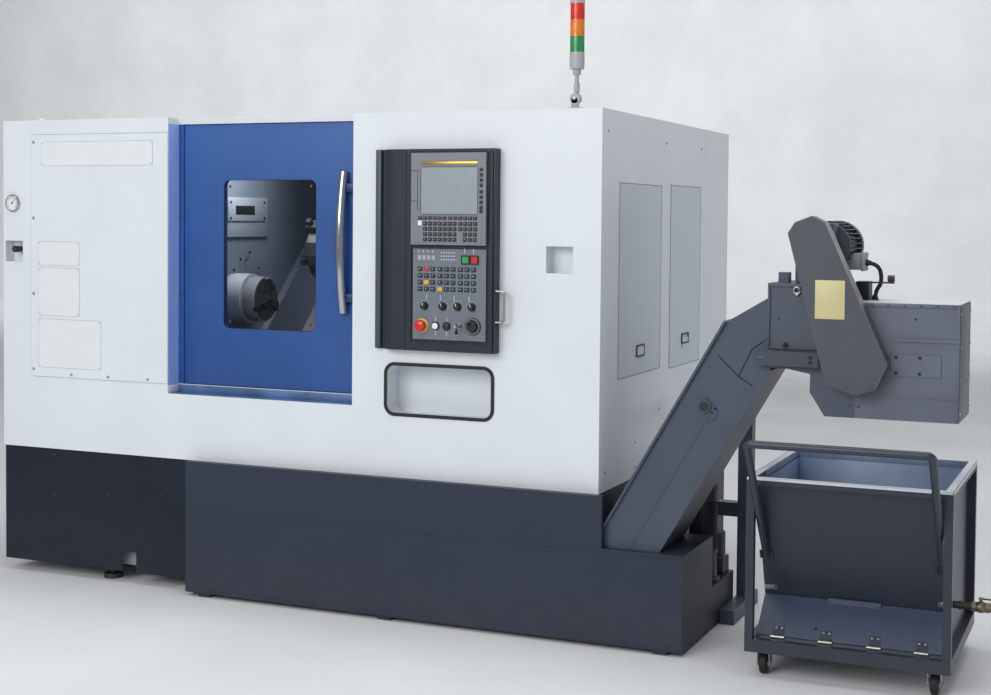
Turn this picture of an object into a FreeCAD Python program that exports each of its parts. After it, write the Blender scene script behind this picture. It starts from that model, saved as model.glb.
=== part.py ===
import FreeCAD, Part
import math
import os

# CNC turning lathe with its chip conveyor and chip cart. Millimetres, +Z up, floor at Z = 0.
# The sizes below are measured from the machine's front right corner: X runs along the front,
# Y runs back from the front face. The origin moves to the middle of the footprint at the end.

# --- machine outline -----------------------------------------------------------------------
machine_length = 2490.0
machine_height = 1772.0
enclosure_depth = 1229.0
cabinet_depth = 386.0
base_top = 496.0
skirt_bottom = 45.0
skirt_setback = 10.0
skirt_notch_left = 1926.0
skirt_notch_right = 1863.0
skirt_notch_top = 123.0
tank_clearance = 3.0
brace_gap_y = 10.0
brace_gap_z = 15.0
sheet = 3.0
plate = 2.0
doorway_width = 785.0
right_cover_width = 927.0
left_cover_width = machine_length - doorway_width - right_cover_width
flange = 30.0
running_clearance = 0.05
rubbing_gap = 0.5

# --- electrical cabinet --------------------------------------------------------------------
cabinet_door_left = -machine_length + 150.0
cabinet_door_right = -1260.0
cabinet_door_bottom = 560.0
cabinet_door_top = machine_height - 72.0
cabinet_door_depth = 18.0
cabinet_door_lap = 20.0
cabinet_handle_reach = 30.0
cabinet_handle_width = 30.0
cabinet_handle_height = 140.0
cabinet_handle_inset = 40.0
module_count = 4
module_inset = 150.0
module_pitch = 210.0
module_width = 150.0
module_depth = 180.0
module_z = (1050.0, 1400.0)

# --- doorway and sliding door --------------------------------------------------------------
door_setback = 72.0
door_depth = 40.0
door_left_tuck = 12.0
door_right_gap = 5.0
door_bottom = 774.0
door_top = machine_height - 26.0
frame_face = 66.0
frame_lip = 25.0
frame_jamb = 14.0
lower_front_top = 740.0
sill_top = 770.0
top_rail_bottom = door_top + 3.0
track_width = 14.0
track_height = 12.0
track_groove = 9.0
track_reach = left_cover_width - 78.0
window_left = 187.0
window_right = 186.0
window_width = doorway_width - door_left_tuck - door_right_gap - window_left - window_right
window_bottom = 214.0
window_top_margin = 205.0
window_height = door_top - door_bottom - window_bottom - window_top_margin
window_radius = 26.0
glass_rebate = 10.0
glass_gap = 0.3
window_ring = 15.0
glass_thickness = 8.0
handle_from_right = 65.0
handle_bottom_z = door_bottom + 274.0
handle_top_z = door_top - 164.0
handle_radius = 13.0
handle_end_y = 58.0
handle_bow = 30.0
handle_post_radius = 8.0
handle_post_inset = 25.0
handle_post_tuck = 4.0

# --- left cover fittings -------------------------------------------------------------------
access_left = 139.0
access_right_gap = 2.0
access_bottom = 776.0
access_top = machine_height - 57.0
access_overlap = 20.0
gauge_x = 50.0
gauge_z = 1450.0
gauge_radius = 34.0
gauge_body_radius = 30.0
gauge_proud = 12.0
gauge_depth = 40.0
valve_left = 7.0
valve_width = 94.0
valve_bottom = 1217.0
valve_height = 90.0
valve_depth = 50.0
lever_pivot_x = 42.0
lever_pivot_z = 53.0
lever_reach = 42.0
lever_width = 28.0
lever_thickness = 20.0
lever_sunk = 5.0
valve_body_radius = 16.0

# --- right cover fittings ------------------------------------------------------------------
pocket_left = 128.0
pocket_width = 421.0
pocket_bottom = 712.0
pocket_height = 189.0
pocket_radius = 41.0
pocket_depth = 110.0
edging_width = 12.0
recess_left = 733.0
recess_width = 96.0
recess_bottom = 1224.0
recess_height = 90.0
recess_depth = 60.0
front_side_panel = (186.0, 655.0, 862.0, machine_height - 243.0)
rear_side_panel = (781.0, enclosure_depth - 47.0, 849.0, machine_height - 237.0)
latch_size = (92.0, 42.0, 3.0)
latch_height = 60.0
front_latch_y = 200.0
rear_latch_y = 163.0

# --- operator pendant ----------------------------------------------------------------------
pendant_left = 99.0
pendant_width = 466.0
pendant_bottom = 949.0
pendant_height = 692.0
pendant_depth = 45.0
column_width = 132.0
column_profile = ((0.0, 0.0), (0.0, -14.0), (22.0, -18.0), (24.0, -8.0), (38.0, -8.0), (48.0, -24.0),
                  (62.0, -37.0), (80.0, -pendant_depth))
pendant_gap = 1.5
bay_margin = 20.0
bay_depth = 4.0
ridge_inset = 6.0
ridge_width = 8.0
ridge_height = 4.0
ridge_end = 10.0
display_size = (280.0, 313.0)
display_proud = 12.0
display_gap = 4.0
screen_size = (211.0, 158.0)
screen_left = 40.0
screen_drop = 50.0
screen_sunk = 2.0
key_bed_margin = 14.0
key_bed_bottom = 8.0
key_bed_top = 97.0
key_bed_proud = 1.5
panel_margins = 69.0
keypad_size = (273.0, pendant_height - display_size[1] - panel_margins)
keypad_proud = 5.0
keypad_gap = 9.0
pull_radius = 5.0
pull_height = 105.0
pull_reach = 38.0
pull_stand = 35.0
pull_place = 0.23

# --- controls on the keypad, from its lower left corner ------------------------------------
knob_places = (45.0, 114.0, 170.0, 223.0)
knob_row = 115.0
knob_radius = 14.0
knob_length = 18.0
knob_skirt = 6.0
knob_pointer = 3.0
stop_place = (35.0, 47.0)
stop_head_radius = 20.0
stop_stem_radius = 11.0
stop_travel = 4.0
stop_neck = 4.0
stop_head_depth = 16.0
stop_crown = 3.0
wheel_place = (227.0, 50.0)
wheel_radius = 29.0
wheel_dial = 6.0
wheel_hub = 10.0
spinner_radius = 5.0
spinner_length = 18.0
key_place = (176.0, 47.0)
key_radius = 11.0
key_barrel = 5.0
key_thickness = 3.0
key_blade_length = 12.0
key_blade_half = 5.0
key_bow_radius = 11.0
key_bow_reach = 9.0
start_place = (198.0, keypad_size[1] - 36.0)
halt_place = (231.0, keypad_size[1] - 36.0)
push_size = 22.0
push_travel = 3.0
push_clearance = 0.1
push_proud = 4.0
push_sunk = 4.0

# --- signal tower --------------------------------------------------------------------------
tower_x = 112.0
tower_y = 57.0
tower_pivot_height = 36.0
tower_pivot_radius = 17.0
tower_half = 14.0
tower_radius = 25.0
tower_rod_radius = 7.0
tower_sleeve_radius = 10.0
tower_lens = 54.0
tower_rod = 83.0
tower_housing = 56.0
tower_cap = 20.0
tower_flange_radius = 33.0
tower_flange_height = 5.0
tower_cheek = 12.0
tower_pin_radius = 5.0
tower_rod_start = 8.0
tower_sleeve_start = 22.0
tower_sleeve_length = 30.0
tower_collar_radius = 13.5
tower_collar_height = 14.0
tower_collar_length = 18.0

# --- bed, guideways and spindle ------------------------------------------------------------
bed_left = machine_length - 110.0
bed_right = 150.0
bed_front_y = 450.0
bed_back_y = enclosure_depth - 39.0
bed_crest_y = bed_back_y - 40.0
bed_angle = math.radians(45.0)
bed_slope = (bed_crest_y - bed_front_y) / math.cos(bed_angle)
pedestal_top = 560.0
pedestal_bottom = 60.0
pedestal_split = 1690.0
pedestal_front = 60.0
bed_cells = 3
rear_pedestal_front = 640.0
bed_wall = 30.0
headstock_wall = 40.0
headstock_seat = (60.0, 700.0)
headstock_rear = 70.0
headstock_corners = ((170.0, 190.0), (-100.0, 190.0), (-160.0, 120.0), (-160.0, -100.0), (-100.0, -182.0))
bearing_tube_radius = 80.0
spindle_y = 400.0
spindle_z = 1082.0
guide_distance = 300.0
rail_places = (120.0, 520.0)
rail_width = 34.0
rail_height = 36.0
screw_radius = 16.0
screw_place = 320.0
screw_height = 24.0
headstock_left = machine_length - 210.0
nose_radius = 98.0
nose_length = 88.0
spindle_radius = 45.0
spindle_bore = 26.0
spindle_flange_radius = 70.0
spindle_flange = 10.0
spindle_tail = 20.0
chuck_radius = 88.0
chuck_length = 52.0
chuck_bore = 22.0
chuck_cylinder_radius = 85.0
chuck_cylinder_length = 120.0
jaw_width = 28.0
jaw_inner = 30.0
jaw_outer = 78.0
jaw_depth = 14.0
jaw_proud = 27.0
jaw_step = 12.0

# --- cabin lining --------------------------------------------------------------------------
cabin_left = 1680.0
cabin_right = 400.0
cabin_front = 118.0
cabin_back = bed_crest_y
chute_top = 700.0
chute_neck = 560.0
chute_bottom = 345.0
apron_drop = 39.0
chute_front_inset = 55.0
chute_back_inset = 15.0
way_sheet_height = 64.0
way_sheet_length = 280.0
way_sheet_lap = 10.0
way_sheet_gap = 5.0
inspection_plate = (338.0, 639.0, 1384.0, 1477.0)
inspection_pane = (398.0, 549.0, 1410.0, 1449.0)
inspection_depth = 4.0

# --- saddle, cross slide and turret --------------------------------------------------------
saddle_left = 1330.0
saddle_length = 300.0
saddle_margin = 40.0
saddle_underside = 44.0
saddle_top = 60.0
saddle_lift = 4.0
nut_start = 120.0
nut_length = 60.0
nut_half = 30.0
column_left = 1280.0
column_length = 200.0
column_start = 100.0
column_end = 800.0
column_top = 96.0
guide_rib = 24.0
guide_rib_height = 16.0
way_cover_left = 1480.0
way_cover_right = 860.0
way_cover_height = 68.0
way_cover_thickness = 4.0
way_cover_edge = 10.0
slide_overhang = 20.0
slide_below = 130.0
slide_above = 150.0
slide_lift = 2.0
slide_top = 140.0
guide_rib_inset = 10.0
housing_half = 95.0
housing_shoulder = 30.0
housing_crown = 95.0
housing_crown_half = 50.0
housing_length = 228.0
turret_motor_radius = 60.0
turret_motor_length = 120.0
turret_distance = 270.0
turret_face = 1328.0
turret_radius = 125.0
turret_thickness = 64.0
turret_hub = 45.0
turret_hub_depth = 20.0
turret_sides = 12
holder_half = 20.0
holder_reach = 150.0
holder_proud = 6.0
holder_inset = 8.0
tool_reach = 170.0
tool_proud = 2.0
tool_width = 20.0

# --- coolant tank and pumps ----------------------------------------------------------------
tank_left = 1597.0
tank_right = 305.0
tank_front = 50.0
tank_back = 602.0
tank_step_y = 315.0
tank_bottom = 15.0
tank_top = 328.0
tank_low_top = 150.0
tank_wall = 4.0
tank_apron_top = 500.0
tank_apron_right = 30.0
tank_lip = 25.0
tank_gusset = 20.0
tank_mouth_gap = 6.0
tank_pad = 50.0
pump_x = 262.0
pump_y = 420.0
pump_height = 350.0
pump_foot_radius = 60.0
pump_foot_height = 10.0
pump_body_radius = 50.0
pump_hood_radius = 54.0
pump_hood_height = 70.0
pump_outlet = (50.0, 40.0, 60.0)
filter_size = (70.0, 80.0, 60.0)
filter_head = (50.0, 60.0, 90.0)
filter_x = 257.0
filter_y = 510.0

# --- chip conveyor -------------------------------------------------------------------------
conveyor_front = -15.0
conveyor_width = 275.0
conveyor_left = 1560.0
conveyor_thickness = 195.0
conveyor_angle = math.radians(60.0)
conveyor_foot = 40.0
conveyor_wall = 4.0
mouth_margin = 60.0
mouth_right_gap = 20.0
throat_margin = 14.0
throat_depth = 15.0
lid_start = 90.0
lid_rise = 8.0
lid_overhang = 12.0
rise_seam = [(120.0, 348.0), (392.0, 819.0), (398.0, 816.0), (126.0, 345.0)]
slack_bearing = (363.0, 812.0)
slack_bearing_radius = 22.0
slack_bearing_proud = 8.0
slack_ear_proud = 4.0
slack_ears = [(346.0, 828.0), (384.0, 768.0), (400.0, 778.0), (404.0, 798.0), (366.0, 840.0)]
elbow_x = 430.0
head_left = 560.0
head_right = 1142.0
head_high_top = 1211.0
head_low_top = 1158.0
head_step_x = 760.0
head_bottom = 802.0
head_throat_z = 944.0
head_notch = [(624.0, 944.0), (696.0, 931.0), (696.0, 874.0), (742.0, 802.0)]
head_mouth_left = 760.0
bracket_x = (530.0, 728.0)
bracket_z = (955.0, 1001.0)
bracket_reach = 40.0
bracket_sheet = 5.0
bracket_relief = 20.0
head_ridge_x = 950.0
head_ridge_z = (1043.0, 1052.0)
ridge_proud = 6.0
bearing_cover = (941.0, 1089.0, 938.0, 1004.0)
tensioner_x = (586.0, 618.0)
tensioner_y = (15.0, 55.0)
tensioner_top = 1244.0
switch_x = (808.0, 848.0)
switch_y = (120.0, 190.0)
switch_top = 1217.0
switch_lever_y = (128.0, 138.0)
switch_reach = 77.0
switch_lever_thickness = 5.0
switch_knob_radius = 11.0
switch_knob_length = 20.0
switch_post_inset = 3.0
guard_outline = [(635.0, 1368.0), (656.0, 1401.0), (707.0, 1421.0), (749.0, 1400.0),
                 (940.0, 975.0), (905.0, 898.0), (843.0, 878.0), (757.0, 908.0)]
drive_x = 850.0
drive_z = 945.0
drive_shaft_radius = 20.0
drive_shaft_front = 50.0
drive_shaft_rear = 10.0
sprocket_radius = 78.0
sprocket_width = 20.0
sprocket_inset = 30.0
pulley_radius = 55.0
pulley_width = 10.0
guard_depth = 70.0
guard_wall = 3.0
guard_hole_gap = 6.0
motor_x = 722.0
motor_z = 1328.0
motor_radius = 80.0
motor_start = 95.0
motor_length = 170.0
motor_fins = 20
fin_root = 0.86
gearbox_left = 662.0
gearbox_top = 1400.0
fan_cover_length = 35.0
fan_cover_lip = 2.0
terminal_x = (777.0, 832.0)
terminal_y = (120.0, 200.0)
terminal_z = (1249.0, 1309.0)
cable_radius = 6.5
cable_y = 160.0
cable_route = [(832.0, 1275.0), (872.0, 1275.0), (884.0, 1215.0), (862.0, 1185.0), (862.0, 1158.0)]
stand_gap = 2.0
stand_tube = 50.0
stand_y = 640.0
stand_foot_front = 411.0
stand_arm_top = 740.0
brace_bottom = 335.0

# --- chip cart -----------------------------------------------------------------------------
cart_left = 534.0
cart_width = 614.0
cart_front = 150.0
cart_length = 650.0
cart_rim_top = 618.0
cart_rim = 26.0
cart_rim_height = 22.0
cart_post = 25.0
cart_beam_bottom = 78.0
cart_beam_height = 40.0
cart_floor = 95.0
cart_sheet = 3.0
cart_top_y = -127.0
cart_tub_back = 475.0
cart_toe_step = 6.0
cart_hatch_lap = 26.0
cart_knee_y = 14.0
cart_knee_z = 225.0
cart_toe_y = -102.0
cart_toe_z = 119.0
cart_handle_y = -320.0
cart_handle_z = 745.0
cart_handle_radius = 12.5
cart_handle_inset = 40.0
cart_handle_foot = 357.0
cart_handle_bend = 45.0
flap_gap = 2.0
flap_grip_depth = 14.0
flap_grip_proud = 10.0
flap_grip_inset = 200.0
caster_radius = 34.0
caster_width = 26.0
caster_gap = 4.0
caster_plate = 60.0
caster_plate_thickness = 6.0
caster_fork_half = 12.0
caster_hub_radius = 11.0
caster_inset_x = 50.0
caster_inset_y = 60.0
drain_y = 60.0
drain_z = 240.0
drain_reach = 114.0
drain_pipe = 38.0
drain_half = 18.0
drain_radius = 11.0
drain_body_length = 50.0
drain_spout = 14.0
drain_stem_place = 17.0
drain_stem_half = 6.0
drain_stem_height = 6.0
drain_lever_thickness = 5.0

# --- levelling feet ------------------------------------------------------------------------
foot_inset = 18.0
foot_places = (
    (-pedestal_split - 330.0, pedestal_front + foot_inset),
    (-bed_left + foot_inset, bed_back_y - foot_inset),
    (-pedestal_split - 15.0, bed_back_y - foot_inset),
    (-pedestal_split + 90.0, rear_pedestal_front + foot_inset),
    (-bed_right - foot_inset, rear_pedestal_front + foot_inset),
    (-bed_right - foot_inset, bed_back_y - foot_inset),
)
foot_radius = 37.0
foot_height = 18.0
foot_stud_radius = 12.0

# --- places worked out from the sizes above ------------------------------------------------
left_x = -machine_length
doorway_left = left_x + left_cover_width
doorway_right = -right_cover_width
roof_bottom = machine_height - sheet
back_y = enclosure_depth + cabinet_depth
bed_rise = (spindle_y - bed_front_y) * math.sin(bed_angle)
bed_front_z = spindle_z - (guide_distance + bed_rise) / math.cos(bed_angle)
spindle_s = (spindle_y - bed_front_y) * math.cos(bed_angle) + (spindle_z - bed_front_z) * math.sin(bed_angle)
nose_end = -cabin_left - sheet + nose_length
chuck_back = nose_end + rubbing_gap + spindle_flange
chuck_face = chuck_back + chuck_length
turret_s = spindle_s + turret_distance
conveyor_floor = tank_bottom + tank_wall
conveyor_back = conveyor_front + conveyor_width
cart_right = cart_left + cart_width
cart_back = cart_length - cart_front
pendant_x = doorway_right + pendant_left
case_left = pendant_x + column_width + pendant_gap
case_right = pendant_x + pendant_width
keypad_x = case_right - bay_margin - keypad_gap - keypad_size[0]
keypad_z = pendant_bottom + bay_margin * 2.0 + 1.0
keypad_face = -pendant_depth - keypad_proud
tower_pivot_z = machine_height + tower_pivot_height

front_reach = cart_handle_y - cart_handle_radius
rear_reach = back_y + cabinet_door_depth + cabinet_handle_reach
right_reach = cart_right + drain_reach
frame_shift = FreeCAD.Vector(-(left_x + right_reach) / 2.0, -(front_reach + rear_reach) / 2.0, 0.0)

AXIS_X = FreeCAD.Vector(1, 0, 0)
AXIS_Y = FreeCAD.Vector(0, 1, 0)
AXIS_Z = FreeCAD.Vector(0, 0, 1)


def point(x, y, z):
    return FreeCAD.Vector(x, y, z)


def block(x, y, z):
    """A box from three (low, high) pairs."""
    return Part.makeBox(x[1] - x[0], y[1] - y[0], z[1] - z[0], point(x[0], y[0], z[0]))


def prism(points, travel):
    """A closed polygon swept straight along the travel vector."""
    outline = Part.makePolygon(points + [points[0]])
    return Part.Face(outline).extrude(travel)


def prism_yz(outline, x):
    return prism([point(x[0], y, z) for y, z in outline], point(x[1] - x[0], 0, 0))


def prism_xz(outline, y):
    return prism([point(x, y[0], z) for x, z in outline], point(0, y[1] - y[0], 0))


def prism_xy(outline, z):
    return prism([point(x, y, z[0]) for x, y in outline], point(0, 0, z[1] - z[0]))


def inset(outline, amount):
    """The same outline in its own plane, drawn in by amount on every side."""
    flat = Part.makePolygon([point(a, b, 0) for a, b in outline + [outline[0]]])
    inner = Part.Face(flat).makeOffset2D(-amount, 2)
    return [(vertex.X, vertex.Y) for vertex in inner.OuterWire.OrderedVertexes]


def mitred_sheets(outline, wall):
    """One four-cornered outline for the sheet along each edge of an outline, mitred at the corners."""
    inner = inset(outline, wall)
    nearest = [min(inner, key=lambda spot: math.dist(spot, corner)) for corner in outline]
    sheets = []
    for index in range(len(outline)):
        after = (index + 1) % len(outline)
        sheets.append([outline[index], outline[after], nearest[after], nearest[index]])
    return sheets


def rod(start, direction, radius, length):
    return Part.makeCylinder(radius, length, start, direction)


def many_sided(centre, direction, radius, length, sides, turn=0.0):
    """A regular prism about an axis along X, Y or Z."""
    corners = []
    for index in range(sides):
        angle = turn + 2.0 * math.pi * index / sides
        a = radius * math.cos(angle)
        b = radius * math.sin(angle)
        if direction == AXIS_X:
            corners.append(centre + point(0, a, b))
        elif direction == AXIS_Y:
            corners.append(centre + point(a, 0, b))
        else:
            corners.append(centre + point(a, b, 0))
    return prism(corners, direction * length)


def rounded_slab(x, z, y, radius):
    """A slab standing in the XZ plane, with rounded corners."""
    slab = block(x, y, z)
    upright = [edge for edge in slab.Edges if abs(edge.tangentAt(edge.FirstParameter).y) > 0.99]
    return slab.makeFillet(radius, upright)


def join(*pieces):
    whole = pieces[0].fuse(list(pieces[1:]))
    return whole.removeSplitter()


def group(solids):
    return Part.makeCompound(solids)


def on_slope(s, h):
    """Y and Z of a place s up the guideway slope and h out from it."""
    y = bed_front_y + s * math.cos(bed_angle) - h * math.sin(bed_angle)
    z = bed_front_z + s * math.sin(bed_angle) + h * math.cos(bed_angle)
    return y, z


def slope_block(x, s, h):
    corners = [on_slope(s[0], h[0]), on_slope(s[1], h[0]), on_slope(s[1], h[1]), on_slope(s[0], h[1])]
    return prism_yz(corners, x)


# ---------------------------------------------------------------- bed and guideways
def bed_casting():
    toe = on_slope(0, 0)
    crest = on_slope(bed_slope, 0)
    wedge = [toe, crest, (bed_back_y, crest[1]), (bed_back_y, pedestal_top), (bed_front_y, pedestal_top)]
    bed = prism_yz(wedge, (-bed_left, -bed_right))
    cell_length = (bed_left - bed_right - bed_wall * (bed_cells + 1)) / bed_cells
    hollow_outline = inset(wedge, bed_wall)
    for index in range(bed_cells):
        start = -bed_left + bed_wall + index * (cell_length + bed_wall)
        bed = bed.cut(prism_yz(hollow_outline, (start, start + cell_length)))
    return bed


def pedestal(x, front):
    """A closed, hollow foot casting under the bed."""
    z = (pedestal_bottom, pedestal_top)
    inside = block((x[0] + bed_wall, x[1] - bed_wall), (front + bed_wall, bed_back_y - bed_wall),
                   (z[0] + bed_wall, z[1] - bed_wall))
    return block(x, (front, bed_back_y), z).cut(inside)


def machine_bed():
    left_foot = pedestal((-bed_left, -pedestal_split), pedestal_front)
    rear_foot = pedestal((-pedestal_split, -bed_right), rear_pedestal_front)
    return group([bed_casting(), left_foot, rear_foot])


def guide_rails():
    start = -cabin_left + 5.0
    end = -cabin_right - 5.0
    half = rail_width / 2.0
    rails = [slope_block((start, end), (s - half, s + half), (0, rail_height)) for s in rail_places]
    screw_y, screw_z = on_slope(screw_place, screw_height)
    screw = rod(point(start, screw_y, screw_z), AXIS_X, screw_radius, end - start)
    block_span = (screw_place - 35.0, screw_place + 35.0)
    block_height = (0, screw_height * 2.0)
    near_block = slope_block((start, start + 50.0), block_span, block_height)
    far_block = slope_block((end - 50.0, end), block_span, block_height)
    return group(rails + [join(screw, near_block, far_block)])


def levelling_feet():
    feet = []
    for x, y in foot_places:
        pad = many_sided(point(x, y, 0), AXIS_Z, foot_radius, foot_height, 12)
        stud_length = pedestal_bottom - foot_height
        stud = many_sided(point(x, y, foot_height), AXIS_Z, foot_stud_radius, stud_length, 6)
        feet.append(join(pad, stud))
    return group(feet)


# ---------------------------------------------------------------- spindle and chuck
def headstock():
    above = [(spindle_y + a, spindle_z + b) for a, b in headstock_corners]
    outline = [on_slope(headstock_seat[0], 0), on_slope(headstock_seat[1], 0),
               on_slope(headstock_seat[1], headstock_rear)] + above
    front = -cabin_left - sheet
    casting = prism_yz(outline, (-headstock_left, front))
    nose = rod(point(front, spindle_y, spindle_z), AXIS_X, nose_radius, nose_length)
    tube = rod(point(-headstock_left, spindle_y, spindle_z), AXIS_X, bearing_tube_radius,
               front + headstock_left)
    cavity_x = (-headstock_left + headstock_wall, front - headstock_wall)
    cavity = prism_yz(inset(outline, headstock_wall), cavity_x)
    bore = rod(point(-headstock_left - 1, spindle_y, spindle_z), AXIS_X,
               spindle_radius + running_clearance, nose_end + headstock_left + 2)
    return join(casting.cut(cavity), tube, nose).cut(bore)


def spindle_shaft():
    """The hollow spindle with its front flange, and the chuck's cylinder bolted on its rear end."""
    rear = -headstock_left - spindle_tail
    shaft = rod(point(rear, spindle_y, spindle_z), AXIS_X, spindle_radius, chuck_back - rear)
    collar = rod(point(nose_end + rubbing_gap, spindle_y, spindle_z), AXIS_X, spindle_flange_radius,
                 spindle_flange)
    bore = rod(point(rear - 1, spindle_y, spindle_z), AXIS_X, spindle_bore, chuck_back - rear + 2)
    start = point(rear - chuck_cylinder_length, spindle_y, spindle_z)
    cylinder = many_sided(start, AXIS_X, chuck_cylinder_radius, chuck_cylinder_length, 32)
    cylinder = cylinder.cut(rod(start, AXIS_X, spindle_bore, chuck_cylinder_length))
    return group([join(shaft, collar).cut(bore), cylinder])


def jaw_frame(shape, index):
    """Turns a piece drawn on the vertical radius to one of the three jaw radii."""
    shape.rotate(point(0, spindle_y, spindle_z), AXIS_X, 120.0 * index)
    return shape


def chuck_body():
    body = rod(point(chuck_back, spindle_y, spindle_z), AXIS_X, chuck_radius, chuck_length)
    front_rim = [edge for edge in body.Edges if edge.Closed and abs(edge.CenterOfMass.x - chuck_face) < 1.0]
    body = body.makeChamfer(4.0, front_rim)
    body = body.cut(rod(point(chuck_back - 1, spindle_y, spindle_z), AXIS_X, chuck_bore, chuck_length + 2))
    half = jaw_width / 2.0 + running_clearance
    for index in range(3):
        slot = block((chuck_face - jaw_depth, chuck_face + 1), (spindle_y - half, spindle_y + half),
                     (spindle_z, spindle_z + chuck_radius + 1))
        body = body.cut(jaw_frame(slot, index))
    return body


def chuck_jaw(index):
    half = jaw_width / 2.0
    across = (spindle_y - half, spindle_y + half)
    base = block((chuck_face - jaw_depth, chuck_face + jaw_proud - jaw_step), across,
                 (spindle_z + jaw_inner, spindle_z + jaw_outer))
    top = block((chuck_face, chuck_face + jaw_proud), across,
                (spindle_z + jaw_inner, spindle_z + (jaw_inner + jaw_outer) / 2.0))
    return jaw_frame(join(base, top), index)


# ---------------------------------------------------------------- saddle and turret
def saddle_casting():
    half = rail_width / 2.0 + running_clearance
    lift = saddle_lift
    low, high = rail_places
    outline = [(low - saddle_margin, lift), (low - half, lift), (low - half, rail_height),
               (low + half, rail_height), (low + half, lift), (low + saddle_margin, lift),
               (low + saddle_margin, saddle_underside), (high - saddle_margin, saddle_underside),
               (high - saddle_margin, lift), (high - half, lift), (high - half, rail_height),
               (high + half, rail_height), (high + half, lift), (high + saddle_margin, lift),
               (high + saddle_margin, saddle_top), (low - saddle_margin, saddle_top)]
    carriage = prism_yz([on_slope(s, h) for s, h in outline], (-saddle_left, -saddle_left + saddle_length))
    nut_x = (-saddle_left + nut_start, -saddle_left + nut_start + nut_length)
    nut = slope_block(nut_x, (screw_place - nut_half, screw_place + nut_half), (lift, saddle_underside))
    screw_y, screw_z = on_slope(screw_place, screw_height)
    screw_hole = rod(point(nut_x[0] - 1, screw_y, screw_z), AXIS_X, screw_radius + running_clearance,
                     nut_length + 2)
    nut = nut.cut(screw_hole)
    column_x = (-column_left, -column_left + column_length)
    column = slope_block(column_x, (column_start, column_end), (saddle_top, column_top))
    ribs = [slope_block((start, start + guide_rib), (column_start, column_end),
                        (column_top, column_top + guide_rib_height)) for start in guide_rib_starts(column_x)]
    return join(carriage, nut, column, *ribs)


def guide_rib_starts(column_x):
    return column_x[0] + guide_rib_inset, column_x[1] - guide_rib_inset - guide_rib


def way_cover():
    """The sheets that cover the guideways, on three sides of the saddle's column."""
    height = (way_cover_height, way_cover_height + way_cover_thickness)
    column_x = (-column_left, -column_left + column_length)
    along = (way_cover_edge, column_end - way_cover_edge)
    left = slope_block((-way_cover_left, column_x[0]), along, height)
    right = slope_block((column_x[1], -way_cover_right), along, height)
    lower = slope_block(column_x, (along[0], column_start), height)
    return [left, right, lower]


def saddle():
    return group([saddle_casting()] + way_cover())


def cross_slide():
    column_x = (-column_left, -column_left + column_length)
    base_x = (column_x[0] - slide_overhang, column_x[1] + slide_overhang)
    base_s = (turret_s - slide_below, turret_s + slide_above)
    base = slope_block(base_x, base_s, (column_top + slide_lift, slide_top))
    clear = running_clearance
    groove_height = (column_top, column_top + guide_rib_height)
    for start in guide_rib_starts(column_x):
        base = base.cut(slope_block((start - clear, start + guide_rib + clear), base_s, groove_height))
    crown = guide_distance + housing_crown
    shoulder = guide_distance + housing_shoulder
    outline = [(turret_s - housing_half, slide_top), (turret_s + housing_half, slide_top),
               (turret_s + housing_half, shoulder), (turret_s + housing_crown_half, crown),
               (turret_s - housing_crown_half, crown), (turret_s - housing_half, shoulder)]
    housing_back = -turret_face + housing_length
    housing = prism_yz([on_slope(s, h) for s, h in outline], (-turret_face, housing_back))
    turret_y, turret_z = on_slope(turret_s, guide_distance)
    motor = many_sided(point(housing_back, turret_y, turret_z), AXIS_X, turret_motor_radius,
                       turret_motor_length, 8, math.pi / 8)
    hub_hole = rod(point(-turret_face - 1, turret_y, turret_z), AXIS_X, turret_hub + running_clearance,
                   turret_hub_depth + 4.0)
    return join(base, housing, motor).cut(hub_hole)


def turret_disc():
    turret_y, turret_z = on_slope(turret_s, guide_distance)
    back = -turret_face - rubbing_gap
    front = back - turret_thickness
    half_turn = math.pi / turret_sides
    disc = many_sided(point(front, turret_y, turret_z), AXIS_X, turret_radius, turret_thickness,
                      turret_sides, half_turn)
    hub = rod(point(back, turret_y, turret_z), AXIS_X, turret_hub, turret_hub_depth)
    pieces = [disc, hub]
    for index in range(turret_sides // 2):
        holder_y = (turret_y - holder_half, turret_y + holder_half)
        holder = block((front - holder_proud, back - holder_inset), holder_y,
                       (turret_z + turret_radius * 0.85, turret_z + holder_reach))
        tool_y = (turret_y - holder_half / 2.0, turret_y + holder_half / 2.0)
        tool = block((front - tool_proud, front - tool_proud + tool_width), tool_y,
                     (turret_z + holder_reach, turret_z + tool_reach))
        station = join(holder, tool)
        station.rotate(point(0, turret_y, turret_z), AXIS_X, 45.0 + index * 720.0 / turret_sides)
        pieces.append(station)
    return join(*pieces)


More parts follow.
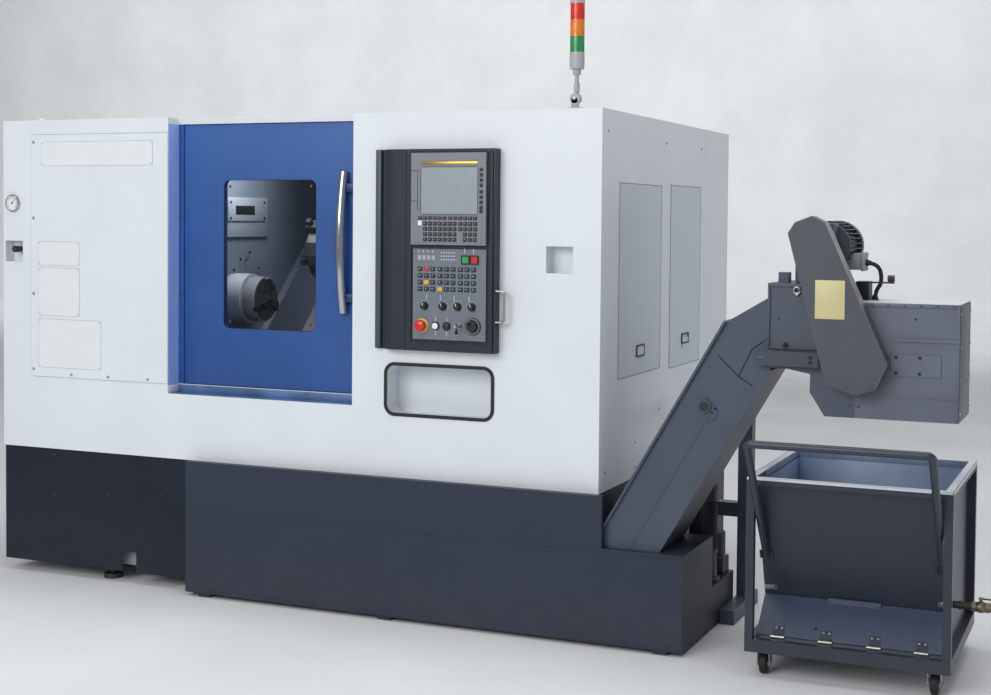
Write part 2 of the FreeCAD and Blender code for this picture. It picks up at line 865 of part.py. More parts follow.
# ---------------------------------------------------------------- cabin lining
def cabin_liner():
    toe = on_slope(0, 0)
    crest = on_slope(bed_slope, 0)
    wall_outline = [(cabin_front, chute_neck), (bed_front_y, chute_neck), toe, crest,
                    (cabin_back, roof_bottom), (cabin_front, roof_bottom)]
    left_wall = prism_yz(wall_outline, (-cabin_left - sheet, -cabin_left))
    hole_start = point(-cabin_left - sheet - 1, spindle_y, spindle_z)
    nose_hole = rod(hole_start, AXIS_X, nose_radius + 1.0, sheet + 2)
    left_wall = left_wall.cut(nose_hole)
    right_wall = prism_yz(wall_outline, (-cabin_right, -cabin_right + sheet))
    across = (-cabin_left, -cabin_right)
    apron_top = door_bottom - apron_drop
    apron_foot = conveyor_front + chute_front_inset
    apron = prism_yz([(cabin_front, apron_top), (cabin_front, chute_neck),
                      (apron_foot, chute_bottom), (apron_foot + sheet, chute_bottom),
                      (cabin_front + sheet, chute_neck), (cabin_front + sheet, apron_top)], across)
    chute_foot = conveyor_back - chute_back_inset
    chute = prism_yz([(bed_front_y - sheet, chute_top), (bed_front_y - sheet, chute_neck),
                      (chute_foot, chute_bottom), (chute_foot + sheet, chute_bottom),
                      (bed_front_y, chute_neck), (bed_front_y, chute_top)], across)
    front_wall = block((doorway_right + sheet, -cabin_right), (cabin_front, cabin_front + sheet),
                       (apron_top, roof_bottom))
    back_wall = block(across, (cabin_back - sheet, cabin_back), (crest[1], roof_bottom))
    way_sheet = slope_block((-cabin_left, -cabin_left + way_sheet_length),
                            (-way_sheet_lap, bed_slope - way_sheet_gap),
                            (way_sheet_height - sheet, way_sheet_height))
    y0, y1, z0, z1 = inspection_plate
    frame = block((-cabin_left, -cabin_left + inspection_depth), (y0, y1), (z0, z1))
    y0, y1, z0, z1 = inspection_pane
    window_x = (-cabin_left + inspection_depth / 2.0, -cabin_left + inspection_depth + 1)
    window = block(window_x, (y0, y1), (z0, z1))
    return join(left_wall, right_wall, apron, chute, front_wall, back_wall, way_sheet, frame.cut(window))


# ---------------------------------------------------------------- outer covers
def left_cover():
    front = block((left_x, doorway_left), (0, sheet), (base_top, roof_bottom))
    lower = block((doorway_left, doorway_right), (0, sheet), (base_top, lower_front_top))
    ledge = block((doorway_left, doorway_right), (sheet, frame_face),
                  (lower_front_top - sheet, lower_front_top))
    side = block((left_x, left_x + sheet), (sheet, enclosure_depth), (base_top, roof_bottom))
    foot = block((left_x + sheet, doorway_right), (sheet, flange), (base_top, base_top + sheet))
    cover = join(front, lower, ledge, side, foot)
    opening = block((left_x + access_left + access_overlap, doorway_left - access_right_gap - access_overlap),
                    (-1, sheet + 1), (access_bottom + access_overlap, access_top - access_overlap))
    gauge_hole = many_sided(point(left_x + gauge_x, -1, gauge_z), AXIS_Y, gauge_body_radius + 0.5,
                            sheet + 2, 8)
    valve_x = left_x + valve_left
    valve_hole = block((valve_x + plate, valve_x + valve_width - plate), (-1, sheet + 1),
                       (valve_bottom + plate, valve_bottom + valve_height - plate))
    return cover.cut(opening).cut(gauge_hole).cut(valve_hole)


def pressure_gauge():
    bezel = many_sided(point(left_x + gauge_x, -gauge_proud, gauge_z), AXIS_Y, gauge_radius, gauge_proud, 28)
    body = many_sided(point(left_x + gauge_x, 0, gauge_z), AXIS_Y, gauge_body_radius, gauge_depth, 8)
    return join(bezel, body)


def air_valve_box():
    x = (left_x + valve_left, left_x + valve_left + valve_width)
    z = (valve_bottom, valve_bottom + valve_height)
    rim = block(x, (-plate, 0), z)
    tray = block((x[0] + plate, x[1] - plate), (0, valve_depth), (z[0] + plate, z[1] - plate))
    hollow = block((x[0] + 2 * plate, x[1] - 2 * plate), (-plate - 1, valve_depth - plate),
                   (z[0] + 2 * plate, z[1] - 2 * plate))
    body_start = lever_sunk + lever_thickness
    body = many_sided(point(x[0] + lever_pivot_x, body_start, z[0] + lever_pivot_z), AXIS_Y,
                      valve_body_radius, valve_depth - plate - body_start, 6)
    return join(join(rim, tray).cut(hollow), body)


def air_valve_lever():
    pivot_x = left_x + valve_left + lever_pivot_x
    pivot_z = valve_bottom + lever_pivot_z
    half = lever_width / 2.0
    return block((pivot_x - half, pivot_x + lever_reach), (lever_sunk, lever_sunk + lever_thickness),
                 (pivot_z - half, pivot_z + half))


def right_cover_sheet():
    front = block((doorway_right, 0), (0, sheet), (base_top, roof_bottom))
    side = block((-sheet, 0), (sheet, enclosure_depth), (base_top, roof_bottom))
    inner_edge = block((doorway_right, doorway_right + sheet), (sheet, frame_face),
                       (lower_front_top, roof_bottom))
    foot = block((doorway_right, -sheet), (sheet, flange), (base_top, base_top + sheet))
    cover = join(front, side, inner_edge, foot)
    pocket_x = doorway_right + pocket_left
    inner = edging_width / 2.0
    pocket_hole = rounded_slab((pocket_x + inner, pocket_x + pocket_width - inner),
                               (pocket_bottom + inner, pocket_bottom + pocket_height - inner),
                               (-1, sheet + 1), pocket_radius - inner)
    recess_x = (doorway_right + recess_left, doorway_right + recess_left + recess_width)
    recess_z = (recess_bottom, recess_bottom + recess_height)
    recess_tray = block((recess_x[0] - plate, recess_x[1] + plate), (sheet, recess_depth + plate),
                        (recess_z[0] - plate, recess_z[1] + plate))
    recess_hole = block(recess_x, (-1, recess_depth), recess_z)
    return join(cover.cut(pocket_hole), recess_tray).cut(recess_hole)


def pocket_outline(margin, y):
    x = doorway_right + pocket_left
    return rounded_slab((x + margin, x + pocket_width - margin),
                        (pocket_bottom + margin, pocket_bottom + pocket_height - margin), y,
                        pocket_radius - margin)


def right_cover():
    """The sheet cover, and the moulded tray of its storage pocket behind it."""
    tray = pocket_outline(0.0, (sheet, pocket_depth))
    tray = tray.cut(pocket_outline(plate, (sheet - 1, pocket_depth - plate)))
    return group([right_cover_sheet(), tray])


def pocket_edging():
    return pocket_outline(0.0, (-sheet, 0)).cut(pocket_outline(edging_width, (-sheet - 1, 1)))


def side_panel(place, latch_y):
    y0, y1, z0, z1 = place
    panel = block((0, plate), (y0, y1), (z0, z1))
    latch_z = z0 + latch_height
    latch = block((plate, plate + latch_size[2]), (y0 + latch_y, y0 + latch_y + latch_size[0]),
                  (latch_z, latch_z + latch_size[1]))
    return join(panel, latch)


def service_panels():
    """The panel on the left cover, and the two on the right side."""
    front = block((left_x + access_left, doorway_left - access_right_gap), (-plate, 0),
                  (access_bottom, access_top))
    side_panels = [side_panel(front_side_panel, front_latch_y), side_panel(rear_side_panel, rear_latch_y)]
    return group([front, *side_panels])


def roof_panel():
    roof = block((left_x, 0), (0, enclosure_depth), (roof_bottom, machine_height))
    notch_z = (roof_bottom - 1, machine_height + 1)
    return roof.cut(block((doorway_left, doorway_right), (-1, frame_face), notch_z))


def base_skirt():
    front = block((left_x, 0), (skirt_setback, skirt_setback + sheet), (skirt_bottom, base_top))
    front_y = (0, skirt_setback + sheet + 1)
    tank_gap = block((-tank_left - tank_clearance, 1), front_y, (skirt_bottom - 1, chute_bottom))
    notch = block((-skirt_notch_left, -skirt_notch_right), front_y, (skirt_bottom - 1, skirt_notch_top))
    left = block((left_x, left_x + sheet), (skirt_setback, back_y), (skirt_bottom, base_top))
    back = block((left_x, 0), (back_y - sheet, back_y), (skirt_bottom, base_top))
    right_low = block((-sheet, 0), (stand_y + stand_tube + brace_gap_y, back_y), (skirt_bottom, base_top))
    brace_top = brace_bottom + stand_tube
    right_high = block((-sheet, 0), (skirt_setback, back_y), (brace_top + brace_gap_z, base_top))
    return join(front.cut(tank_gap).cut(notch), left, back, right_low, right_high)


# ---------------------------------------------------------------- electrical cabinet
def electrical_cabinet():
    shell = block((left_x, 0), (enclosure_depth, back_y), (base_top, machine_height))
    inside = block((left_x + sheet, -sheet), (enclosure_depth + sheet, back_y - sheet),
                   (base_top + sheet, machine_height - sheet))
    shell = shell.cut(inside)
    lap = cabinet_door_lap
    doorway = block((cabinet_door_left + lap, cabinet_door_right - lap), (back_y - sheet - 1, back_y + 1),
                    (cabinet_door_bottom + lap, cabinet_door_top - lap))
    shell = shell.cut(doorway)
    modules = []
    for index in range(module_count):
        start = cabinet_door_left + module_inset + index * module_pitch
        modules.append(block((start, start + module_width),
                             (enclosure_depth + sheet, enclosure_depth + module_depth), module_z))
    return join(shell, *modules)


def cabinet_door():
    x = (cabinet_door_left, cabinet_door_right)
    z = (cabinet_door_bottom, cabinet_door_top)
    pan = block(x, (back_y, back_y + cabinet_door_depth), z)
    hollow = block((x[0] + plate, x[1] - plate), (back_y - 1, back_y + cabinet_door_depth - plate),
                   (z[0] + plate, z[1] - plate))
    rim = block((x[0] + plate, x[1] - plate), (back_y, back_y + plate), (z[0] + plate, z[1] - plate))
    lap = cabinet_door_lap
    gap = block((x[0] + lap, x[1] - lap), (back_y - 1, back_y + plate + 1), (z[0] + lap, z[1] - lap))
    face = back_y + cabinet_door_depth
    middle = (z[0] + z[1]) / 2.0
    grip_right = x[1] - cabinet_handle_inset
    grip = block((grip_right - cabinet_handle_width, grip_right), (face, face + cabinet_handle_reach),
                 (middle - cabinet_handle_height / 2.0, middle + cabinet_handle_height / 2.0))
    return join(pan.cut(hollow), rim.cut(gap), grip)


# ---------------------------------------------------------------- doorway and door
def door_frame():
    z = (lower_front_top, roof_bottom)
    face = (frame_face, frame_face + sheet)
    cheek = block((doorway_left - sheet, doorway_left), (sheet, frame_face), z)
    lip = block((doorway_left - sheet, doorway_left + frame_lip), face, z)
    sill = block((doorway_left, doorway_right + sheet), face, (lower_front_top, sill_top))
    head = block((doorway_left, doorway_right + sheet), face, (top_rail_bottom, roof_bottom))
    jamb = block((doorway_right - frame_jamb, doorway_right + sheet), face, z)
    middle_y = door_setback + door_depth / 2.0
    track_y = (middle_y - track_width / 2.0, middle_y + track_width / 2.0)
    track_x = (doorway_left - track_reach, doorway_right)
    lower_track = block(track_x, track_y, (door_bottom - track_height, door_bottom))
    web_y = (frame_face + sheet, track_y[0])
    lower_web = block(track_x, web_y, (door_bottom - track_height, door_bottom - track_groove))
    upper_track = block(track_x, track_y, (door_top, door_top + track_height))
    upper_web = block(track_x, web_y, (door_top + track_groove, door_top + track_height))
    return join(cheek, lip, sill, head, jamb, lower_track, lower_web, upper_track, upper_web)


door_x = (doorway_left + door_left_tuck, doorway_right - door_right_gap)
door_y = (door_setback, door_setback + door_depth)


def window_slab(margin, y):
    x = door_x[0] + window_left
    z = door_bottom + window_bottom
    return rounded_slab((x - margin, x + window_width + margin), (z - margin, z + window_height + margin), y,
                        window_radius + margin)


def front_door():
    pan = block(door_x, door_y, (door_bottom, door_top))
    hollow = block((door_x[0] + sheet, door_x[1] - sheet), (door_y[0] + sheet, door_y[1] + 1),
                   (door_bottom + sheet, door_top - sheet))
    ring_margin = glass_rebate + window_ring
    ring_x = (door_x[0] + window_left - ring_margin, door_x[0] + window_left + window_width + ring_margin)
    ring_z = (door_bottom + window_bottom - ring_margin,
              door_bottom + window_bottom + window_height + ring_margin)
    ring = block(ring_x, door_y, ring_z)
    opening = window_slab(0.0, (door_y[0] - 1, door_y[1] + 1))
    rebate = window_slab(glass_rebate, (door_y[0] + 2 * sheet, door_y[1] + 1))
    return join(pan.cut(hollow), ring).cut(opening).cut(rebate)


def door_glass():
    start = door_y[0] + 2 * sheet
    return window_slab(glass_rebate - glass_gap, (start, start + glass_thickness))


def swept(section, path):
    shell = path.makePipeShell([section], True, False)
    return shell if shell.ShapeType == "Solid" else Part.Solid(shell)


def polygon_section(centre, side_a, side_b, radius, sides):
    corners = []
    for index in range(sides + 1):
        angle = 2.0 * math.pi * (index + 0.5) / sides
        corners.append(centre + side_a * (radius * math.cos(angle)) + side_b * (radius * math.sin(angle)))
    return Part.makePolygon(corners)


def door_handle():
    x = door_x[1] - handle_from_right
    middle_z = (handle_bottom_z + handle_top_z) / 2.0
    low = point(x, handle_end_y, handle_bottom_z)
    high = point(x, handle_end_y, handle_top_z)
    arc = Part.Arc(low, point(x, handle_end_y - handle_bow, middle_z), high).toShape()
    start_direction = arc.tangentAt(arc.FirstParameter)
    section = polygon_section(low, AXIS_X, start_direction.cross(AXIS_X), handle_radius, 8)
    bar = swept(section, Part.Wire([arc]))
    posts = []
    for z in (handle_bottom_z + handle_post_inset, handle_top_z - handle_post_inset):
        posts.append(many_sided(point(x, handle_end_y - handle_post_tuck, z), AXIS_Y, handle_post_radius,
                                door_setback - handle_end_y + handle_post_tuck, 10))
    return join(bar, *posts)


# ---------------------------------------------------------------- operator pendant
def pendant_column():
    right = pendant_x + column_width
    z = (pendant_bottom, pendant_bottom + pendant_height)
    outline = [(pendant_x + x, y) for x, y in column_profile] + [(right, -pendant_depth), (right, 0)]
    return prism_xy(outline, z)


def pendant_case():
    x = (case_left, case_right)
    z = (pendant_bottom, pendant_bottom + pendant_height)
    case = block(x, (-pendant_depth, 0), z)
    hollow = block((x[0] + sheet, x[1] - sheet), (-pendant_depth + sheet + bay_depth, 1),
                   (z[0] + sheet, z[1] - sheet))
    bay = block((x[0] + bay_margin, x[1] - bay_margin), (-pendant_depth - 1, -pendant_depth + bay_depth),
                (z[0] + 1.5 * bay_margin, z[1] - 0.5 * bay_margin))
    ridge = block((x[1] - ridge_inset - ridge_width, x[1] - ridge_inset),
                  (-pendant_depth - ridge_height, -pendant_depth), (z[0] + ridge_end, z[1] - ridge_end))
    return join(case.cut(hollow).cut(bay), ridge)


def display_unit():
    left = case_left + bay_margin + display_gap
    x = (left, left + display_size[0])
    top = pendant_bottom + pendant_height - bay_margin * 0.5 - display_gap
    z = (top - display_size[1], top)
    face = -pendant_depth - display_proud
    unit = block(x, (face, -pendant_depth + bay_depth), z)
    screen_x = (left + screen_left, left + screen_left + screen_size[0])
    screen_top = top - screen_drop
    screen = block(screen_x, (face - 1, face + screen_sunk), (screen_top - screen_size[1], screen_top))
    key_bed = block((x[0] + key_bed_margin, x[1] - key_bed_margin), (face - key_bed_proud, face),
                    (z[0] + key_bed_bottom, z[0] + key_bed_top))
    return join(unit.cut(screen), key_bed)


def on_keypad(place):
    return keypad_x + place[0], keypad_z + place[1]


def push_recess(place):
    x, z = on_keypad(place)
    half = push_size / 2.0 + push_clearance
    depth = (keypad_face - 1, keypad_face + keypad_proud + push_travel)
    return block((x - half, x + half), depth, (z - half, z + half))


def keypad_panel():
    x = (keypad_x, keypad_x + keypad_size[0])
    z = (keypad_z, keypad_z + keypad_size[1])
    panel = block(x, (keypad_face, -pendant_depth + bay_depth), z)
    stop_x, stop_z = on_keypad(stop_place)
    stop_hole = rod(point(stop_x, keypad_face - 1, stop_z), AXIS_Y, stop_stem_radius + running_clearance,
                    keypad_proud + bay_depth + 2)
    panel = panel.cut(stop_hole)
    for place in (start_place, halt_place):
        panel = panel.cut(push_recess(place))
    return panel


def pendant_handle():
    x = case_right
    middle_z = pendant_bottom + pull_place * pendant_height
    z = (middle_z - pull_height / 2.0, middle_z + pull_height / 2.0)
    y = -pull_stand
    low = many_sided(point(x, y, z[0]), AXIS_X, pull_radius, pull_reach, 8, math.pi / 8)
    high = many_sided(point(x, y, z[1]), AXIS_X, pull_radius, pull_reach, 8, math.pi / 8)
    grip = many_sided(point(x + pull_reach - pull_radius, y, z[0] - pull_radius), AXIS_Z, pull_radius,
                      pull_height + 2 * pull_radius, 8, math.pi / 8)
    return join(low, high, grip)


def emergency_stop():
    x, z = on_keypad(stop_place)
    head_back = keypad_face - stop_travel - stop_neck
    head_front = head_back - stop_head_depth
    head = many_sided(point(x, head_front, z), AXIS_Y, stop_head_radius, stop_head_depth, 20)
    crown = many_sided(point(x, head_front - stop_crown, z), AXIS_Y, stop_head_radius * 0.8, stop_crown, 20)
    stem = rod(point(x, head_back, z), AXIS_Y, stop_stem_radius, stop_travel + 2.0 * stop_neck)
    return join(head, crown, stem)


def selector_knob(index):
    x, z = on_keypad((knob_places[index], knob_row))
    skirt = many_sided(point(x, keypad_face - knob_skirt, z), AXIS_Y, knob_radius, knob_skirt, 12)
    grip = many_sided(point(x, keypad_face - knob_length, z), AXIS_Y, knob_radius * 0.86,
                      knob_length - knob_skirt, 12)
    half = knob_pointer / 2.0
    pointer = block((x - half, x + half), (keypad_face - knob_length - 1.0, keypad_face - knob_length),
                    (z, z + knob_radius * 0.8))
    return join(skirt, grip, pointer)


def push_button(place):
    x, z = on_keypad(place)
    half = push_size / 2.0
    depth = (keypad_face - push_proud, keypad_face + push_sunk)
    return block((x - half, x + half), depth, (z - half, z + half))


def key_switch():
    x, z = on_keypad(key_place)
    half = key_thickness / 2.0
    barrel_face = keypad_face - key_barrel
    blade_end = barrel_face - key_blade_length
    barrel = many_sided(point(x, barrel_face, z), AXIS_Y, key_radius, key_barrel, 16)
    blade = block((x - half, x + half), (blade_end, barrel_face), (z - key_blade_half, z + key_blade_half))
    bow = many_sided(point(x - half, blade_end - key_bow_reach, z), AXIS_X, key_bow_radius, key_thickness, 8)
    return join(barrel, blade, bow)


def handwheel():
    x, z = on_keypad(wheel_place)
    hub_face = keypad_face - wheel_dial - wheel_hub
    dial = many_sided(point(x, keypad_face - wheel_dial, z), AXIS_Y, wheel_radius, wheel_dial, 24)
    hub = many_sided(point(x, hub_face, z), AXIS_Y, wheel_radius * 0.62, wheel_hub, 20)
    spinner_start = point(x - wheel_radius * 0.3, hub_face - spinner_length, z + wheel_radius * 0.3)
    spinner = many_sided(spinner_start, AXIS_Y, spinner_radius, spinner_length, 10)
    return join(dial, hub, spinner)


# ---------------------------------------------------------------- signal tower
def tower_foot():
    x = -tower_x
    split = tower_y - tower_half / 2.0 - rubbing_gap
    flange_disc = many_sided(point(x, tower_y, machine_height), AXIS_Z, tower_flange_radius,
                             tower_flange_height, 24)
    cheek = block((x - tower_cheek, x + tower_cheek), (split - tower_half, split),
                  (machine_height, tower_pivot_z))
    ear = many_sided(point(x, split - tower_half, tower_pivot_z), AXIS_Y, tower_pivot_radius, tower_half, 16)
    pin = rod(point(x, split, tower_pivot_z), AXIS_Y, tower_pin_radius, tower_half + rubbing_gap)
    return join(flange_disc, cheek, ear, pin)


def signal_tower():
    x = -tower_x
    ear_start = tower_y - tower_half / 2.0
    ear = many_sided(point(x, ear_start, tower_pivot_z), AXIS_Y, tower_pivot_radius, tower_half, 16)
    rod_z = tower_pivot_z + tower_rod_start
    rod_low = many_sided(point(x, tower_y, rod_z), AXIS_Z, tower_rod_radius, tower_rod - tower_rod_start, 10)
    sleeve_z = tower_pivot_z + tower_sleeve_start
    sleeve = many_sided(point(x, tower_y, sleeve_z), AXIS_Z, tower_sleeve_radius, tower_sleeve_length, 12)
    housing_z = tower_pivot_z + tower_rod + tower_collar_height
    collar_z = housing_z - tower_collar_length
    collar = many_sided(point(x, tower_y, collar_z), AXIS_Z, tower_collar_radius, tower_collar_length, 16)
    housing = many_sided(point(x, tower_y, housing_z), AXIS_Z, tower_radius, tower_housing, 24)
    cap_z = housing_z + tower_housing + 3 * tower_lens
    cap = many_sided(point(x, tower_y, cap_z), AXIS_Z, tower_radius, tower_cap, 24)
    pin_hole = rod(point(x, ear_start - 1, tower_pivot_z), AXIS_Y, tower_pin_radius + running_clearance,
                   tower_half + 2)
    lower = join(ear, rod_low, sleeve, collar, housing).cut(pin_hole)
    return group([lower, cap])


def tower_lenses():
    base = tower_pivot_z + tower_rod + tower_collar_height + tower_housing
    lenses = []
    for index in range(3):
        lenses.append(many_sided(point(-tower_x, tower_y, base + index * tower_lens), AXIS_Z,
                                 tower_radius - 1.0, tower_lens, 24))
    return group(lenses)


# ---------------------------------------------------------------- coolant tank
def tank_outline():
    return [(-tank_front, tank_bottom), (tank_back, tank_bottom), (tank_back, tank_low_top),
            (tank_step_y, tank_low_top), (tank_step_y, tank_top), (-tank_front, tank_top)]


def coolant_tank():
    """A tank welded from flat sheets, each a solid of its own."""
    outer_x = (-tank_left, tank_right)
    inner_x = (-tank_left + tank_wall, tank_right - tank_wall)
    sheets = [prism_yz(outline, inner_x) for outline in mitred_sheets(tank_outline(), tank_wall)]
    top = sheets.pop(4)
    top_z = (tank_top - tank_wall, tank_top)
    mouth_right = conveyor_foot + (tank_top - conveyor_floor) / math.tan(conveyor_angle) + tank_mouth_gap
    mouth_x = (-conveyor_left - tank_mouth_gap, mouth_right)
    mouth_y = (conveyor_front - tank_mouth_gap, conveyor_back + tank_mouth_gap)
    sheets.append(top.common(block(inner_x, (-tank_front, mouth_y[0]), top_z)))
    sheets.append(top.common(block(inner_x, (mouth_y[1], tank_step_y), top_z)))
    sheets.append(block((inner_x[0], mouth_x[0]), mouth_y, top_z))
    sheets.append(block((mouth_x[1], inner_x[1]), mouth_y, top_z))
    for x in ((outer_x[0], inner_x[0]), (inner_x[1], outer_x[1])):
        sheets.append(block(x, (-tank_front, tank_back), (tank_bottom, tank_low_top)))
        sheets.append(block(x, (-tank_front, tank_step_y), (tank_low_top, tank_top)))
    apron_x = (-tank_left, tank_apron_right)
    apron_y = (-tank_front, -tank_front + tank_wall)
    sheets.append(block(apron_x, apron_y, (tank_top, tank_apron_top)))
    sheets.append(block(apron_x, (apron_y[1], -tank_front + tank_lip),
                        (tank_apron_top - tank_wall, tank_apron_top)))
    sheets.append(block((apron_x[1] - tank_wall, apron_x[1]), (apron_y[1], -tank_front + tank_gusset),
                        (tank_top, tank_apron_top - tank_wall)))
    for x in (-tank_left + tank_pad, -tank_left / 2.0, tank_right - 2 * tank_pad):
        for y in (-tank_front + tank_pad / 5.0, tank_back - 1.5 * tank_pad):
            sheets.append(block((x, x + tank_pad), (y, y + tank_pad), (0, tank_bottom)))
    return group(sheets)


def coolant_pumps():
    """The immersion pump with its outlet block, and the square filter behind it."""
    axis_x = pump_x - pump_outlet[0] * 0.4
    body_z = tank_low_top + pump_foot_height
    hood_z = tank_low_top + pump_height - pump_hood_height
    foot = many_sided(point(axis_x, pump_y, tank_low_top), AXIS_Z, pump_foot_radius, pump_foot_height, 12)
    body = many_sided(point(axis_x, pump_y, body_z), AXIS_Z, pump_body_radius, hood_z - body_z, 16)
    hood = many_sided(point(axis_x, pump_y, hood_z), AXIS_Z, pump_hood_radius, pump_hood_height, 16)
    wide, deep, tall = pump_outlet
    outlet = block((axis_x - wide, axis_x), (pump_y + deep, pump_y + 2 * deep),
                   (tank_low_top, tank_low_top + tall))
    first = join(foot, body, hood, outlet)
    solids = []
    base_z = tank_low_top
    middle_y = filter_y + filter_size[1] / 2.0
    for wide, deep, tall in (filter_size, filter_head):
        left = filter_x - wide / 2.0
        solids.append(block((left, left + wide), (middle_y - deep / 2.0, middle_y + deep / 2.0),
                            (base_z, base_z + tall)))
        base_z += tall
    return group([first, join(*solids)])


# ---------------------------------------------------------------- chip conveyor
def conveyor_line(x, z_start, x_start):
    """Height at x of a line that climbs at the conveyor's angle."""
    return z_start + (x - x_start) * math.tan(conveyor_angle)


def conveyor_outline():
    deck = conveyor_floor + conveyor_thickness
    deck_foot = conveyor_foot - conveyor_thickness * math.tan(conveyor_angle / 2.0)
    elbow_z = conveyor_line(elbow_x, deck, deck_foot)
    joint_top = elbow_z + (head_left - elbow_x) * 0.6
    joint_bottom = conveyor_line(head_left, conveyor_floor, conveyor_foot)
    return [(-conveyor_left, conveyor_floor), (conveyor_foot, conveyor_floor), (head_left, joint_bottom),
            (head_left, joint_top), (elbow_x, elbow_z), (deck_foot, deck), (-conveyor_left, deck)]


def head_outline():
    joint_bottom = conveyor_line(head_left, conveyor_floor, conveyor_foot)
    throat_x = conveyor_foot + (head_throat_z - conveyor_floor) / math.tan(conveyor_angle)
    return [(head_left, joint_bottom), (throat_x, head_throat_z), *head_notch, (head_right, head_bottom),
            (head_right, head_low_top), (head_step_x, head_low_top), (head_step_x, head_high_top),
            (head_left, head_high_top)]


def duct(outline, y):
    """A sheet housing with side plates, hollow inside."""
    outer = prism_xz(outline, y)
    inner = prism_xz(inset(outline, conveyor_wall), (y[0] + conveyor_wall, y[1] - conveyor_wall))
    return outer.cut(inner)


conveyor_y = (conveyor_front, conveyor_back)
conveyor_inner_y = (conveyor_y[0] + conveyor_wall, conveyor_y[1] - conveyor_wall)


def side_plates(outline):
    near = prism_xz(outline, (conveyor_y[0], conveyor_inner_y[0]))
    far = prism_xz(outline, (conveyor_inner_y[1], conveyor_y[1]))
    return [near, far]


def conveyor_trough():
    """The flat sheets of the level run in the tank."""
    outline = conveyor_outline()
    sheets = [prism_xz(each, conveyor_inner_y) for each in mitred_sheets(outline, conveyor_wall)]
    deck_z = outline[6][1]
    mouth = block((outline[6][0] + mouth_margin, -cabin_right - mouth_right_gap), conveyor_inner_y,
                  (deck_z - conveyor_wall - 1, deck_z + 1))
    deck = sheets[5].cut(mouth).Solids
    return side_plates([outline[0], outline[1], outline[5], outline[6]]) + [sheets[0], sheets[6]] + deck


def conveyor_rise():
    """The flat sheets of the climbing run up to the head, with its lid and the slack adjuster."""
    outline = conveyor_outline()
    sheets = [prism_xz(each, conveyor_inner_y) for each in mitred_sheets(outline, conveyor_wall)]
    throat = block((head_left - 2 * conveyor_wall, head_left + 1), conveyor_inner_y,
                   (outline[2][1] + throat_margin, outline[3][1] - throat_margin))
    end = sheets[2].cut(throat).Solids
    deck_foot, deck = outline[5]
    lid_x = deck_foot + lid_start
    slant_x = -math.sin(conveyor_angle) * lid_rise
    slant_z = math.cos(conveyor_angle) * lid_rise
    low = (lid_x, conveyor_line(lid_x, deck, deck_foot))
    high = outline[4]
    lid_outline = [low, high, (high[0] + slant_x, high[1] + slant_z), (low[0] + slant_x, low[1] + slant_z)]
    lid = prism_xz(lid_outline, (conveyor_y[0] - lid_overhang, conveyor_y[1] + lid_overhang))
    seam = prism_xz(rise_seam, (conveyor_y[0] - plate, conveyor_y[0]))
    bearing_x, bearing_z = slack_bearing
    bearing = many_sided(point(bearing_x, conveyor_y[0] - slack_bearing_proud, bearing_z), AXIS_Y,
                         slack_bearing_radius, slack_bearing_proud, 16)
    ears = prism_xz(slack_ears, (conveyor_y[0] - slack_ear_proud, conveyor_y[0]))
    fittings = join(seam, bearing, ears)
    return side_plates(outline[1:6]) + [sheets[1], sheets[3], sheets[4]] + end + [lid, fittings]


def conveyor_body():
    return group(conveyor_trough() + conveyor_rise())


def conveyor_head():
    y = conveyor_y
    outline = head_outline()
    housing = duct(outline, y)
    joint_top = conveyor_outline()[3][1]
    throat = block((head_left - 1, head_left + throat_depth), conveyor_inner_y,
                   (outline[0][1] + throat_margin, joint_top - throat_margin))
    mouth = block((head_mouth_left, head_right - mouth_right_gap), conveyor_inner_y,
                  (head_bottom - 1, head_bottom + conveyor_wall + 1))
    housing = housing.cut(throat).cut(mouth)
    shaft_hole = rod(point(drive_x, y[0] - 1, drive_z), AXIS_Y, drive_shaft_radius + running_clearance,
                     conveyor_width + 2)
    housing = housing.cut(shaft_hole)
    shelf = block(bracket_x, (y[0] - bracket_reach, y[0]), (bracket_z[1] - bracket_sheet, bracket_z[1]))
    front = block(bracket_x, (y[0] - bracket_reach, y[0] - bracket_reach + bracket_sheet), bracket_z)
    bracket = join(shelf, front)
    relief_y = (y[0] - bracket_reach + bracket_sheet + 1, y[0] + 1)
    relief = block((bracket_x[0], head_left + bracket_relief), relief_y, (bracket_z[0] - 1, bracket_z[1] + 1))
    bracket = bracket.cut(relief)
    ridge = block((head_ridge_x, head_right), (y[0] - ridge_proud, y[0]), head_ridge_z)
    x0, x1, z0, z1 = bearing_cover
    cover_plate = block((x0, x1), (y[0] - conveyor_wall, y[0]), (z0, z1))
    tensioner = block(tensioner_x, tensioner_y, (head_high_top, tensioner_top))
    return join(housing, bracket, ridge, cover_plate, tensioner)


def conveyor_switch():
    """The switch box on the head, with the long lever and its round end knob."""
    x0, x1 = switch_x
    y0, y1 = switch_lever_y
    body = block(switch_x, switch_y, (head_low_top, switch_top))
    lever_z = switch_top - switch_lever_thickness
    lever = block((x1, x1 + switch_reach), switch_lever_y, (lever_z, switch_top))
    knob_x = x1 + switch_reach - switch_knob_length
    knob_z = switch_top + switch_knob_radius
    knob = many_sided(point(knob_x, (y0 + y1) / 2.0, knob_z), AXIS_X, switch_knob_radius, switch_knob_length,
                      8, math.pi / 8)
    post_x = (knob_x + switch_post_inset, knob_x + switch_knob_length - switch_post_inset)
    post = block(post_x, switch_lever_y, (lever_z, knob_z))
    return join(body, lever, post, knob)


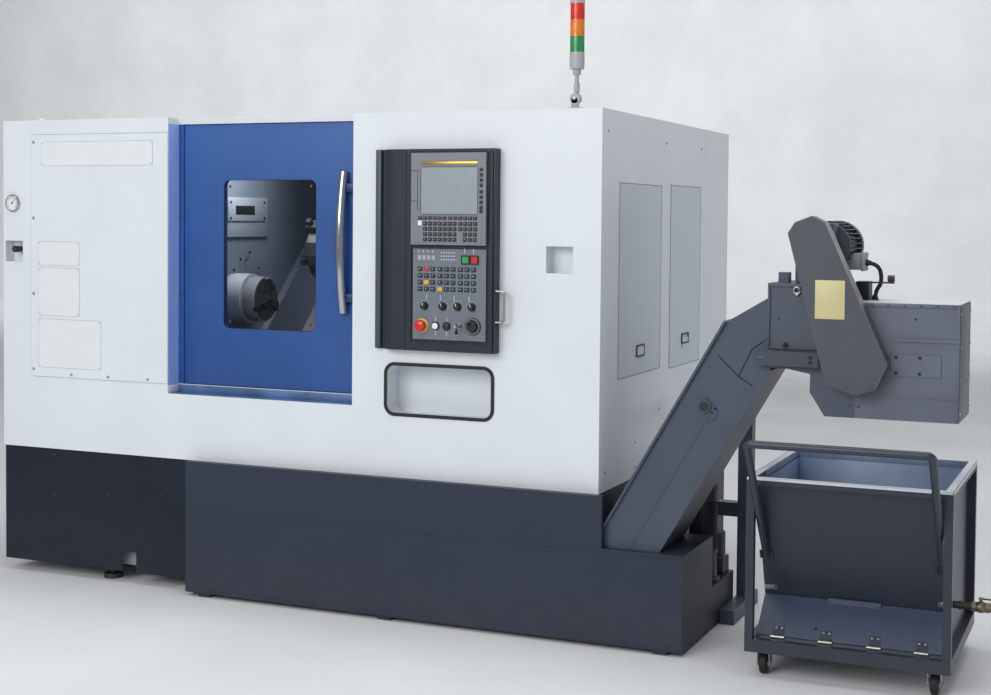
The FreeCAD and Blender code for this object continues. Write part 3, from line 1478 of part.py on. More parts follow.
def drive_guard():
    y = (conveyor_front - guard_depth, conveyor_front)
    cover = prism_xz(guard_outline, y)
    hollow = prism_xz(inset(guard_outline, guard_wall), (y[0] + guard_wall, y[1] - guard_wall))
    shaft_hole = many_sided(point(drive_x, y[1] - guard_wall - 1, drive_z), AXIS_Y,
                            drive_shaft_radius + guard_hole_gap, guard_wall + 2, 12)
    return cover.cut(hollow).cut(shaft_hole)


def conveyor_shaft():
    start = conveyor_front - drive_shaft_front
    shaft = rod(point(drive_x, start, drive_z), AXIS_Y, drive_shaft_radius,
                conveyor_back + drive_shaft_rear - start)
    pieces = [shaft]
    for y in (conveyor_front + sprocket_inset, conveyor_back - sprocket_inset - sprocket_width):
        pieces.append(many_sided(point(drive_x, y, drive_z), AXIS_Y, sprocket_radius, sprocket_width, 8))
    pieces.append(many_sided(point(drive_x, start, drive_z), AXIS_Y, pulley_radius, pulley_width, 16))
    return join(*pieces)


def conveyor_motor():
    gearbox = block((gearbox_left, head_step_x), (conveyor_front, motor_start), (head_high_top, gearbox_top))
    corners = []
    for index in range(motor_fins * 2):
        angle = math.pi * index / motor_fins
        radius = motor_radius if index % 2 == 0 else motor_radius * fin_root
        across, up = radius * math.cos(angle), radius * math.sin(angle)
        corners.append(point(motor_x + across, motor_start, motor_z + up))
    barrel = prism(corners, point(0, motor_length, 0))
    fan_cover = many_sided(point(motor_x, motor_start + motor_length, motor_z), AXIS_Y,
                           motor_radius + fan_cover_lip, fan_cover_length, 20)
    return join(gearbox, barrel, fan_cover, block(terminal_x, terminal_y, terminal_z))


def motor_cable():
    route = [point(x, cable_y, z) for x, z in cable_route]
    edges = []
    last = route[0]
    for index in range(1, len(route) - 1):
        before = route[index - 1] - route[index]
        after = route[index + 1] - route[index]
        half_turn = (math.pi - before.getAngle(after)) / 2.0
        reach = 0.45 * min(before.Length, after.Length)
        before.normalize()
        after.normalize()
        arc_start = route[index] + before * reach
        arc_end = route[index] + after * reach
        bisector = before + after
        bisector.normalize()
        radius = reach / math.tan(half_turn)
        centre = route[index] + bisector * (radius / math.cos(half_turn))
        middle = centre - bisector * radius
        edges.append(Part.makeLine(last, arc_start))
        edges.append(Part.Arc(arc_start, middle, arc_end).toShape())
        last = arc_end
    edges.append(Part.makeLine(last, route[-1]))
    path = Part.Wire(edges)
    direction = route[1] - route[0]
    direction.normalize()
    section = polygon_section(route[0], AXIS_Y, direction.cross(AXIS_Y), cable_radius, 6)
    return swept(section, path)


def conveyor_stand():
    x = (tank_right + stand_gap, tank_right + stand_gap + stand_tube)
    y = (stand_y, stand_y + stand_tube)
    foot = block(x, (stand_foot_front, stand_y + 2.5 * stand_tube), (0, stand_tube))
    post = block(x, y, (stand_tube, stand_arm_top))
    arm = block(x, (conveyor_back, stand_y), (stand_arm_top - stand_tube, stand_arm_top))
    brace = block((-bed_right, x[0]), y, (brace_bottom, brace_bottom + stand_tube))
    return join(foot, post, arm, brace)


# ---------------------------------------------------------------- chip cart
def cart_profile():
    """The tub from the side: top front, top back, bottom back, bottom front, flap toe, knee."""
    top = cart_rim_top - cart_rim_height
    return [(cart_top_y, top), (cart_tub_back, top), (cart_tub_back, cart_floor),
            (cart_toe_y - cart_toe_step, cart_floor), (cart_toe_y, cart_toe_z), (cart_knee_y, cart_knee_z)]


def cart_caster(x, y):
    half = caster_width / 2.0 + caster_gap
    plate_half = caster_plate / 2.0
    plate_z = cart_beam_bottom - caster_plate_thickness
    top_plate = block((x - plate_half, x + plate_half), (y - plate_half, y + plate_half),
                      (plate_z, cart_beam_bottom))
    deep = caster_fork_half
    fork = block((x - half - caster_gap, x + half + caster_gap), (y - deep, y + deep),
                 (caster_radius - deep, plate_z))
    room = block((x - half, x + half), (y - deep - 1, y + deep + 1),
                 (caster_radius - deep - 1, caster_radius * 2.0 + 1.0))
    return join(top_plate, fork.cut(room))


def caster_places():
    for x in (cart_left + caster_inset_x, cart_right - caster_inset_x):
        for y in (-cart_front + caster_inset_y, cart_back - caster_inset_y):
            yield x, y


def cart_handle():
    """The push bar and its two slanting arms, one bent tube."""
    x = (cart_left + cart_handle_inset, cart_right - cart_handle_inset)
    profile = cart_profile()
    top_y, top_z = profile[0]
    foot_z = cart_handle_foot
    foot_y = top_y + (cart_knee_y - top_y) * (top_z - foot_z) / (top_z - cart_knee_z)
    foot = [point(value, foot_y, foot_z) for value in x]
    corner = [point(value, cart_handle_y, cart_handle_z) for value in x]
    along = corner[0] - foot[0]
    along.normalize()
    bend = cart_handle_bend
    middle = bend * (1.0 - math.sqrt(0.5))
    edges = []
    arm_end = corner[0] - along * bend
    bar_start = corner[0] + AXIS_X * bend
    edges.append(Part.makeLine(foot[0], arm_end))
    edges.append(Part.Arc(arm_end, corner[0] - along * middle + AXIS_X * middle, bar_start).toShape())
    bar_end = corner[1] - AXIS_X * bend
    arm_start = corner[1] - along * bend
    edges.append(Part.makeLine(bar_start, bar_end))
    edges.append(Part.Arc(bar_end, corner[1] - along * middle - AXIS_X * middle, arm_start).toShape())
    edges.append(Part.makeLine(arm_start, foot[1]))
    section = polygon_section(foot[0], AXIS_X, along.cross(AXIS_X), cart_handle_radius, 8)
    bar = swept(section, Part.Wire(edges))
    behind_front = prism_yz([profile[0], profile[1], (profile[1][0], cart_knee_z), profile[5]],
                            (cart_left, cart_right))
    return bar.cut(behind_front)


def cart_frame():
    """The frame's rim bars, corner posts and bottom beams."""
    x = (cart_left, cart_right)
    y = (-cart_front, cart_back)
    bars = []
    for width, z in ((cart_rim, (cart_rim_top - cart_rim_height, cart_rim_top)),
                     (cart_post, (cart_beam_bottom, cart_beam_bottom + cart_beam_height))):
        bars.append(block(x, (y[0], y[0] + width), z))
        bars.append(block(x, (y[1] - width, y[1]), z))
        bars.append(block((x[0], x[0] + width), (y[0] + width, y[1] - width), z))
        bars.append(block((x[1] - width, x[1]), (y[0] + width, y[1] - width), z))
    post_z = (cart_beam_bottom + cart_beam_height, cart_rim_top - cart_rim_height)
    for px in (x[0], x[1] - cart_post):
        for py in (y[0], y[1] - cart_post):
            bars.append(block((px, px + cart_post), (py, py + cart_post), post_z))
    return bars


def cart_tub():
    """The tub's flat sheets, with the opening that the flap closes."""
    profile = cart_profile()
    knee = profile[5]
    back = profile[1][0]
    outer_x = (cart_left + cart_post, cart_right - cart_post)
    inner_x = (outer_x[0] + cart_sheet, outer_x[1] - cart_sheet)
    upper_side = [profile[0], profile[1], (back, knee[1]), knee]
    lower_side = [knee, (back, knee[1]), profile[2], profile[3], profile[4]]
    sheets = []
    for x in ((outer_x[0], inner_x[0]), (inner_x[1], outer_x[1])):
        sheets += [prism_yz(upper_side, x), prism_yz(lower_side, x)]
    walls = [prism_yz(outline, inner_x) for outline in mitred_sheets(profile, cart_sheet)]
    flap_wall = walls[4]
    sheets += [walls[1], walls[2], walls[3], walls[5]]
    low = front_strip(-cart_hatch_lap, cart_hatch_lap, inner_x)
    high = front_strip(flap_run()[1] - cart_hatch_lap, flap_run()[1] + cart_hatch_lap, inner_x)
    strip_end = flap_run()[1] - cart_hatch_lap
    near = front_strip(cart_hatch_lap, strip_end, (inner_x[0], inner_x[0] + cart_hatch_lap))
    far = front_strip(cart_hatch_lap, strip_end, (inner_x[1] - cart_hatch_lap, inner_x[1]))
    sheets += [flap_wall.common(strip) for strip in (low, high, near, far)]
    return sheets


def cart_body():
    return group(cart_frame() + cart_tub())


def drain_valve():
    """The drain pipe out of the tub's side, with its valve, spout and lever."""
    y = (drain_y - drain_half, drain_y + drain_half)
    wall = cart_right - cart_post
    body_x = (cart_right + drain_pipe, cart_right + drain_pipe + drain_body_length)
    pipe = many_sided(point(wall, drain_y, drain_z), AXIS_X, drain_radius, body_x[0] + 2.0 - wall, 10)
    valve = block(body_x, y, (drain_z - drain_half, drain_z + drain_half))
    spout = many_sided(point(body_x[1], drain_y, drain_z), AXIS_X, drain_radius + 2.0, drain_spout, 10)
    stem_x = body_x[0] + drain_stem_place
    lever_y = (drain_y - drain_stem_half, drain_y + drain_stem_half)
    stem_z = drain_z + drain_half
    lever_z = stem_z + drain_stem_height
    stem = block((stem_x, stem_x + 2 * drain_stem_half), lever_y, (stem_z, lever_z))
    lever = block((stem_x, cart_right + drain_reach), lever_y, (lever_z, lever_z + drain_lever_thickness))
    return join(pipe, valve, spout, stem, lever)


def flap_run():
    """The flap's run from its hinge line up the slanted front: a unit vector and its length."""
    run = (cart_knee_y - cart_toe_y, cart_knee_z - cart_toe_z)
    length = math.hypot(*run)
    return (run[0] / length, run[1] / length), length


def front_place(run, rise):
    """Y and Z of a place on the slanted front, rise out from it."""
    (uy, uz), length = flap_run()
    return cart_toe_y + uy * run - uz * rise, cart_toe_z + uz * run + uy * rise


def front_strip(start, end, x):
    """A slab through the slanted front, from one run to another."""
    deep = 4 * cart_sheet
    return prism_yz([front_place(start, -deep), front_place(end, -deep), front_place(end, deep),
                     front_place(start, deep)], x)


def cart_flap():
    length = flap_run()[1]
    x = (cart_left + cart_post + flap_gap, cart_right - cart_post - flap_gap)
    low = 2 * flap_gap
    high = length - flap_gap
    sheet_outline = [front_place(low, 0.0), front_place(high, 0.0), front_place(high, cart_sheet),
                     front_place(low, cart_sheet)]
    flap = prism_yz(sheet_outline, x)
    grip_top = cart_sheet + flap_grip_proud
    grip = prism_yz([front_place(high - flap_grip_depth, cart_sheet), front_place(high, cart_sheet),
                     front_place(high, grip_top), front_place(high - cart_sheet, grip_top)],
                    (x[0] + flap_grip_inset, x[1] - flap_grip_inset))
    return join(flap, grip)


def cart_casters():
    """The four casters: fork and wheel."""
    pieces = [cart_caster(x, y) for x, y in caster_places()]
    for x, y in caster_places():
        tread = many_sided(point(x - caster_width / 2.0, y, caster_radius), AXIS_X, caster_radius,
                           caster_width, 20, math.pi / 20)
        hub = many_sided(point(x - caster_width / 2.0 - caster_gap, y, caster_radius), AXIS_X,
                         caster_hub_radius, caster_width + 2.0 * caster_gap, 8)
        pieces.append(join(tread, hub))
    return group(pieces)


parts = {
    "machine_bed": machine_bed(),
    "guide_rails": guide_rails(),
    "levelling_feet": levelling_feet(),
    "headstock": headstock(),
    "spindle_shaft": spindle_shaft(),
    "chuck_body": chuck_body(),
    "chuck_jaw_1": chuck_jaw(0),
    "chuck_jaw_2": chuck_jaw(1),
    "chuck_jaw_3": chuck_jaw(2),
    "saddle": saddle(),
    "cross_slide": cross_slide(),
    "turret_disc": turret_disc(),
    "cabin_liner": cabin_liner(),
    "left_cover": left_cover(),
    "pressure_gauge": pressure_gauge(),
    "air_valve_box": air_valve_box(),
    "air_valve_lever": air_valve_lever(),
    "right_cover": right_cover(),
    "pocket_edging": pocket_edging(),
    "service_panels": service_panels(),
    "roof_panel": roof_panel(),
    "base_skirt": base_skirt(),
    "electrical_cabinet": electrical_cabinet(),
    "cabinet_door": cabinet_door(),
    "door_frame": door_frame(),
    "front_door": front_door(),
    "door_glass": door_glass(),
    "door_handle": door_handle(),
    "pendant_column": pendant_column(),
    "pendant_case": pendant_case(),
    "display_unit": display_unit(),
    "keypad_panel": keypad_panel(),
    "pendant_handle": pendant_handle(),
    "emergency_stop": emergency_stop(),
    "selector_knob_1": selector_knob(0),
    "selector_knob_2": selector_knob(1),
    "selector_knob_3": selector_knob(2),
    "selector_knob_4": selector_knob(3),
    "start_button": push_button(start_place),
    "halt_button": push_button(halt_place),
    "key_switch": key_switch(),
    "handwheel": handwheel(),
    "tower_foot": tower_foot(),
    "signal_tower": signal_tower(),
    "tower_lenses": tower_lenses(),
    "coolant_tank": coolant_tank(),
    "coolant_pumps": coolant_pumps(),
    "conveyor_body": conveyor_body(),
    "conveyor_head": conveyor_head(),
    "conveyor_switch": conveyor_switch(),
    "drive_guard": drive_guard(),
    "conveyor_shaft": conveyor_shaft(),
    "conveyor_motor": conveyor_motor(),
    "motor_cable": motor_cable(),
    "conveyor_stand": conveyor_stand(),
    "cart_body": cart_body(),
    "cart_handle": cart_handle(),
    "drain_valve": drain_valve(),
    "cart_flap": cart_flap(),
    "cart_casters": cart_casters(),
}

os.makedirs("parts", exist_ok=True)
for name, shape in parts.items():
    shape.translate(frame_shift)
    shape.exportStep("parts/" + name + ".step")
    print(name, len(shape.Solids), round(shape.Volume / 1000.0, 1), "cm3")
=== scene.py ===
import math

import bmesh
import bpy
from mathutils import Matrix, Vector


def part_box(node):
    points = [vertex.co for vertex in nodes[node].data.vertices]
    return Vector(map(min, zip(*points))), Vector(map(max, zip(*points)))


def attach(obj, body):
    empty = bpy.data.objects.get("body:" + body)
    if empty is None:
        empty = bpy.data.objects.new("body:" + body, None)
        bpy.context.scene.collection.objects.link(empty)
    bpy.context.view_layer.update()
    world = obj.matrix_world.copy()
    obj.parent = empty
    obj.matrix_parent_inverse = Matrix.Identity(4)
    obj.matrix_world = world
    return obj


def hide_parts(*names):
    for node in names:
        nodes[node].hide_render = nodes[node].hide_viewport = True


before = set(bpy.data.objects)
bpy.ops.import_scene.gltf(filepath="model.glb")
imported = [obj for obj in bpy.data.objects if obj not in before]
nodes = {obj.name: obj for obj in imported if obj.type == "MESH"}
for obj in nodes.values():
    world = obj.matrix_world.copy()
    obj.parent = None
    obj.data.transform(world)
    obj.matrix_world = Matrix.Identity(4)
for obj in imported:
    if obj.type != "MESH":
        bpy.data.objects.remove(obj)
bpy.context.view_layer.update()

print("frame loaded:", len(nodes), "CAD nodes")

axisX, axisY, axisZ = Vector((1, 0, 0)), Vector((0, 1, 0)), Vector((0, 0, 1))

# the enclosure's front right corner on the floor: what has no node of its own is placed from here
corner = Vector((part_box("right_cover")[1].x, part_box("right_cover")[0].y, 0))
toRow = Matrix.Translation(corner) @ Matrix.Diagonal((0.001, 0.001, 0.001, 1))


def boxOf(node):
    # a CAD node's lowest and highest corners, in millimetres from that corner
    return tuple((edge - corner) * 1000 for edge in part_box(node))


# mesh helpers
def meshOf(bm, moved=True):
    # the drawn piece as a mesh with its normals outward, moved from millimetres to the row frame
    bmesh.ops.remove_doubles(bm, verts=bm.verts, dist=0.001)
    bmesh.ops.recalc_face_normals(bm, faces=bm.faces)
    mesh = bpy.data.meshes.new("piece")
    bm.to_mesh(mesh)
    bm.free()
    if moved:
        mesh.transform(toRow)
    return mesh


def placePiece(name, mesh, body, materials, smoothAngle=35):
    obj = bpy.data.objects.new(name, mesh)
    bpy.context.scene.collection.objects.link(obj)
    for material in materials:
        mesh.materials.append(material)
    mesh.shade_smooth()
    mesh.set_sharp_from_angle(angle=math.radians(smoothAngle))
    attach(obj, body)
    return obj


def piece(name, bm, body, materials, slotName=None, smoothAngle=35, standsFor=()):
    if not isinstance(materials, (list, tuple)):
        materials = [materials]
    obj = placePiece(name, meshOf(bm), body, materials, smoothAngle)
    if standsFor:
        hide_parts(*standsFor)
    return obj


def addBox(bm, low, high, bevel=0.0, materialIndex=0, segments=2):
    low, high = Vector(low), Vector(high)
    made = bmesh.ops.create_cube(bm, size=1.0)["verts"]
    size = high - low
    for vertex in made:
        vertex.co = Vector((low.x + (vertex.co.x + 0.5) * size.x, low.y + (vertex.co.y + 0.5) * size.y,
                            low.z + (vertex.co.z + 0.5) * size.z))
    faces = {face for vertex in made for face in vertex.link_faces}
    for face in faces:
        face.material_index = materialIndex
    if bevel > 0:
        edges = {edge for vertex in made for edge in vertex.link_edges}
        bmesh.ops.bevel(bm, geom=list(edges), offset=bevel, segments=segments, profile=0.5, affect="EDGES",
                        clamp_overlap=True, material=-1)


def axisFrame(axis):
    # two directions square to axis
    axis = Vector(axis).normalized()
    side = axisZ if abs(axis.z) < 0.9 else axisX
    first = side.cross(axis).normalized()
    return axis, first, axis.cross(first)


def addLathe(bm, start, axis, profile, sides=32, materialIndex=0, closed=True):
    # Turns (distance along the axis, radius) pairs round the axis. A radius of 0 closes an end.
    axis, first, second = axisFrame(axis)
    rings = []
    for along, radius in profile:
        centre = Vector(start) + axis * along
        if radius < 1e-7:
            rings.append([bm.verts.new(centre)])
            continue
        ring = []
        for index in range(sides):
            angle = 2 * math.pi * index / sides
            spoke = first * (radius * math.cos(angle)) + second * (radius * math.sin(angle))
            ring.append(bm.verts.new(centre + spoke))
        rings.append(ring)
    pairs = list(zip(rings, rings[1:]))
    for lower, upper in pairs:
        for index in range(sides):
            after = (index + 1) % sides
            corners = [lower[index % len(lower)], lower[after % len(lower)],
                       upper[after % len(upper)], upper[index % len(upper)]]
            unique = []
            for vertex in corners:
                if vertex not in unique:
                    unique.append(vertex)
            if len(unique) > 2:
                bm.faces.new(unique).material_index = materialIndex
    if closed:
        for ring in (rings[0], rings[-1]):
            if len(ring) > 2:
                bm.faces.new(ring).material_index = materialIndex


def roundedOutline(low, high, radius, steps=6):
    # corners of a rounded rectangle in a plane, anticlockwise
    points = []
    centres = [(high[0] - radius, high[1] - radius, 0), (low[0] + radius, high[1] - radius, 90),
               (low[0] + radius, low[1] + radius, 180), (high[0] - radius, low[1] + radius, 270)]
    for a, b, start in centres:
        for step in range(steps + 1):
            angle = math.radians(start + 90 * step / steps)
            points.append((a + radius * math.cos(angle), b + radius * math.sin(angle)))
    return points


def arc(centre, radius, start, end, steps):
    # points of an arc in a plane, from one angle in degrees to another
    turns = [math.radians(start + (end - start) * step / steps) for step in range(steps + 1)]
    return [(centre[0] + radius * math.cos(turn), centre[1] + radius * math.sin(turn)) for turn in turns]


planes = {"xz": lambda a, b, depth: (a, depth, b), "yz": lambda a, b, depth: (depth, a, b),
          "xy": lambda a, b, depth: (a, b, depth)}


def addPrism(bm, outline, span, materialIndex=0, plane="xz"):
    # a closed outline in one of the main planes, between two depths
    front = [bm.verts.new(planes[plane](a, b, span[0])) for a, b in outline]
    back = [bm.verts.new(planes[plane](a, b, span[1])) for a, b in outline]
    count = len(outline)
    for index in range(count):
        after = (index + 1) % count
        bm.faces.new([front[index], front[after], back[after], back[index]]).material_index = materialIndex
    bm.faces.new(front).material_index = materialIndex
    bm.faces.new(list(reversed(back))).material_index = materialIndex


def addRing(bm, outer, inner, span, materialIndex=0, plane="xz"):
    # a flat ring between two matching outlines
    count = len(outer)
    loops = [[bm.verts.new(planes[plane](a, b, depth)) for a, b in line] for depth in span
             for line in (outer, inner)]
    frontOuter, frontInner, backOuter, backInner = loops
    for index in range(count):
        after = (index + 1) % count
        quads = [(frontOuter, frontInner), (frontInner, backInner), (backInner, backOuter),
                 (backOuter, frontOuter)]
        for one, two in quads:
            bm.faces.new([one[index], one[after], two[after], two[index]]).material_index = materialIndex


def addTube(bm, path, radius, sides=16, materialIndex=0):
    # a round bar along a path of points, with flat ends; the section keeps its turn along the way
    path = [Vector(point) for point in path]
    side = None
    rings = []
    for index, here in enumerate(path):
        before, after = path[max(0, index - 1)], path[min(len(path) - 1, index + 1)]
        along = (after - before).normalized()
        if side is None:
            side = axisFrame(along)[1]
        side = (side - along * side.dot(along)).normalized()
        other = along.cross(side)
        stretch = 1.0
        if 0 < index < len(path) - 1:
            stretch = 1 / max(0.5, math.cos((here - before).angle(after - here) / 2))
        ring = []
        for step in range(sides):
            angle = 2 * math.pi * step / sides
            spoke = (side * math.cos(angle) + other * math.sin(angle)) * radius * stretch
            ring.append(bm.verts.new(here + spoke))
        rings.append(ring)
    for lower, upper in zip(rings, rings[1:]):
        for step in range(sides):
            after = (step + 1) % sides
            quad = [lower[step], lower[after], upper[after], upper[step]]
            bm.faces.new(quad).material_index = materialIndex
    for ring in (rings[0], rings[-1]):
        bm.faces.new(ring).material_index = materialIndex


def roundedPath(points, radius, steps=6):
    # a polyline whose corners are arcs of the given bend radius
    path = [Vector(points[0])]
    for before, here, after in zip(points, points[1:], points[2:]):
        here = Vector(here)
        backward = (Vector(before) - here).normalized()
        forward = (Vector(after) - here).normalized()
        half = backward.angle(forward) / 2
        reach = min(radius / math.tan(half), 0.49 * (Vector(before) - here).length,
                    0.49 * (Vector(after) - here).length)
        bend = reach * math.tan(half)
        centre = here + (backward + forward).normalized() * (bend / math.sin(half))
        start, end = here + backward * reach - centre, here + forward * reach - centre
        sweep = start.angle(end)
        for step in range(steps + 1):
            share = step / steps
            weight = math.sin(sweep)
            arm = start * (math.sin((1 - share) * sweep) / weight) + end * (math.sin(share * sweep) / weight)
            path.append(centre + arm)
    path.append(Vector(points[-1]))
    return path


# shader groups
def newGroup(name, inputs, outputs):
    group = bpy.data.node_groups.new(name, "ShaderNodeTree")
    for label, kind, value in inputs:
        socket = group.interface.new_socket(name=label, in_out="INPUT", socket_type=kind)
        if value is not None:
            socket.default_value = value
    for label, kind in outputs:
        group.interface.new_socket(name=label, in_out="OUTPUT", socket_type=kind)
    return group, group.nodes.new("NodeGroupInput"), group.nodes.new("NodeGroupOutput")


def addNode(tree, kind, **settings):
    node = tree.nodes.new(kind)
    for key, value in settings.items():
        setattr(node, key, value)
    return node


def mixColor(tree, factor, first, second, blend="MIX"):
    # a colour mix whose factor, first and second may each be a value or a socket
    node = addNode(tree, "ShaderNodeMix", data_type="RGBA", blend_type=blend)
    for socket, value in ((node.inputs[0], factor), (node.inputs[6], first), (node.inputs[7], second)):
        if hasattr(value, "is_linked"):
            tree.links.new(value, socket)
        else:
            socket.default_value = value
    return node.outputs[2]


def mathNode(tree, operation, first, second=0.0, clamp=False):
    node = addNode(tree, "ShaderNodeMath", operation=operation, use_clamp=clamp)
    for socket, value in zip(node.inputs, (first, second)):
        if hasattr(value, "is_linked"):
            tree.links.new(value, socket)
        else:
            socket.default_value = value
    return node.outputs[0]


def noise(tree, vector, scale, detail=3.0, roughness=0.55):
    node = addNode(tree, "ShaderNodeTexNoise")
    node.inputs["Detail"].default_value = detail
    node.inputs["Roughness"].default_value = roughness
    tree.links.new(vector, node.inputs["Vector"])
    if hasattr(scale, "is_linked"):
        tree.links.new(scale, node.inputs["Scale"])
    else:
        node.inputs["Scale"].default_value = scale
    return node.outputs[0]


def rampValue(tree, value, low, high):
    node = addNode(tree, "ShaderNodeMapRange", interpolation_type="SMOOTHSTEP")
    tree.links.new(value, node.inputs[0])
    for socket, bound in ((node.inputs[1], low), (node.inputs[2], high)):
        if hasattr(bound, "is_linked"):
            tree.links.new(bound, socket)
        else:
            socket.default_value = bound
    return node.outputs[0]


def blotchGroup():
    # soft uneven tone and a fine skin, as on sprayed enamel
    group, given, out = newGroup("unevenTone",
                                 [("Vector", "NodeSocketVector", None), ("Scale", "NodeSocketFloat", 3.0),
                                  ("Grain", "NodeSocketFloat", 900.0)],
                                 [("Tone", "NodeSocketFloat"), ("Skin", "NodeSocketFloat")])
    broad = noise(group, given.outputs["Vector"], given.outputs["Scale"], 4.0, 0.6)
    fine = noise(group, given.outputs["Vector"], given.outputs["Grain"], 2.0, 0.5)
    group.links.new(rampValue(group, broad, 0.3, 0.7), out.inputs["Tone"])
    group.links.new(fine, out.inputs["Skin"])
    return group


def scuffGroup():
    # thin scratches in two directions, in scattered patches
    group, given, out = newGroup("scuffs",
                                 [("Vector", "NodeSocketVector", None), ("Scale", "NodeSocketFloat", 6.0),
                                  ("Cover", "NodeSocketFloat", 0.5)], [("Mask", "NodeSocketFloat")])
    lines = []
    for turn, stretch in ((0.35, (1, 1, 22)), (1.25, (18, 1, 1))):
        mapping = addNode(group, "ShaderNodeMapping")
        mapping.inputs["Rotation"].default_value = (turn, turn * 0.7, turn * 0.4)
        mapping.inputs["Scale"].default_value = stretch
        group.links.new(given.outputs["Vector"], mapping.inputs["Vector"])
        streaks = noise(group, mapping.outputs[0], given.outputs["Scale"], 5.0, 0.75)
        lines.append(rampValue(group, streaks, 0.66, 0.72))
    patches = noise(group, given.outputs["Vector"], 5.0, 2.0)
    threshold = mathNode(group, "SUBTRACT", 0.95, mathNode(group, "MULTIPLY", given.outputs["Cover"], 0.6))
    masked = mathNode(group, "MULTIPLY", mathNode(group, "MAXIMUM", lines[0], lines[1]),
                      rampValue(group, patches, mathNode(group, "SUBTRACT", threshold, 0.12), threshold))
    group.links.new(masked, out.inputs["Mask"])
    return group


def dustGroup():
    # settled dust that thins out upwards from the floor
    group, given, out = newGroup("floorDust",
                                 [("Vector", "NodeSocketVector", None), ("Height", "NodeSocketFloat", 0.5),
                                  ("Amount", "NodeSocketFloat", 0.3)], [("Mask", "NodeSocketFloat")])
    split = addNode(group, "ShaderNodeSeparateXYZ")
    group.links.new(given.outputs["Vector"], split.inputs[0])
    fall = mathNode(group, "SUBTRACT", 1.0,
                    mathNode(group, "DIVIDE", split.outputs[2], given.outputs["Height"]), True)
    grime = rampValue(group, noise(group, given.outputs["Vector"], 14.0, 5.0, 0.65), 0.35, 0.75)
    spread = mathNode(group, "MULTIPLY", mathNode(group, "ADD", mathNode(group, "MULTIPLY", grime, 0.7), 0.3),
                      fall)
    group.links.new(mathNode(group, "MULTIPLY", spread, given.outputs["Amount"]), out.inputs["Mask"])
    return group


toneTree = blotchGroup()
scuffTree = scuffGroup()
dustTree = dustGroup()


def placeGroup(tree, group, vector, **values):
    node = addNode(tree, "ShaderNodeGroup")
    node.node_tree = group
    tree.links.new(vector, node.inputs["Vector"])
    for label, value in values.items():
        node.inputs[label].default_value = value
    return node


def linear(rgb):
    # sRGB 0 to 255 to a linear colour
    values = []
    for channel in rgb:
        share = channel / 255
        values.append(share / 12.92 if share <= 0.04045 else ((share + 0.055) / 1.055) ** 2.4)
    return (*values, 1.0)


def newMaterial(name):
    material = bpy.data.materials.new(name)
    material.use_nodes = True
    tree = material.node_tree
    shader = tree.nodes["Principled BSDF"]
    coordinates = addNode(tree, "ShaderNodeTexCoord").outputs["Object"]
    return material, tree, shader, coordinates


def addBump(tree, shader, height, strength, distance):
    bump = addNode(tree, "ShaderNodeBump")
    bump.inputs["Strength"].default_value = strength
    bump.inputs["Distance"].default_value = distance
    tree.links.new(height, bump.inputs["Height"])
    tree.links.new(bump.outputs[0], shader.inputs["Normal"])


def enamel(name, colour, roughness=0.4, uneven=0.05, grain=900.0, skin=0.12, scuffs=0.0,
           scuffTone=(150, 152, 156), dust=0.0, dustHeight=0.5, coat=0.0, shine=0.5, toneScale=3.0, zones=(),
           fades=()):
    # sprayed paint on sheet steel or castings; a zone is an axis, two bounds in metres and the colour
    # between them, and a fade has an axis, where it starts and ends, and the colour it ends in
    material, tree, shader, vector = newMaterial(name)
    base = linear(colour)
    darker = (base[0] * (1 - uneven), base[1] * (1 - uneven), base[2] * (1 - uneven), 1)
    lighter = tuple(min(1.0, channel * (1 + uneven)) for channel in base[:3]) + (1,)
    tone = placeGroup(tree, toneTree, vector, Scale=toneScale, Grain=grain)
    shown = mixColor(tree, tone.outputs["Tone"], darker, lighter)
    rough = mathNode(tree, "ADD", mathNode(tree, "MULTIPLY", tone.outputs["Tone"], 0.08), roughness - 0.04)
    split = addNode(tree, "ShaderNodeSeparateXYZ")
    tree.links.new(vector, split.inputs[0])
    for axis, low, high, zoneColour in zones:
        inside = mathNode(tree, "MULTIPLY", mathNode(tree, "GREATER_THAN", split.outputs[axis], low),
                          mathNode(tree, "LESS_THAN", split.outputs[axis], high))
        shown = mixColor(tree, inside, shown, linear(zoneColour))
    for axis, low, high, fadeColour in fades:
        shown = mixColor(tree, rampValue(tree, split.outputs[axis], low, high), shown, linear(fadeColour))
    if scuffs > 0:
        marks = placeGroup(tree, scuffTree, vector, Scale=5.0, Cover=scuffs)
        shown = mixColor(tree, marks.outputs["Mask"], shown, linear(scuffTone))
        rough = mathNode(tree, "ADD", rough, mathNode(tree, "MULTIPLY", marks.outputs["Mask"], 0.12))
    if dust > 0:
        film = placeGroup(tree, dustTree, vector, Height=dustHeight, Amount=dust)
        shown = mixColor(tree, film.outputs["Mask"], shown, linear((112, 110, 106)))
        rough = mathNode(tree, "ADD", rough, mathNode(tree, "MULTIPLY", film.outputs["Mask"], 0.3))
    tree.links.new(shown, shader.inputs["Base Color"])
    tree.links.new(rough, shader.inputs["Roughness"])
    shader.inputs["Specular IOR Level"].default_value = shine
    shader.inputs["Coat Weight"].default_value = coat
    shader.inputs["Coat Roughness"].default_value = 0.15
    addBump(tree, shader, tone.outputs["Skin"], skin, 0.0004)
    return material


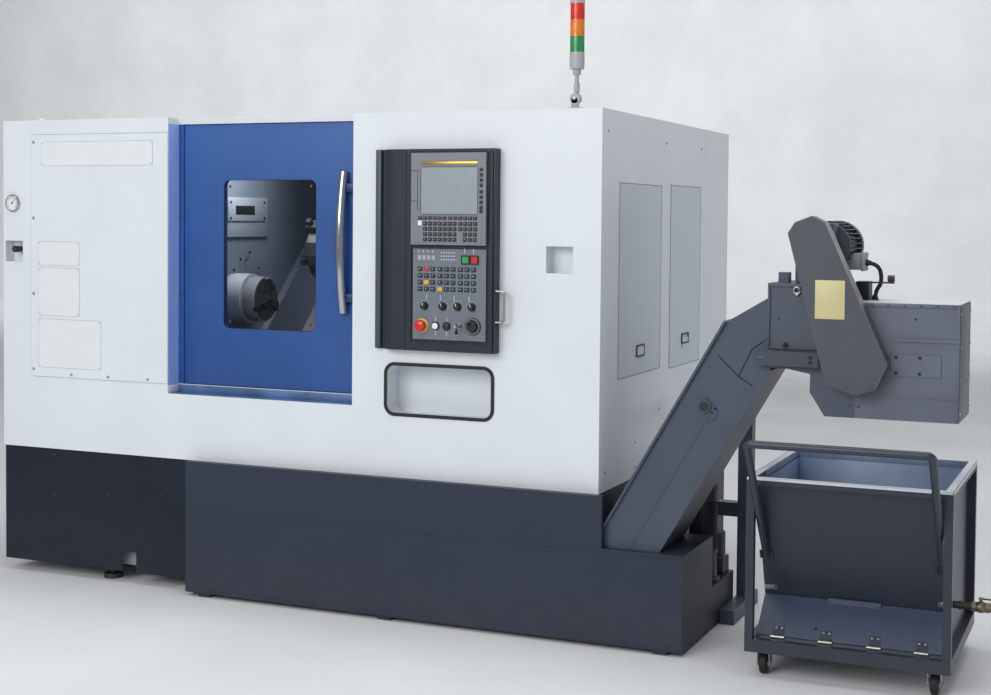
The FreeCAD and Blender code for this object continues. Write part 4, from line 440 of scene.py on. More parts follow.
def metal(name, colour, roughness=0.3, stretch=(1, 1, 1), lines=120.0, stain=0.12):
    # bare or plated metal, with its machining or polishing marks along the unstretched direction
    material, tree, shader, vector = newMaterial(name)
    mapping = addNode(tree, "ShaderNodeMapping")
    mapping.inputs["Scale"].default_value = stretch
    tree.links.new(vector, mapping.inputs["Vector"])
    streaks = noise(tree, mapping.outputs[0], lines, 4.0, 0.6)
    tone = placeGroup(tree, toneTree, vector, Scale=9.0, Grain=500.0)
    base = linear(colour)
    dull = tuple(channel * (1 - stain * 2) for channel in base[:3]) + (1,)
    shade = mixColor(tree, mathNode(tree, "MULTIPLY", tone.outputs["Tone"], streaks, True), dull, base)
    tree.links.new(shade, shader.inputs["Base Color"])
    tree.links.new(mathNode(tree, "ADD", mathNode(tree, "MULTIPLY", streaks, 0.16), roughness - 0.08),
                   shader.inputs["Roughness"])
    shader.inputs["Metallic"].default_value = 1.0
    addBump(tree, shader, streaks, 0.06, 0.0003)
    return material


def plastic(name, colour, roughness=0.45, grain=1400.0, skin=0.18, uneven=0.06, coat=0.0, sheenTone=None):
    # moulded plastic or rubber with a fine grain
    material, tree, shader, vector = newMaterial(name)
    tone = placeGroup(tree, toneTree, vector, Scale=22.0, Grain=grain)
    base = linear(colour)
    darker = tuple(channel * (1 - uneven) for channel in base[:3]) + (1,)
    tree.links.new(mixColor(tree, tone.outputs["Tone"], darker, sheenTone or base),
                   shader.inputs["Base Color"])
    tree.links.new(mathNode(tree, "ADD", mathNode(tree, "MULTIPLY", tone.outputs["Skin"], 0.12),
                            roughness - 0.06),
                   shader.inputs["Roughness"])
    shader.inputs["Coat Weight"].default_value = coat
    addBump(tree, shader, tone.outputs["Skin"], skin, 0.0003)
    return material


def windowGlass():
    material, tree, shader, vector = newMaterial("windowGlass")
    tone = placeGroup(tree, toneTree, vector, Scale=4.0, Grain=30.0)
    tree.links.new(mixColor(tree, tone.outputs["Tone"], linear((44, 50, 56)), linear((58, 64, 70))),
                   shader.inputs["Base Color"])
    tree.links.new(mathNode(tree, "ADD", mathNode(tree, "MULTIPLY", tone.outputs["Tone"], 0.04), 0.03),
                   shader.inputs["Roughness"])
    shader.inputs["Alpha"].default_value = 0.1
    shader.inputs["Specular IOR Level"].default_value = 0.5
    return material


paint = {
    "coverWhite": dict(colour=(221, 226, 232), roughness=0.42, uneven=0.02, skin=0.08),
    # painted shade: the service panels' faces on the right side are painted a darker white
    "panelWhiteShadedSide": dict(colour=(221, 226, 232), roughness=0.42, uneven=0.02, skin=0.08,
                       zones=[(0, corner.x - 0.001, 9, (200, 206, 216))]),
    "sideWhite": dict(colour=(219, 224, 230), roughness=0.45, uneven=0.025, skin=0.08),
    # painted highlight: the door's blue fades lighter towards its top
    "doorBlueLitTop": dict(colour=(30, 76, 144), roughness=0.34, uneven=0.07, skin=0.06, shine=0.6,
                     fades=[(2, 1.2, 1.76, (48, 92, 158))]),
    # painted light: the cheek at the doorway's left edge is painted a much lighter blue than the rest of the
    # frame
    "frameBlueLitCheek": dict(colour=(46, 82, 150), roughness=0.36, uneven=0.04, skin=0.06, shine=0.4,
                      zones=[(0, -9, corner.x - 1.7108, (150, 182, 238)), (2, 1.7492, 9, (214, 219, 226))]),
    "sillBlue": dict(colour=(84, 114, 160), roughness=0.4, uneven=0.3, scuffs=0.95, scuffTone=(150, 175, 205),
                     toneScale=9.0),
    # painted shade: the door's blue darkened, for the handle's brackets
    "bracketShadeBlue": dict(colour=(14, 46, 104), roughness=0.4, uneven=0.05, skin=0.06),
    # painted shade: a grey for the shadow lines in the gaps round panels and plates
    "seamShadeGrey": dict(colour=(120, 126, 134), roughness=0.5, uneven=0.05),
    "baseGrey": dict(colour=(30, 36, 49), roughness=0.42, uneven=0.06, skin=0.16, scuffs=0.06, dust=0.1,
                     dustHeight=0.3, shine=0.2),
    "tankGrey": dict(colour=(46, 53, 68), roughness=0.42, uneven=0.05, skin=0.14, scuffs=0.08, dust=0.1,
                     dustHeight=0.25, shine=0.25),
    "conveyorGrey": dict(colour=(72, 80, 96), roughness=0.44, uneven=0.08, skin=0.3, grain=420.0, scuffs=0.12,
                         shine=0.35),
    # painted light: the conveyor's grey lightened for the head; left of 832 mm from the corner and on the
    # bracket in front of -30 mm it is darker again
    "headLitGrey": dict(colour=(98, 104, 118), roughness=0.44, uneven=0.08, skin=0.3, grain=420.0, scuffs=0.14,
                     shine=0.4, zones=[(0, -9, corner.x + 0.8322, (76, 83, 97)),
                                       (1, -9, corner.y - 0.03, (62, 69, 82))]),
    "guardGrey": dict(colour=(76, 80, 88), roughness=0.46, uneven=0.08, skin=0.6, grain=260.0, scuffs=0.14,
                      shine=0.4),
    "standGrey": dict(colour=(74, 80, 92), roughness=0.42, uneven=0.08, skin=0.2, scuffs=0.2, shine=0.4),
    "cartGrey": dict(colour=(42, 48, 62), roughness=0.36, uneven=0.07, skin=0.16, scuffs=0.12, dust=0.1,
                     dustHeight=0.25, shine=0.45),
    # painted light: the cart's grey made lighter for the sloping flap
    "flapLitGrey": dict(colour=(66, 76, 98), roughness=0.36, uneven=0.07, skin=0.16, scuffs=0.16, shine=0.4),
    # painted reflection: a pale blue on the tub's inner walls for the sky they reflect, with real scuffs
    "cartInsideReflection": dict(colour=(136, 156, 188), roughness=0.34, uneven=0.16, skin=0.12, scuffs=0.3,
                       scuffTone=(176, 188, 206)),
    # pale metal for rubbed edges together with painted highlight, on the cart's rim and the conveyor head's
    # top
    "cartLipWearAndHighlight": dict(colour=(206, 211, 219), roughness=0.36, uneven=0.12, scuffs=0.6,
                    scuffTone=(226, 230, 236)),
    "bedEnamel": dict(colour=(150, 155, 160), roughness=0.5, uneven=0.06, grain=260.0, skin=0.3),
    "headEnamel": dict(colour=(226, 233, 244), roughness=0.36, uneven=0.05),
    # painted shade: right of the cabin's left wall the liner is painted darker, and it fades darker still
    # towards the back
    "liningShadedGrey": dict(colour=(136, 150, 170), roughness=0.42, uneven=0.08, scuffs=0.15,
                       zones=[(0, corner.x - 1.65, 9, (62, 70, 88))],
                       fades=[(1, corner.y + 0.55, corner.y + 0.95, (72, 82, 100))]),
    "lampGrey": dict(colour=(172, 184, 200), roughness=0.4, uneven=0.05),
    "pendantDark": dict(colour=(26, 28, 36), roughness=0.36, uneven=0.05, grain=700.0, skin=0.16, shine=0.3),
    # painted highlight: a light strip on the pendant column's lip
    "pendantHighlight": dict(colour=(70, 78, 96), roughness=0.4, uneven=0.05, grain=700.0, skin=0.16, shine=0.35),
    "pendantGrey": dict(colour=(40, 46, 57), roughness=0.42, uneven=0.06, grain=700.0, skin=0.2, shine=0.3),
    "motorBlue": dict(colour=(56, 64, 80), roughness=0.42, uneven=0.08, skin=0.2, dust=0.15, dustHeight=1.6),
    "pumpGrey": dict(colour=(72, 78, 84), roughness=0.45, uneven=0.1, dust=0.3, dustHeight=0.8),
}
finish = {name: enamel(name, **values) for name, values in paint.items()}
finish["chrome"] = metal("polishedChrome", (188, 189, 193), 0.14, (1, 1, 14), 30.0, 0.06)
finish["steel"] = metal("groundSteel", (166, 168, 172), 0.32, (1, 16, 16), 60.0)
finish["coverSteel"] = metal("wayCoverSteel", (150, 154, 160), 0.5, (1, 14, 14), 40.0, 0.1)
finish["darkSteel"] = metal("darkSteel", (92, 94, 98), 0.4, (9, 9, 1), 80.0)
finish["zinc"] = metal("zincPlate", (188, 189, 186), 0.34, (1, 1, 1), 240.0)
finish["bezelDark"] = plastic("bezelDark", (70, 73, 77), 0.42, 1200.0, 0.14)
finish["keyGrey"] = plastic("keyGrey", (24, 25, 28), 0.4)
finish["keyNavy"] = plastic("keyNavy", (34, 40, 54), 0.38, 1000.0, 0.08)
finish["gold"] = metal("goldTrim", (214, 170, 78), 0.3, (1, 9, 9), 120.0, 0.05)
finish["brightEdge"] = metal("brightEdge", (176, 178, 180), 0.4, (9, 9, 1), 60.0, 0.2)
# painted light and shade: the steel chuck as a pale enamel for the light on its sides, darker on its front
# face
finish["chuckLitShadedSteel"] = enamel("chuckLitShadedSteel", (168, 178, 188), 0.3, 0.08, 500.0, 0.1, shine=0.9,
                              zones=[(0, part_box("chuck_body")[1].x - 0.0015, 9, (72, 79, 90))])
finish["conveyorEnd"] = enamel("conveyorEnd", (84, 94, 90), 0.42, 0.06, 420.0, 0.25)
finish["cartTube"] = enamel("cartTube", (46, 52, 64), 0.3, 0.06, 900.0, 0.08, 0.2, (150, 154, 160))
finish["brass"] = metal("tinnedBrass", (138, 132, 112), 0.4, (1, 1, 1), 160.0)
finish["terminalGrey"] = plastic("terminalGrey", (150, 160, 156), 0.44, 900.0, 0.1)
finish["black"] = plastic("blackPlastic", (28, 29, 31), 0.42)
finish["darkTrim"] = plastic("darkTrim", (58, 62, 68), 0.5)
finish["softBlack"] = plastic("blackRubber", (24, 24, 26), 0.62, 800.0, 0.3, 0.12)
finish["panelGrey"] = plastic("panelGrey", (108, 116, 128), 0.46, 1200.0, 0.14)
finish["bezelGrey"] = plastic("bezelGrey", (120, 127, 135), 0.44, 1200.0, 0.16)
finish["screen"] = plastic("paleScreen", (150, 158, 166), 0.2, 60.0, 0.01, 0.05, 0.4)
finish["keyBlack"] = plastic("keyBlack", (26, 27, 30), 0.36)
finish["legend"] = plastic("legendWhite", (216, 220, 222), 0.5)
finish["red"] = plastic("signalRed", (206, 34, 32), 0.3, 1400.0, 0.06, 0.05, 0.3)
finish["green"] = plastic("signalGreen", (38, 158, 84), 0.32, 1400.0, 0.06, 0.05, 0.3)
finish["yellow"] = plastic("signalYellow", (226, 176, 50), 0.38, 1400.0, 0.08)
finish["white"] = plastic("buttonWhite", (236, 238, 240), 0.32, 1400.0, 0.06)
finish["lensRed"] = plastic("lensRed", (222, 44, 34), 0.22, 300.0, 0.03, 0.12, 0.5)
finish["lensAmber"] = plastic("lensAmber", (232, 128, 36), 0.22, 300.0, 0.03, 0.12, 0.5)
finish["lensGreen"] = plastic("lensGreen", (36, 146, 82), 0.22, 300.0, 0.03, 0.12, 0.5)
finish["towerGrey"] = plastic("towerGrey", (168, 172, 176), 0.42, 900.0, 0.12)
finish["dialWhite"] = plastic("dialWhite", (232, 234, 234), 0.4, 900.0, 0.04)
finish["plate"] = plastic("blankPlate", (226, 230, 234), 0.4, 600.0, 0.05, 0.03)
finish["plateYellow"] = plastic("plainPlate", (206, 198, 146), 0.4, 600.0, 0.05, 0.05)
finish["glass"] = windowGlass()
print("materials made:", len(finish))

nodeFinish = {
    "machine_bed": "bedEnamel", "guide_rails": "steel", "levelling_feet": "darkSteel",
    "headstock": "headEnamel", "spindle_shaft": "steel", "chuck_body": "chuckLitShadedSteel",
    "chuck_jaw_1": "darkSteel", "chuck_jaw_2": "darkSteel", "chuck_jaw_3": "darkSteel",
    "saddle": "coverSteel", "cross_slide": "bedEnamel", "turret_disc": "darkSteel",
    "cabin_liner": "liningShadedGrey", "left_cover": "coverWhite", "service_panels": "panelWhiteShadedSide",
    "air_valve_box": "plate", "right_cover": "coverWhite", "pocket_edging": "softBlack",
    "roof_panel": "sideWhite", "base_skirt": "baseGrey", "electrical_cabinet": "sideWhite",
    "cabinet_door": "sideWhite", "door_frame": "frameBlueLitCheek", "front_door": "doorBlueLitTop", "door_glass": "glass",
    "pendant_column": "pendantGrey", "pendant_case": "pendantGrey", "display_unit": "bezelGrey",
    "keypad_panel": "panelGrey", "tower_foot": "towerGrey", "coolant_tank": "tankGrey",
    "coolant_pumps": "pumpGrey", "conveyor_body": "conveyorGrey", "conveyor_head": "headLitGrey",
    "conveyor_switch": "black", "drive_guard": "guardGrey", "conveyor_shaft": "steel",
    "conveyor_stand": "standGrey", "cart_body": "cartGrey", "cart_flap": "flapLitGrey", "start_button": "green",
    "halt_button": "red",
}
for nodeName, finishName in nodeFinish.items():
    node = nodes[nodeName]
    node.data.materials.clear()
    node.data.materials.append(finish[finishName])
print("CAD nodes painted:", len(nodeFinish))


# repeated pieces, by geometry nodes
def startTree(name, inputs):
    tree = bpy.data.node_groups.new(name, "GeometryNodeTree")
    tree.interface.new_socket(name="Geometry", in_out="INPUT", socket_type="NodeSocketGeometry")
    tree.interface.new_socket(name="Geometry", in_out="OUTPUT", socket_type="NodeSocketGeometry")
    shared = [("Piece", "NodeSocketObject"), ("Material", "NodeSocketMaterial")]
    for label, kind in shared + inputs:
        tree.interface.new_socket(name=label, in_out="INPUT", socket_type=kind)
    return tree, tree.nodes.new("NodeGroupInput"), tree.nodes.new("NodeGroupOutput")


def endTree(tree, given, out, points, rotation=None, scale=None):
    # sets the Piece on every point, makes the copies real and paints them
    info = tree.nodes.new("GeometryNodeObjectInfo")
    copies = tree.nodes.new("GeometryNodeInstanceOnPoints")
    real = tree.nodes.new("GeometryNodeRealizeInstances")
    paintNode = tree.nodes.new("GeometryNodeSetMaterial")
    tree.links.new(given.outputs["Piece"], info.inputs["Object"])
    tree.links.new(points, copies.inputs["Points"])
    tree.links.new(info.outputs["Geometry"], copies.inputs["Instance"])
    if rotation:
        tree.links.new(rotation, copies.inputs["Rotation"])
    if scale:
        tree.links.new(scale, copies.inputs["Scale"])
    tree.links.new(copies.outputs["Instances"], real.inputs["Geometry"])
    tree.links.new(real.outputs["Geometry"], paintNode.inputs["Geometry"])
    tree.links.new(given.outputs["Material"], paintNode.inputs["Material"])
    tree.links.new(paintNode.outputs["Geometry"], out.inputs["Geometry"])
    return tree


def vectorOf(tree, x, y, z):
    node = addNode(tree, "ShaderNodeCombineXYZ")
    for socket, value in zip(node.inputs, (x, y, z)):
        if hasattr(value, "is_linked"):
            tree.links.new(value, socket)
        else:
            socket.default_value = value
    return node.outputs[0]


def countedPoints(tree, count):
    node = tree.nodes.new("GeometryNodePoints")
    tree.links.new(count, node.inputs["Count"])
    return node


def rowTree():
    # copies along a straight row
    tree, given, out = startTree("rowOfCopies", [("Count", "NodeSocketInt"), ("Step", "NodeSocketVector")])
    points = countedPoints(tree, given.outputs["Count"])
    index = tree.nodes.new("GeometryNodeInputIndex").outputs[0]
    scaled = addNode(tree, "ShaderNodeVectorMath", operation="SCALE")
    tree.links.new(given.outputs["Step"], scaled.inputs[0])
    tree.links.new(index, scaled.inputs["Scale"])
    tree.links.new(scaled.outputs[0], points.inputs["Position"])
    return endTree(tree, given, out, points.outputs[0])


def ringTree():
    # copies turned about an axis through the origin; the piece is drawn out at its own radius
    inputs = [("Count", "NodeSocketInt"), ("Axis", "NodeSocketVector"), ("Start", "NodeSocketFloat"),
              ("Step", "NodeSocketFloat")]
    tree, given, out = startTree("ringOfCopies", inputs)
    points = countedPoints(tree, given.outputs["Count"])
    index = tree.nodes.new("GeometryNodeInputIndex").outputs[0]
    angle = mathNode(tree, "ADD", mathNode(tree, "MULTIPLY", index, given.outputs["Step"]),
                     given.outputs["Start"])
    turn = tree.nodes.new("FunctionNodeAxisAngleToRotation")
    tree.links.new(given.outputs["Axis"], turn.inputs["Axis"])
    tree.links.new(angle, turn.inputs["Angle"])
    return endTree(tree, given, out, points.outputs[0], turn.outputs[0])


def gridTree():
    # rows of keys on an upright panel, with a wider gap after every group of columns
    inputs = [("Columns", "NodeSocketInt"), ("Rows", "NodeSocketInt"), ("Pitch", "NodeSocketVector"),
              ("Group", "NodeSocketInt"), ("Gap", "NodeSocketFloat")]
    tree, given, out = startTree("gridOfKeys", inputs)
    count = mathNode(tree, "MULTIPLY", given.outputs["Columns"], given.outputs["Rows"])
    points = countedPoints(tree, count)
    index = tree.nodes.new("GeometryNodeInputIndex").outputs[0]
    pitch = addNode(tree, "ShaderNodeSeparateXYZ")
    tree.links.new(given.outputs["Pitch"], pitch.inputs[0])
    column = mathNode(tree, "MODULO", index, given.outputs["Columns"])
    row = mathNode(tree, "FLOOR", mathNode(tree, "DIVIDE", index, given.outputs["Columns"]))
    wide = mathNode(tree, "FLOOR", mathNode(tree, "DIVIDE", column, given.outputs["Group"]))
    across = mathNode(tree, "ADD", mathNode(tree, "MULTIPLY", column, pitch.outputs[0]),
                      mathNode(tree, "MULTIPLY", wide, given.outputs["Gap"]))
    down = mathNode(tree, "MULTIPLY", row, pitch.outputs[2])
    tree.links.new(vectorOf(tree, across, 0.0, down), points.inputs["Position"])
    return endTree(tree, given, out, points.outputs[0])


def scatterTree():
    # copies on the vertices of a mesh, each given its own turn about the axis it faces along
    inputs = [("Facing", "NodeSocketVector"), ("Turn Spread", "NodeSocketFloat"), ("Seed", "NodeSocketInt"),
              ("Size", "NodeSocketFloat")]
    tree, given, out = startTree("copiesOnPoints", inputs)
    spread = addNode(tree, "FunctionNodeRandomValue", data_type="FLOAT")
    tree.links.new(given.outputs["Turn Spread"], spread.inputs[3])
    tree.links.new(given.outputs["Seed"], spread.inputs["Seed"])
    spin = tree.nodes.new("FunctionNodeAxisAngleToRotation")
    spin.inputs["Axis"].default_value = (0, 0, 1)
    tree.links.new(spread.outputs[1], spin.inputs["Angle"])
    aim = addNode(tree, "FunctionNodeAlignRotationToVector", axis="Z")
    tree.links.new(given.outputs["Facing"], aim.inputs["Vector"])
    turned = addNode(tree, "FunctionNodeRotateRotation", rotation_space="LOCAL")
    tree.links.new(aim.outputs[0], turned.inputs[0])
    tree.links.new(spin.outputs[0], turned.inputs[1])
    return endTree(tree, given, out, given.outputs["Geometry"], turned.outputs[0], given.outputs["Size"])


copyTrees = {"row": rowTree(), "ring": ringTree(), "grid": gridTree(), "scatter": scatterTree()}


def growCopies(name, kind, piece, material, body, places=None, centre=(0, 0, 0), slotName=None,
               smoothAngle=35, **inputs):
    # runs one of the copy trees on a drawn piece and leaves the outcome as an object riding on the body
    pieceObject = bpy.data.objects.new("piece", meshOf(piece, moved=False))
    carrierMesh = bpy.data.meshes.new("places")
    carrierMesh.from_pydata([Vector(place) for place in places or []], [], [])
    carrier = bpy.data.objects.new("places", carrierMesh)
    for each in (pieceObject, carrier):
        bpy.context.scene.collection.objects.link(each)
    modifier = carrier.modifiers.new("copies", "NODES")
    tree = copyTrees[kind]
    modifier.node_group = tree
    values = dict(inputs, Piece=pieceObject, Material=material)
    for item in tree.interface.items_tree:
        if item.in_out == "INPUT" and item.name in values:
            modifier[item.identifier] = values[item.name]
    depsgraph = bpy.context.evaluated_depsgraph_get()
    depsgraph.update()
    grown = bpy.data.meshes.new_from_object(carrier.evaluated_get(depsgraph))
    carrier.modifiers.remove(modifier)
    for each in (pieceObject, carrier):
        bpy.data.objects.remove(each)
    grown.transform(toRow @ Matrix.Translation(Vector(centre)))
    grown.materials.clear()
    return placePiece(name, grown, body, [material], smoothAngle)


print("copy trees made:", len(copyTrees))


# pieces used again and again
def screwHead(radius=5.0, height=3.0, sides=14):
    # a socket cap screw facing +Z, its socket sunk in the crown
    bm = bmesh.new()
    socket = radius * 0.5
    addLathe(bm, (0, 0, 0), axisZ,
             [(0, radius), (height * 0.75, radius), (height, radius * 0.82), (height, socket),
              (height * 0.4, socket), (height * 0.4, 0)], sides, closed=False)
    bmesh.ops.contextual_create(bm, geom=[edge for edge in bm.edges if edge.is_boundary])
    return bm


def keyCap(width, height, rise, taper=0.14, radius=1.2):
    # a key facing -Y: a low block with its four sides drawn in towards the top
    bm = bmesh.new()
    top = (width / 2 - width * taper, height / 2 - height * taper)
    rings = []
    for half, depth in (((width / 2, height / 2), 0.0), ((width / 2, height / 2), -rise * 0.4), (top, -rise)):
        outline = roundedOutline((-half[0], -half[1]), half, min(radius, half[0] * 0.5, half[1] * 0.5), 2)
        rings.append([bm.verts.new((a, depth, b)) for a, b in outline])
    for lower, upper in zip(rings, rings[1:]):
        for index in range(len(lower)):
            after = (index + 1) % len(lower)
            bm.faces.new([lower[index], lower[after], upper[after], upper[index]])
    bm.faces.new(rings[0])
    bm.faces.new(list(reversed(rings[-1])))
    return bm


def bar(low, high, bevel=0.0):
    bm = bmesh.new()
    addBox(bm, low, high, bevel)
    return bm


def screws(name, places, facing, body, material="zinc", radius=5.0, height=3.0, slotName=None):
    growCopies(name, "scatter", screwHead(radius, height), finish[material], body, places, slotName=slotName,
               Facing=Vector(facing), **{"Turn Spread": 6.28, "Seed": 7, "Size": 1.0})


def between(low, high, count):
    return [low + (high - low) * index / (count - 1) for index in range(count)]


# left cover
cover = dict(panelX=(-2351, -1714), panelZ=(776, 1715), panelProud=2, screwRadius=5.5, screwHeight=2.6,
             screwInset=12, cornerInset=28, sideScrews=4, bottomScrewX=(-2157, -1983, -1801), seamWidth=1.5,
             seamDepth=0.8)
panelLow = Vector((cover["panelX"][0], -cover["panelProud"], cover["panelZ"][0]))
panelHigh = Vector((cover["panelX"][1], 0, cover["panelZ"][1]))
inset, corners = cover["screwInset"], cover["cornerInset"]
panelPlaces = [(panelLow.x + inset, panelLow.y, z)
               for z in between(panelLow.z + corners, panelHigh.z - corners, cover["sideScrews"])]
panelPlaces += [(x, panelLow.y, panelLow.z + inset) for x in cover["bottomScrewX"]]
screws("accessPanelScrews", panelPlaces, (0, -1, 0), "machine", "zinc", cover["screwRadius"],
       cover["screwHeight"])

# plain riveted plates with a thin grey edge of painted shadow round each, each as x and z bounds
plates = dict(thickness=0.8, corner=4, edgeWidth=1, edgeDepth=0.3, margin=6.0, rivetRadius=2.4,
              rivetHeight=0.9,
              places={"namePlate": (-2302, -1781, 1595, 1686), "upperSheet": (-2315, -2120, 1210, 1301),
                      "middleSheet": (-2315, -2119, 1015, 1199), "lowerSheet": (-2316, -2018, 813, 1000)})
face = panelLow.y
plateFace = face - plates["thickness"]
for plateName, (x0, x1, z0, z1) in plates["places"].items():
    outline = roundedOutline((x0, z0), (x1, z1), plates["corner"])
    bm = bmesh.new()
    addPrism(bm, outline, (plateFace, face))
    piece(plateName, bm, "machine", finish["plate"], "cover_white")
    bm = bmesh.new()
    edge = plates["edgeWidth"]
    addRing(bm, roundedOutline((x0 - edge, z0 - edge), (x1 + edge, z1 + edge), plates["corner"] + edge),
            outline, (face - plates["edgeDepth"], face))
    piece(plateName + "Edge", bm, "machine", finish["seamShadeGrey"], "cover_white")
    margin = plates["margin"]
    rivets = [(x, plateFace, z) for x in (x0 + margin, x1 - margin) for z in (z0 + margin, z1 - margin)]
    screws(plateName + "Rivets", rivets, (0, -1, 0), "machine", "zinc", plates["rivetRadius"],
           plates["rivetHeight"])

# the gap round the access panel as a grey strip: painted shade
bm = bmesh.new()
seam = cover["seamWidth"]
addRing(bm, [(panelLow.x - seam, panelLow.z - seam), (panelHigh.x, panelLow.z - seam),
             (panelHigh.x, panelHigh.z + seam), (panelLow.x - seam, panelHigh.z + seam)],
        [(panelLow.x, panelLow.z), (panelHigh.x - seam, panelLow.z), (panelHigh.x - seam, panelHigh.z),
         (panelLow.x, panelHigh.z)], (-cover["seamDepth"], 0))
piece("accessPanelSeam", bm, "machine", finish["seamShadeGrey"], "cover_white")

gauge = dict(bezel=34.0, glass=28.5, stem=30, recess=4, ticks=26, tickInner=20, tickOuter=25.5, sweep=270.0,
             needleAngle=35.0, needleLength=22, needleTail=7, needleHalf=1.6)
low, high = boxOf("pressure_gauge")
centre = Vector(((low.x + high.x) / 2, 0, (low.z + high.z) / 2))
front = -low.y
dialDepth = front - gauge["recess"]
bm = bmesh.new()
addLathe(bm, centre + Vector((0, high.y, 0)), -axisY, [(0, 0), (0, gauge["stem"]), (high.y, gauge["stem"])],
         40, closed=False)
addLathe(bm, centre, -axisY,
         [(0, gauge["bezel"] - 0.5), (front - 3, gauge["bezel"]), (front, gauge["bezel"] - 3),
          (front, gauge["glass"] + 1), (dialDepth, gauge["glass"]), (dialDepth, 0)], 48,
         closed=False)
piece("gaugeBezel", bm, "machine", finish["chrome"], "trim_black", standsFor=["pressure_gauge"])
bm = bmesh.new()
face = centre + Vector((0, -dialDepth, 0))
dial = gauge["glass"] - 0.2
addLathe(bm, face, -axisY, [(0, 0), (0, dial), (0.6, dial), (0.6, 0)], 48, closed=False)
piece("gaugeDial", bm, "machine", finish["dialWhite"], "trim_black")
growCopies("gaugeTicks", "ring", bar((-0.5, -0.4, gauge["tickInner"]), (0.5, 0, gauge["tickOuter"])),
           finish["black"], "machine", centre=face + Vector((0, -0.6, 0)), Count=gauge["ticks"] + 1,
           Axis=(0, 1, 0), Start=math.radians(-gauge["sweep"] / 2),
           Step=math.radians(gauge["sweep"] / gauge["ticks"]))
bm = bmesh.new()
angle = math.radians(gauge["needleAngle"])
tip = Vector((math.sin(angle), 0, math.cos(angle)))
side = Vector((tip.z, 0, -tip.x)) * gauge["needleHalf"]
needle = [face + tip * gauge["needleLength"], face + side - tip * 2, face - tip * gauge["needleTail"],
          face - side - tip * 2]
addPrism(bm, [(point.x, point.z) for point in needle], (face.y - 1.6, face.y - 0.9))
addLathe(bm, face, -axisY, [(0.6, 3.2), (2.0, 3.0), (2.2, 0)], 20)
piece("gaugeNeedle", bm, "machine", finish["black"], "trim_black")

# the air valve's lever: two ends of different radius, and a cap with a socket
valve = dict(pivotInset=14, pivotRadius=13.0, tipRadius=8.5, capRadius=8.0, capHole=3.5, bevel=1.2, steps=12)
low, high = boxOf("air_valve_lever")
pivot = Vector((low.x + valve["pivotInset"], low.y, (low.z + high.z) / 2))
outline = arc((pivot.x, pivot.z), valve["pivotRadius"], 90, 270, valve["steps"])
outline += arc((high.x - valve["tipRadius"], pivot.z), valve["tipRadius"], -90, 90, valve["steps"])
bm = bmesh.new()
addPrism(bm, outline, (low.y, high.y))
bmesh.ops.bevel(bm, geom=list(bm.edges), offset=valve["bevel"], segments=2, affect="EDGES",
                clamp_overlap=True)
cap, hole = valve["capRadius"], valve["capHole"]
addLathe(bm, pivot, -axisY, [(-1, cap), (2.0, cap), (3.0, cap - 1.5), (3.0, hole), (1.5, hole), (1.5, 0)], 24,
         1)
piece("airValveHandle", bm, "air_valve_lever", [finish["black"], finish["darkTrim"]], "trim_black",
      standsFor=["air_valve_lever"])
print("left cover dressed")

# doorway, door and window
door = dict(handleRadius=16.0, handleBow=28, handleSteps=24, postInset=14, postRadius=8,
            bracketZ=(1116, 1511), bracketHalf=15, bracketReach=48, glassLap=10, gasketWidth=1.8,
            paneCorner=26, studInset=24, studRadius=5.5, frameFace=66.0, frameScrews=4, screwRadius=4.2)
frameLow, frameHigh = boxOf("door_frame")
frameFace = door["frameFace"]
lipX = boxOf("front_door")[0].x + 2
lipScrews = [(lipX, frameFace, z) for z in between(frameLow.z + 70, frameHigh.z - 70, door["frameScrews"])]
screws("frameScrews", lipScrews, (0, -1, 0), "machine", "darkSteel", door["screwRadius"], 2.0)
low, high = boxOf("door_handle")
radius = door["handleRadius"]
bottom, top = low.z + radius + 2, high.z - radius - 2
middle = (low.z + high.z) / 2
barX = (low.x + high.x) / 2
nearY = low.y + radius
path = []
for step in range(door["handleSteps"] + 1):
    share = -1 + 2 * step / door["handleSteps"]
    path.append((barX, nearY + door["handleBow"] * share * share, middle + (top - middle) * share))
bm = bmesh.new()
addTube(bm, path, radius, 24)
for end in (path[0], path[-1]):
    addLathe(bm, end, axisZ if end[2] > middle else -axisZ, [(0, radius), (2.0, radius - 1), (3, 0)], 24,
             closed=False)
postEnd = high.y - nearY - 20
for z in (bottom + door["postInset"], top - door["postInset"]):
    addLathe(bm, (barX, nearY + 20, z), axisY, [(0, door["postRadius"]), (postEnd - 4, door["postRadius"]),
                                                (postEnd - 4, 14), (postEnd, 15)], 24)
piece("doorHandle", bm, "front_door", finish["chrome"], "handle_chrome", standsFor=["door_handle"])
# the handle's brackets in the door's blue darkened: painted shade
bm = bmesh.new()
for z in door["bracketZ"]:
    addBox(bm, (barX - 2, nearY + 16, z - door["bracketHalf"]),
           (barX + door["bracketReach"], high.y, z + door["bracketHalf"]), 2)
piece("handleBrackets", bm, "front_door", finish["bracketShadeBlue"], "door_blue")

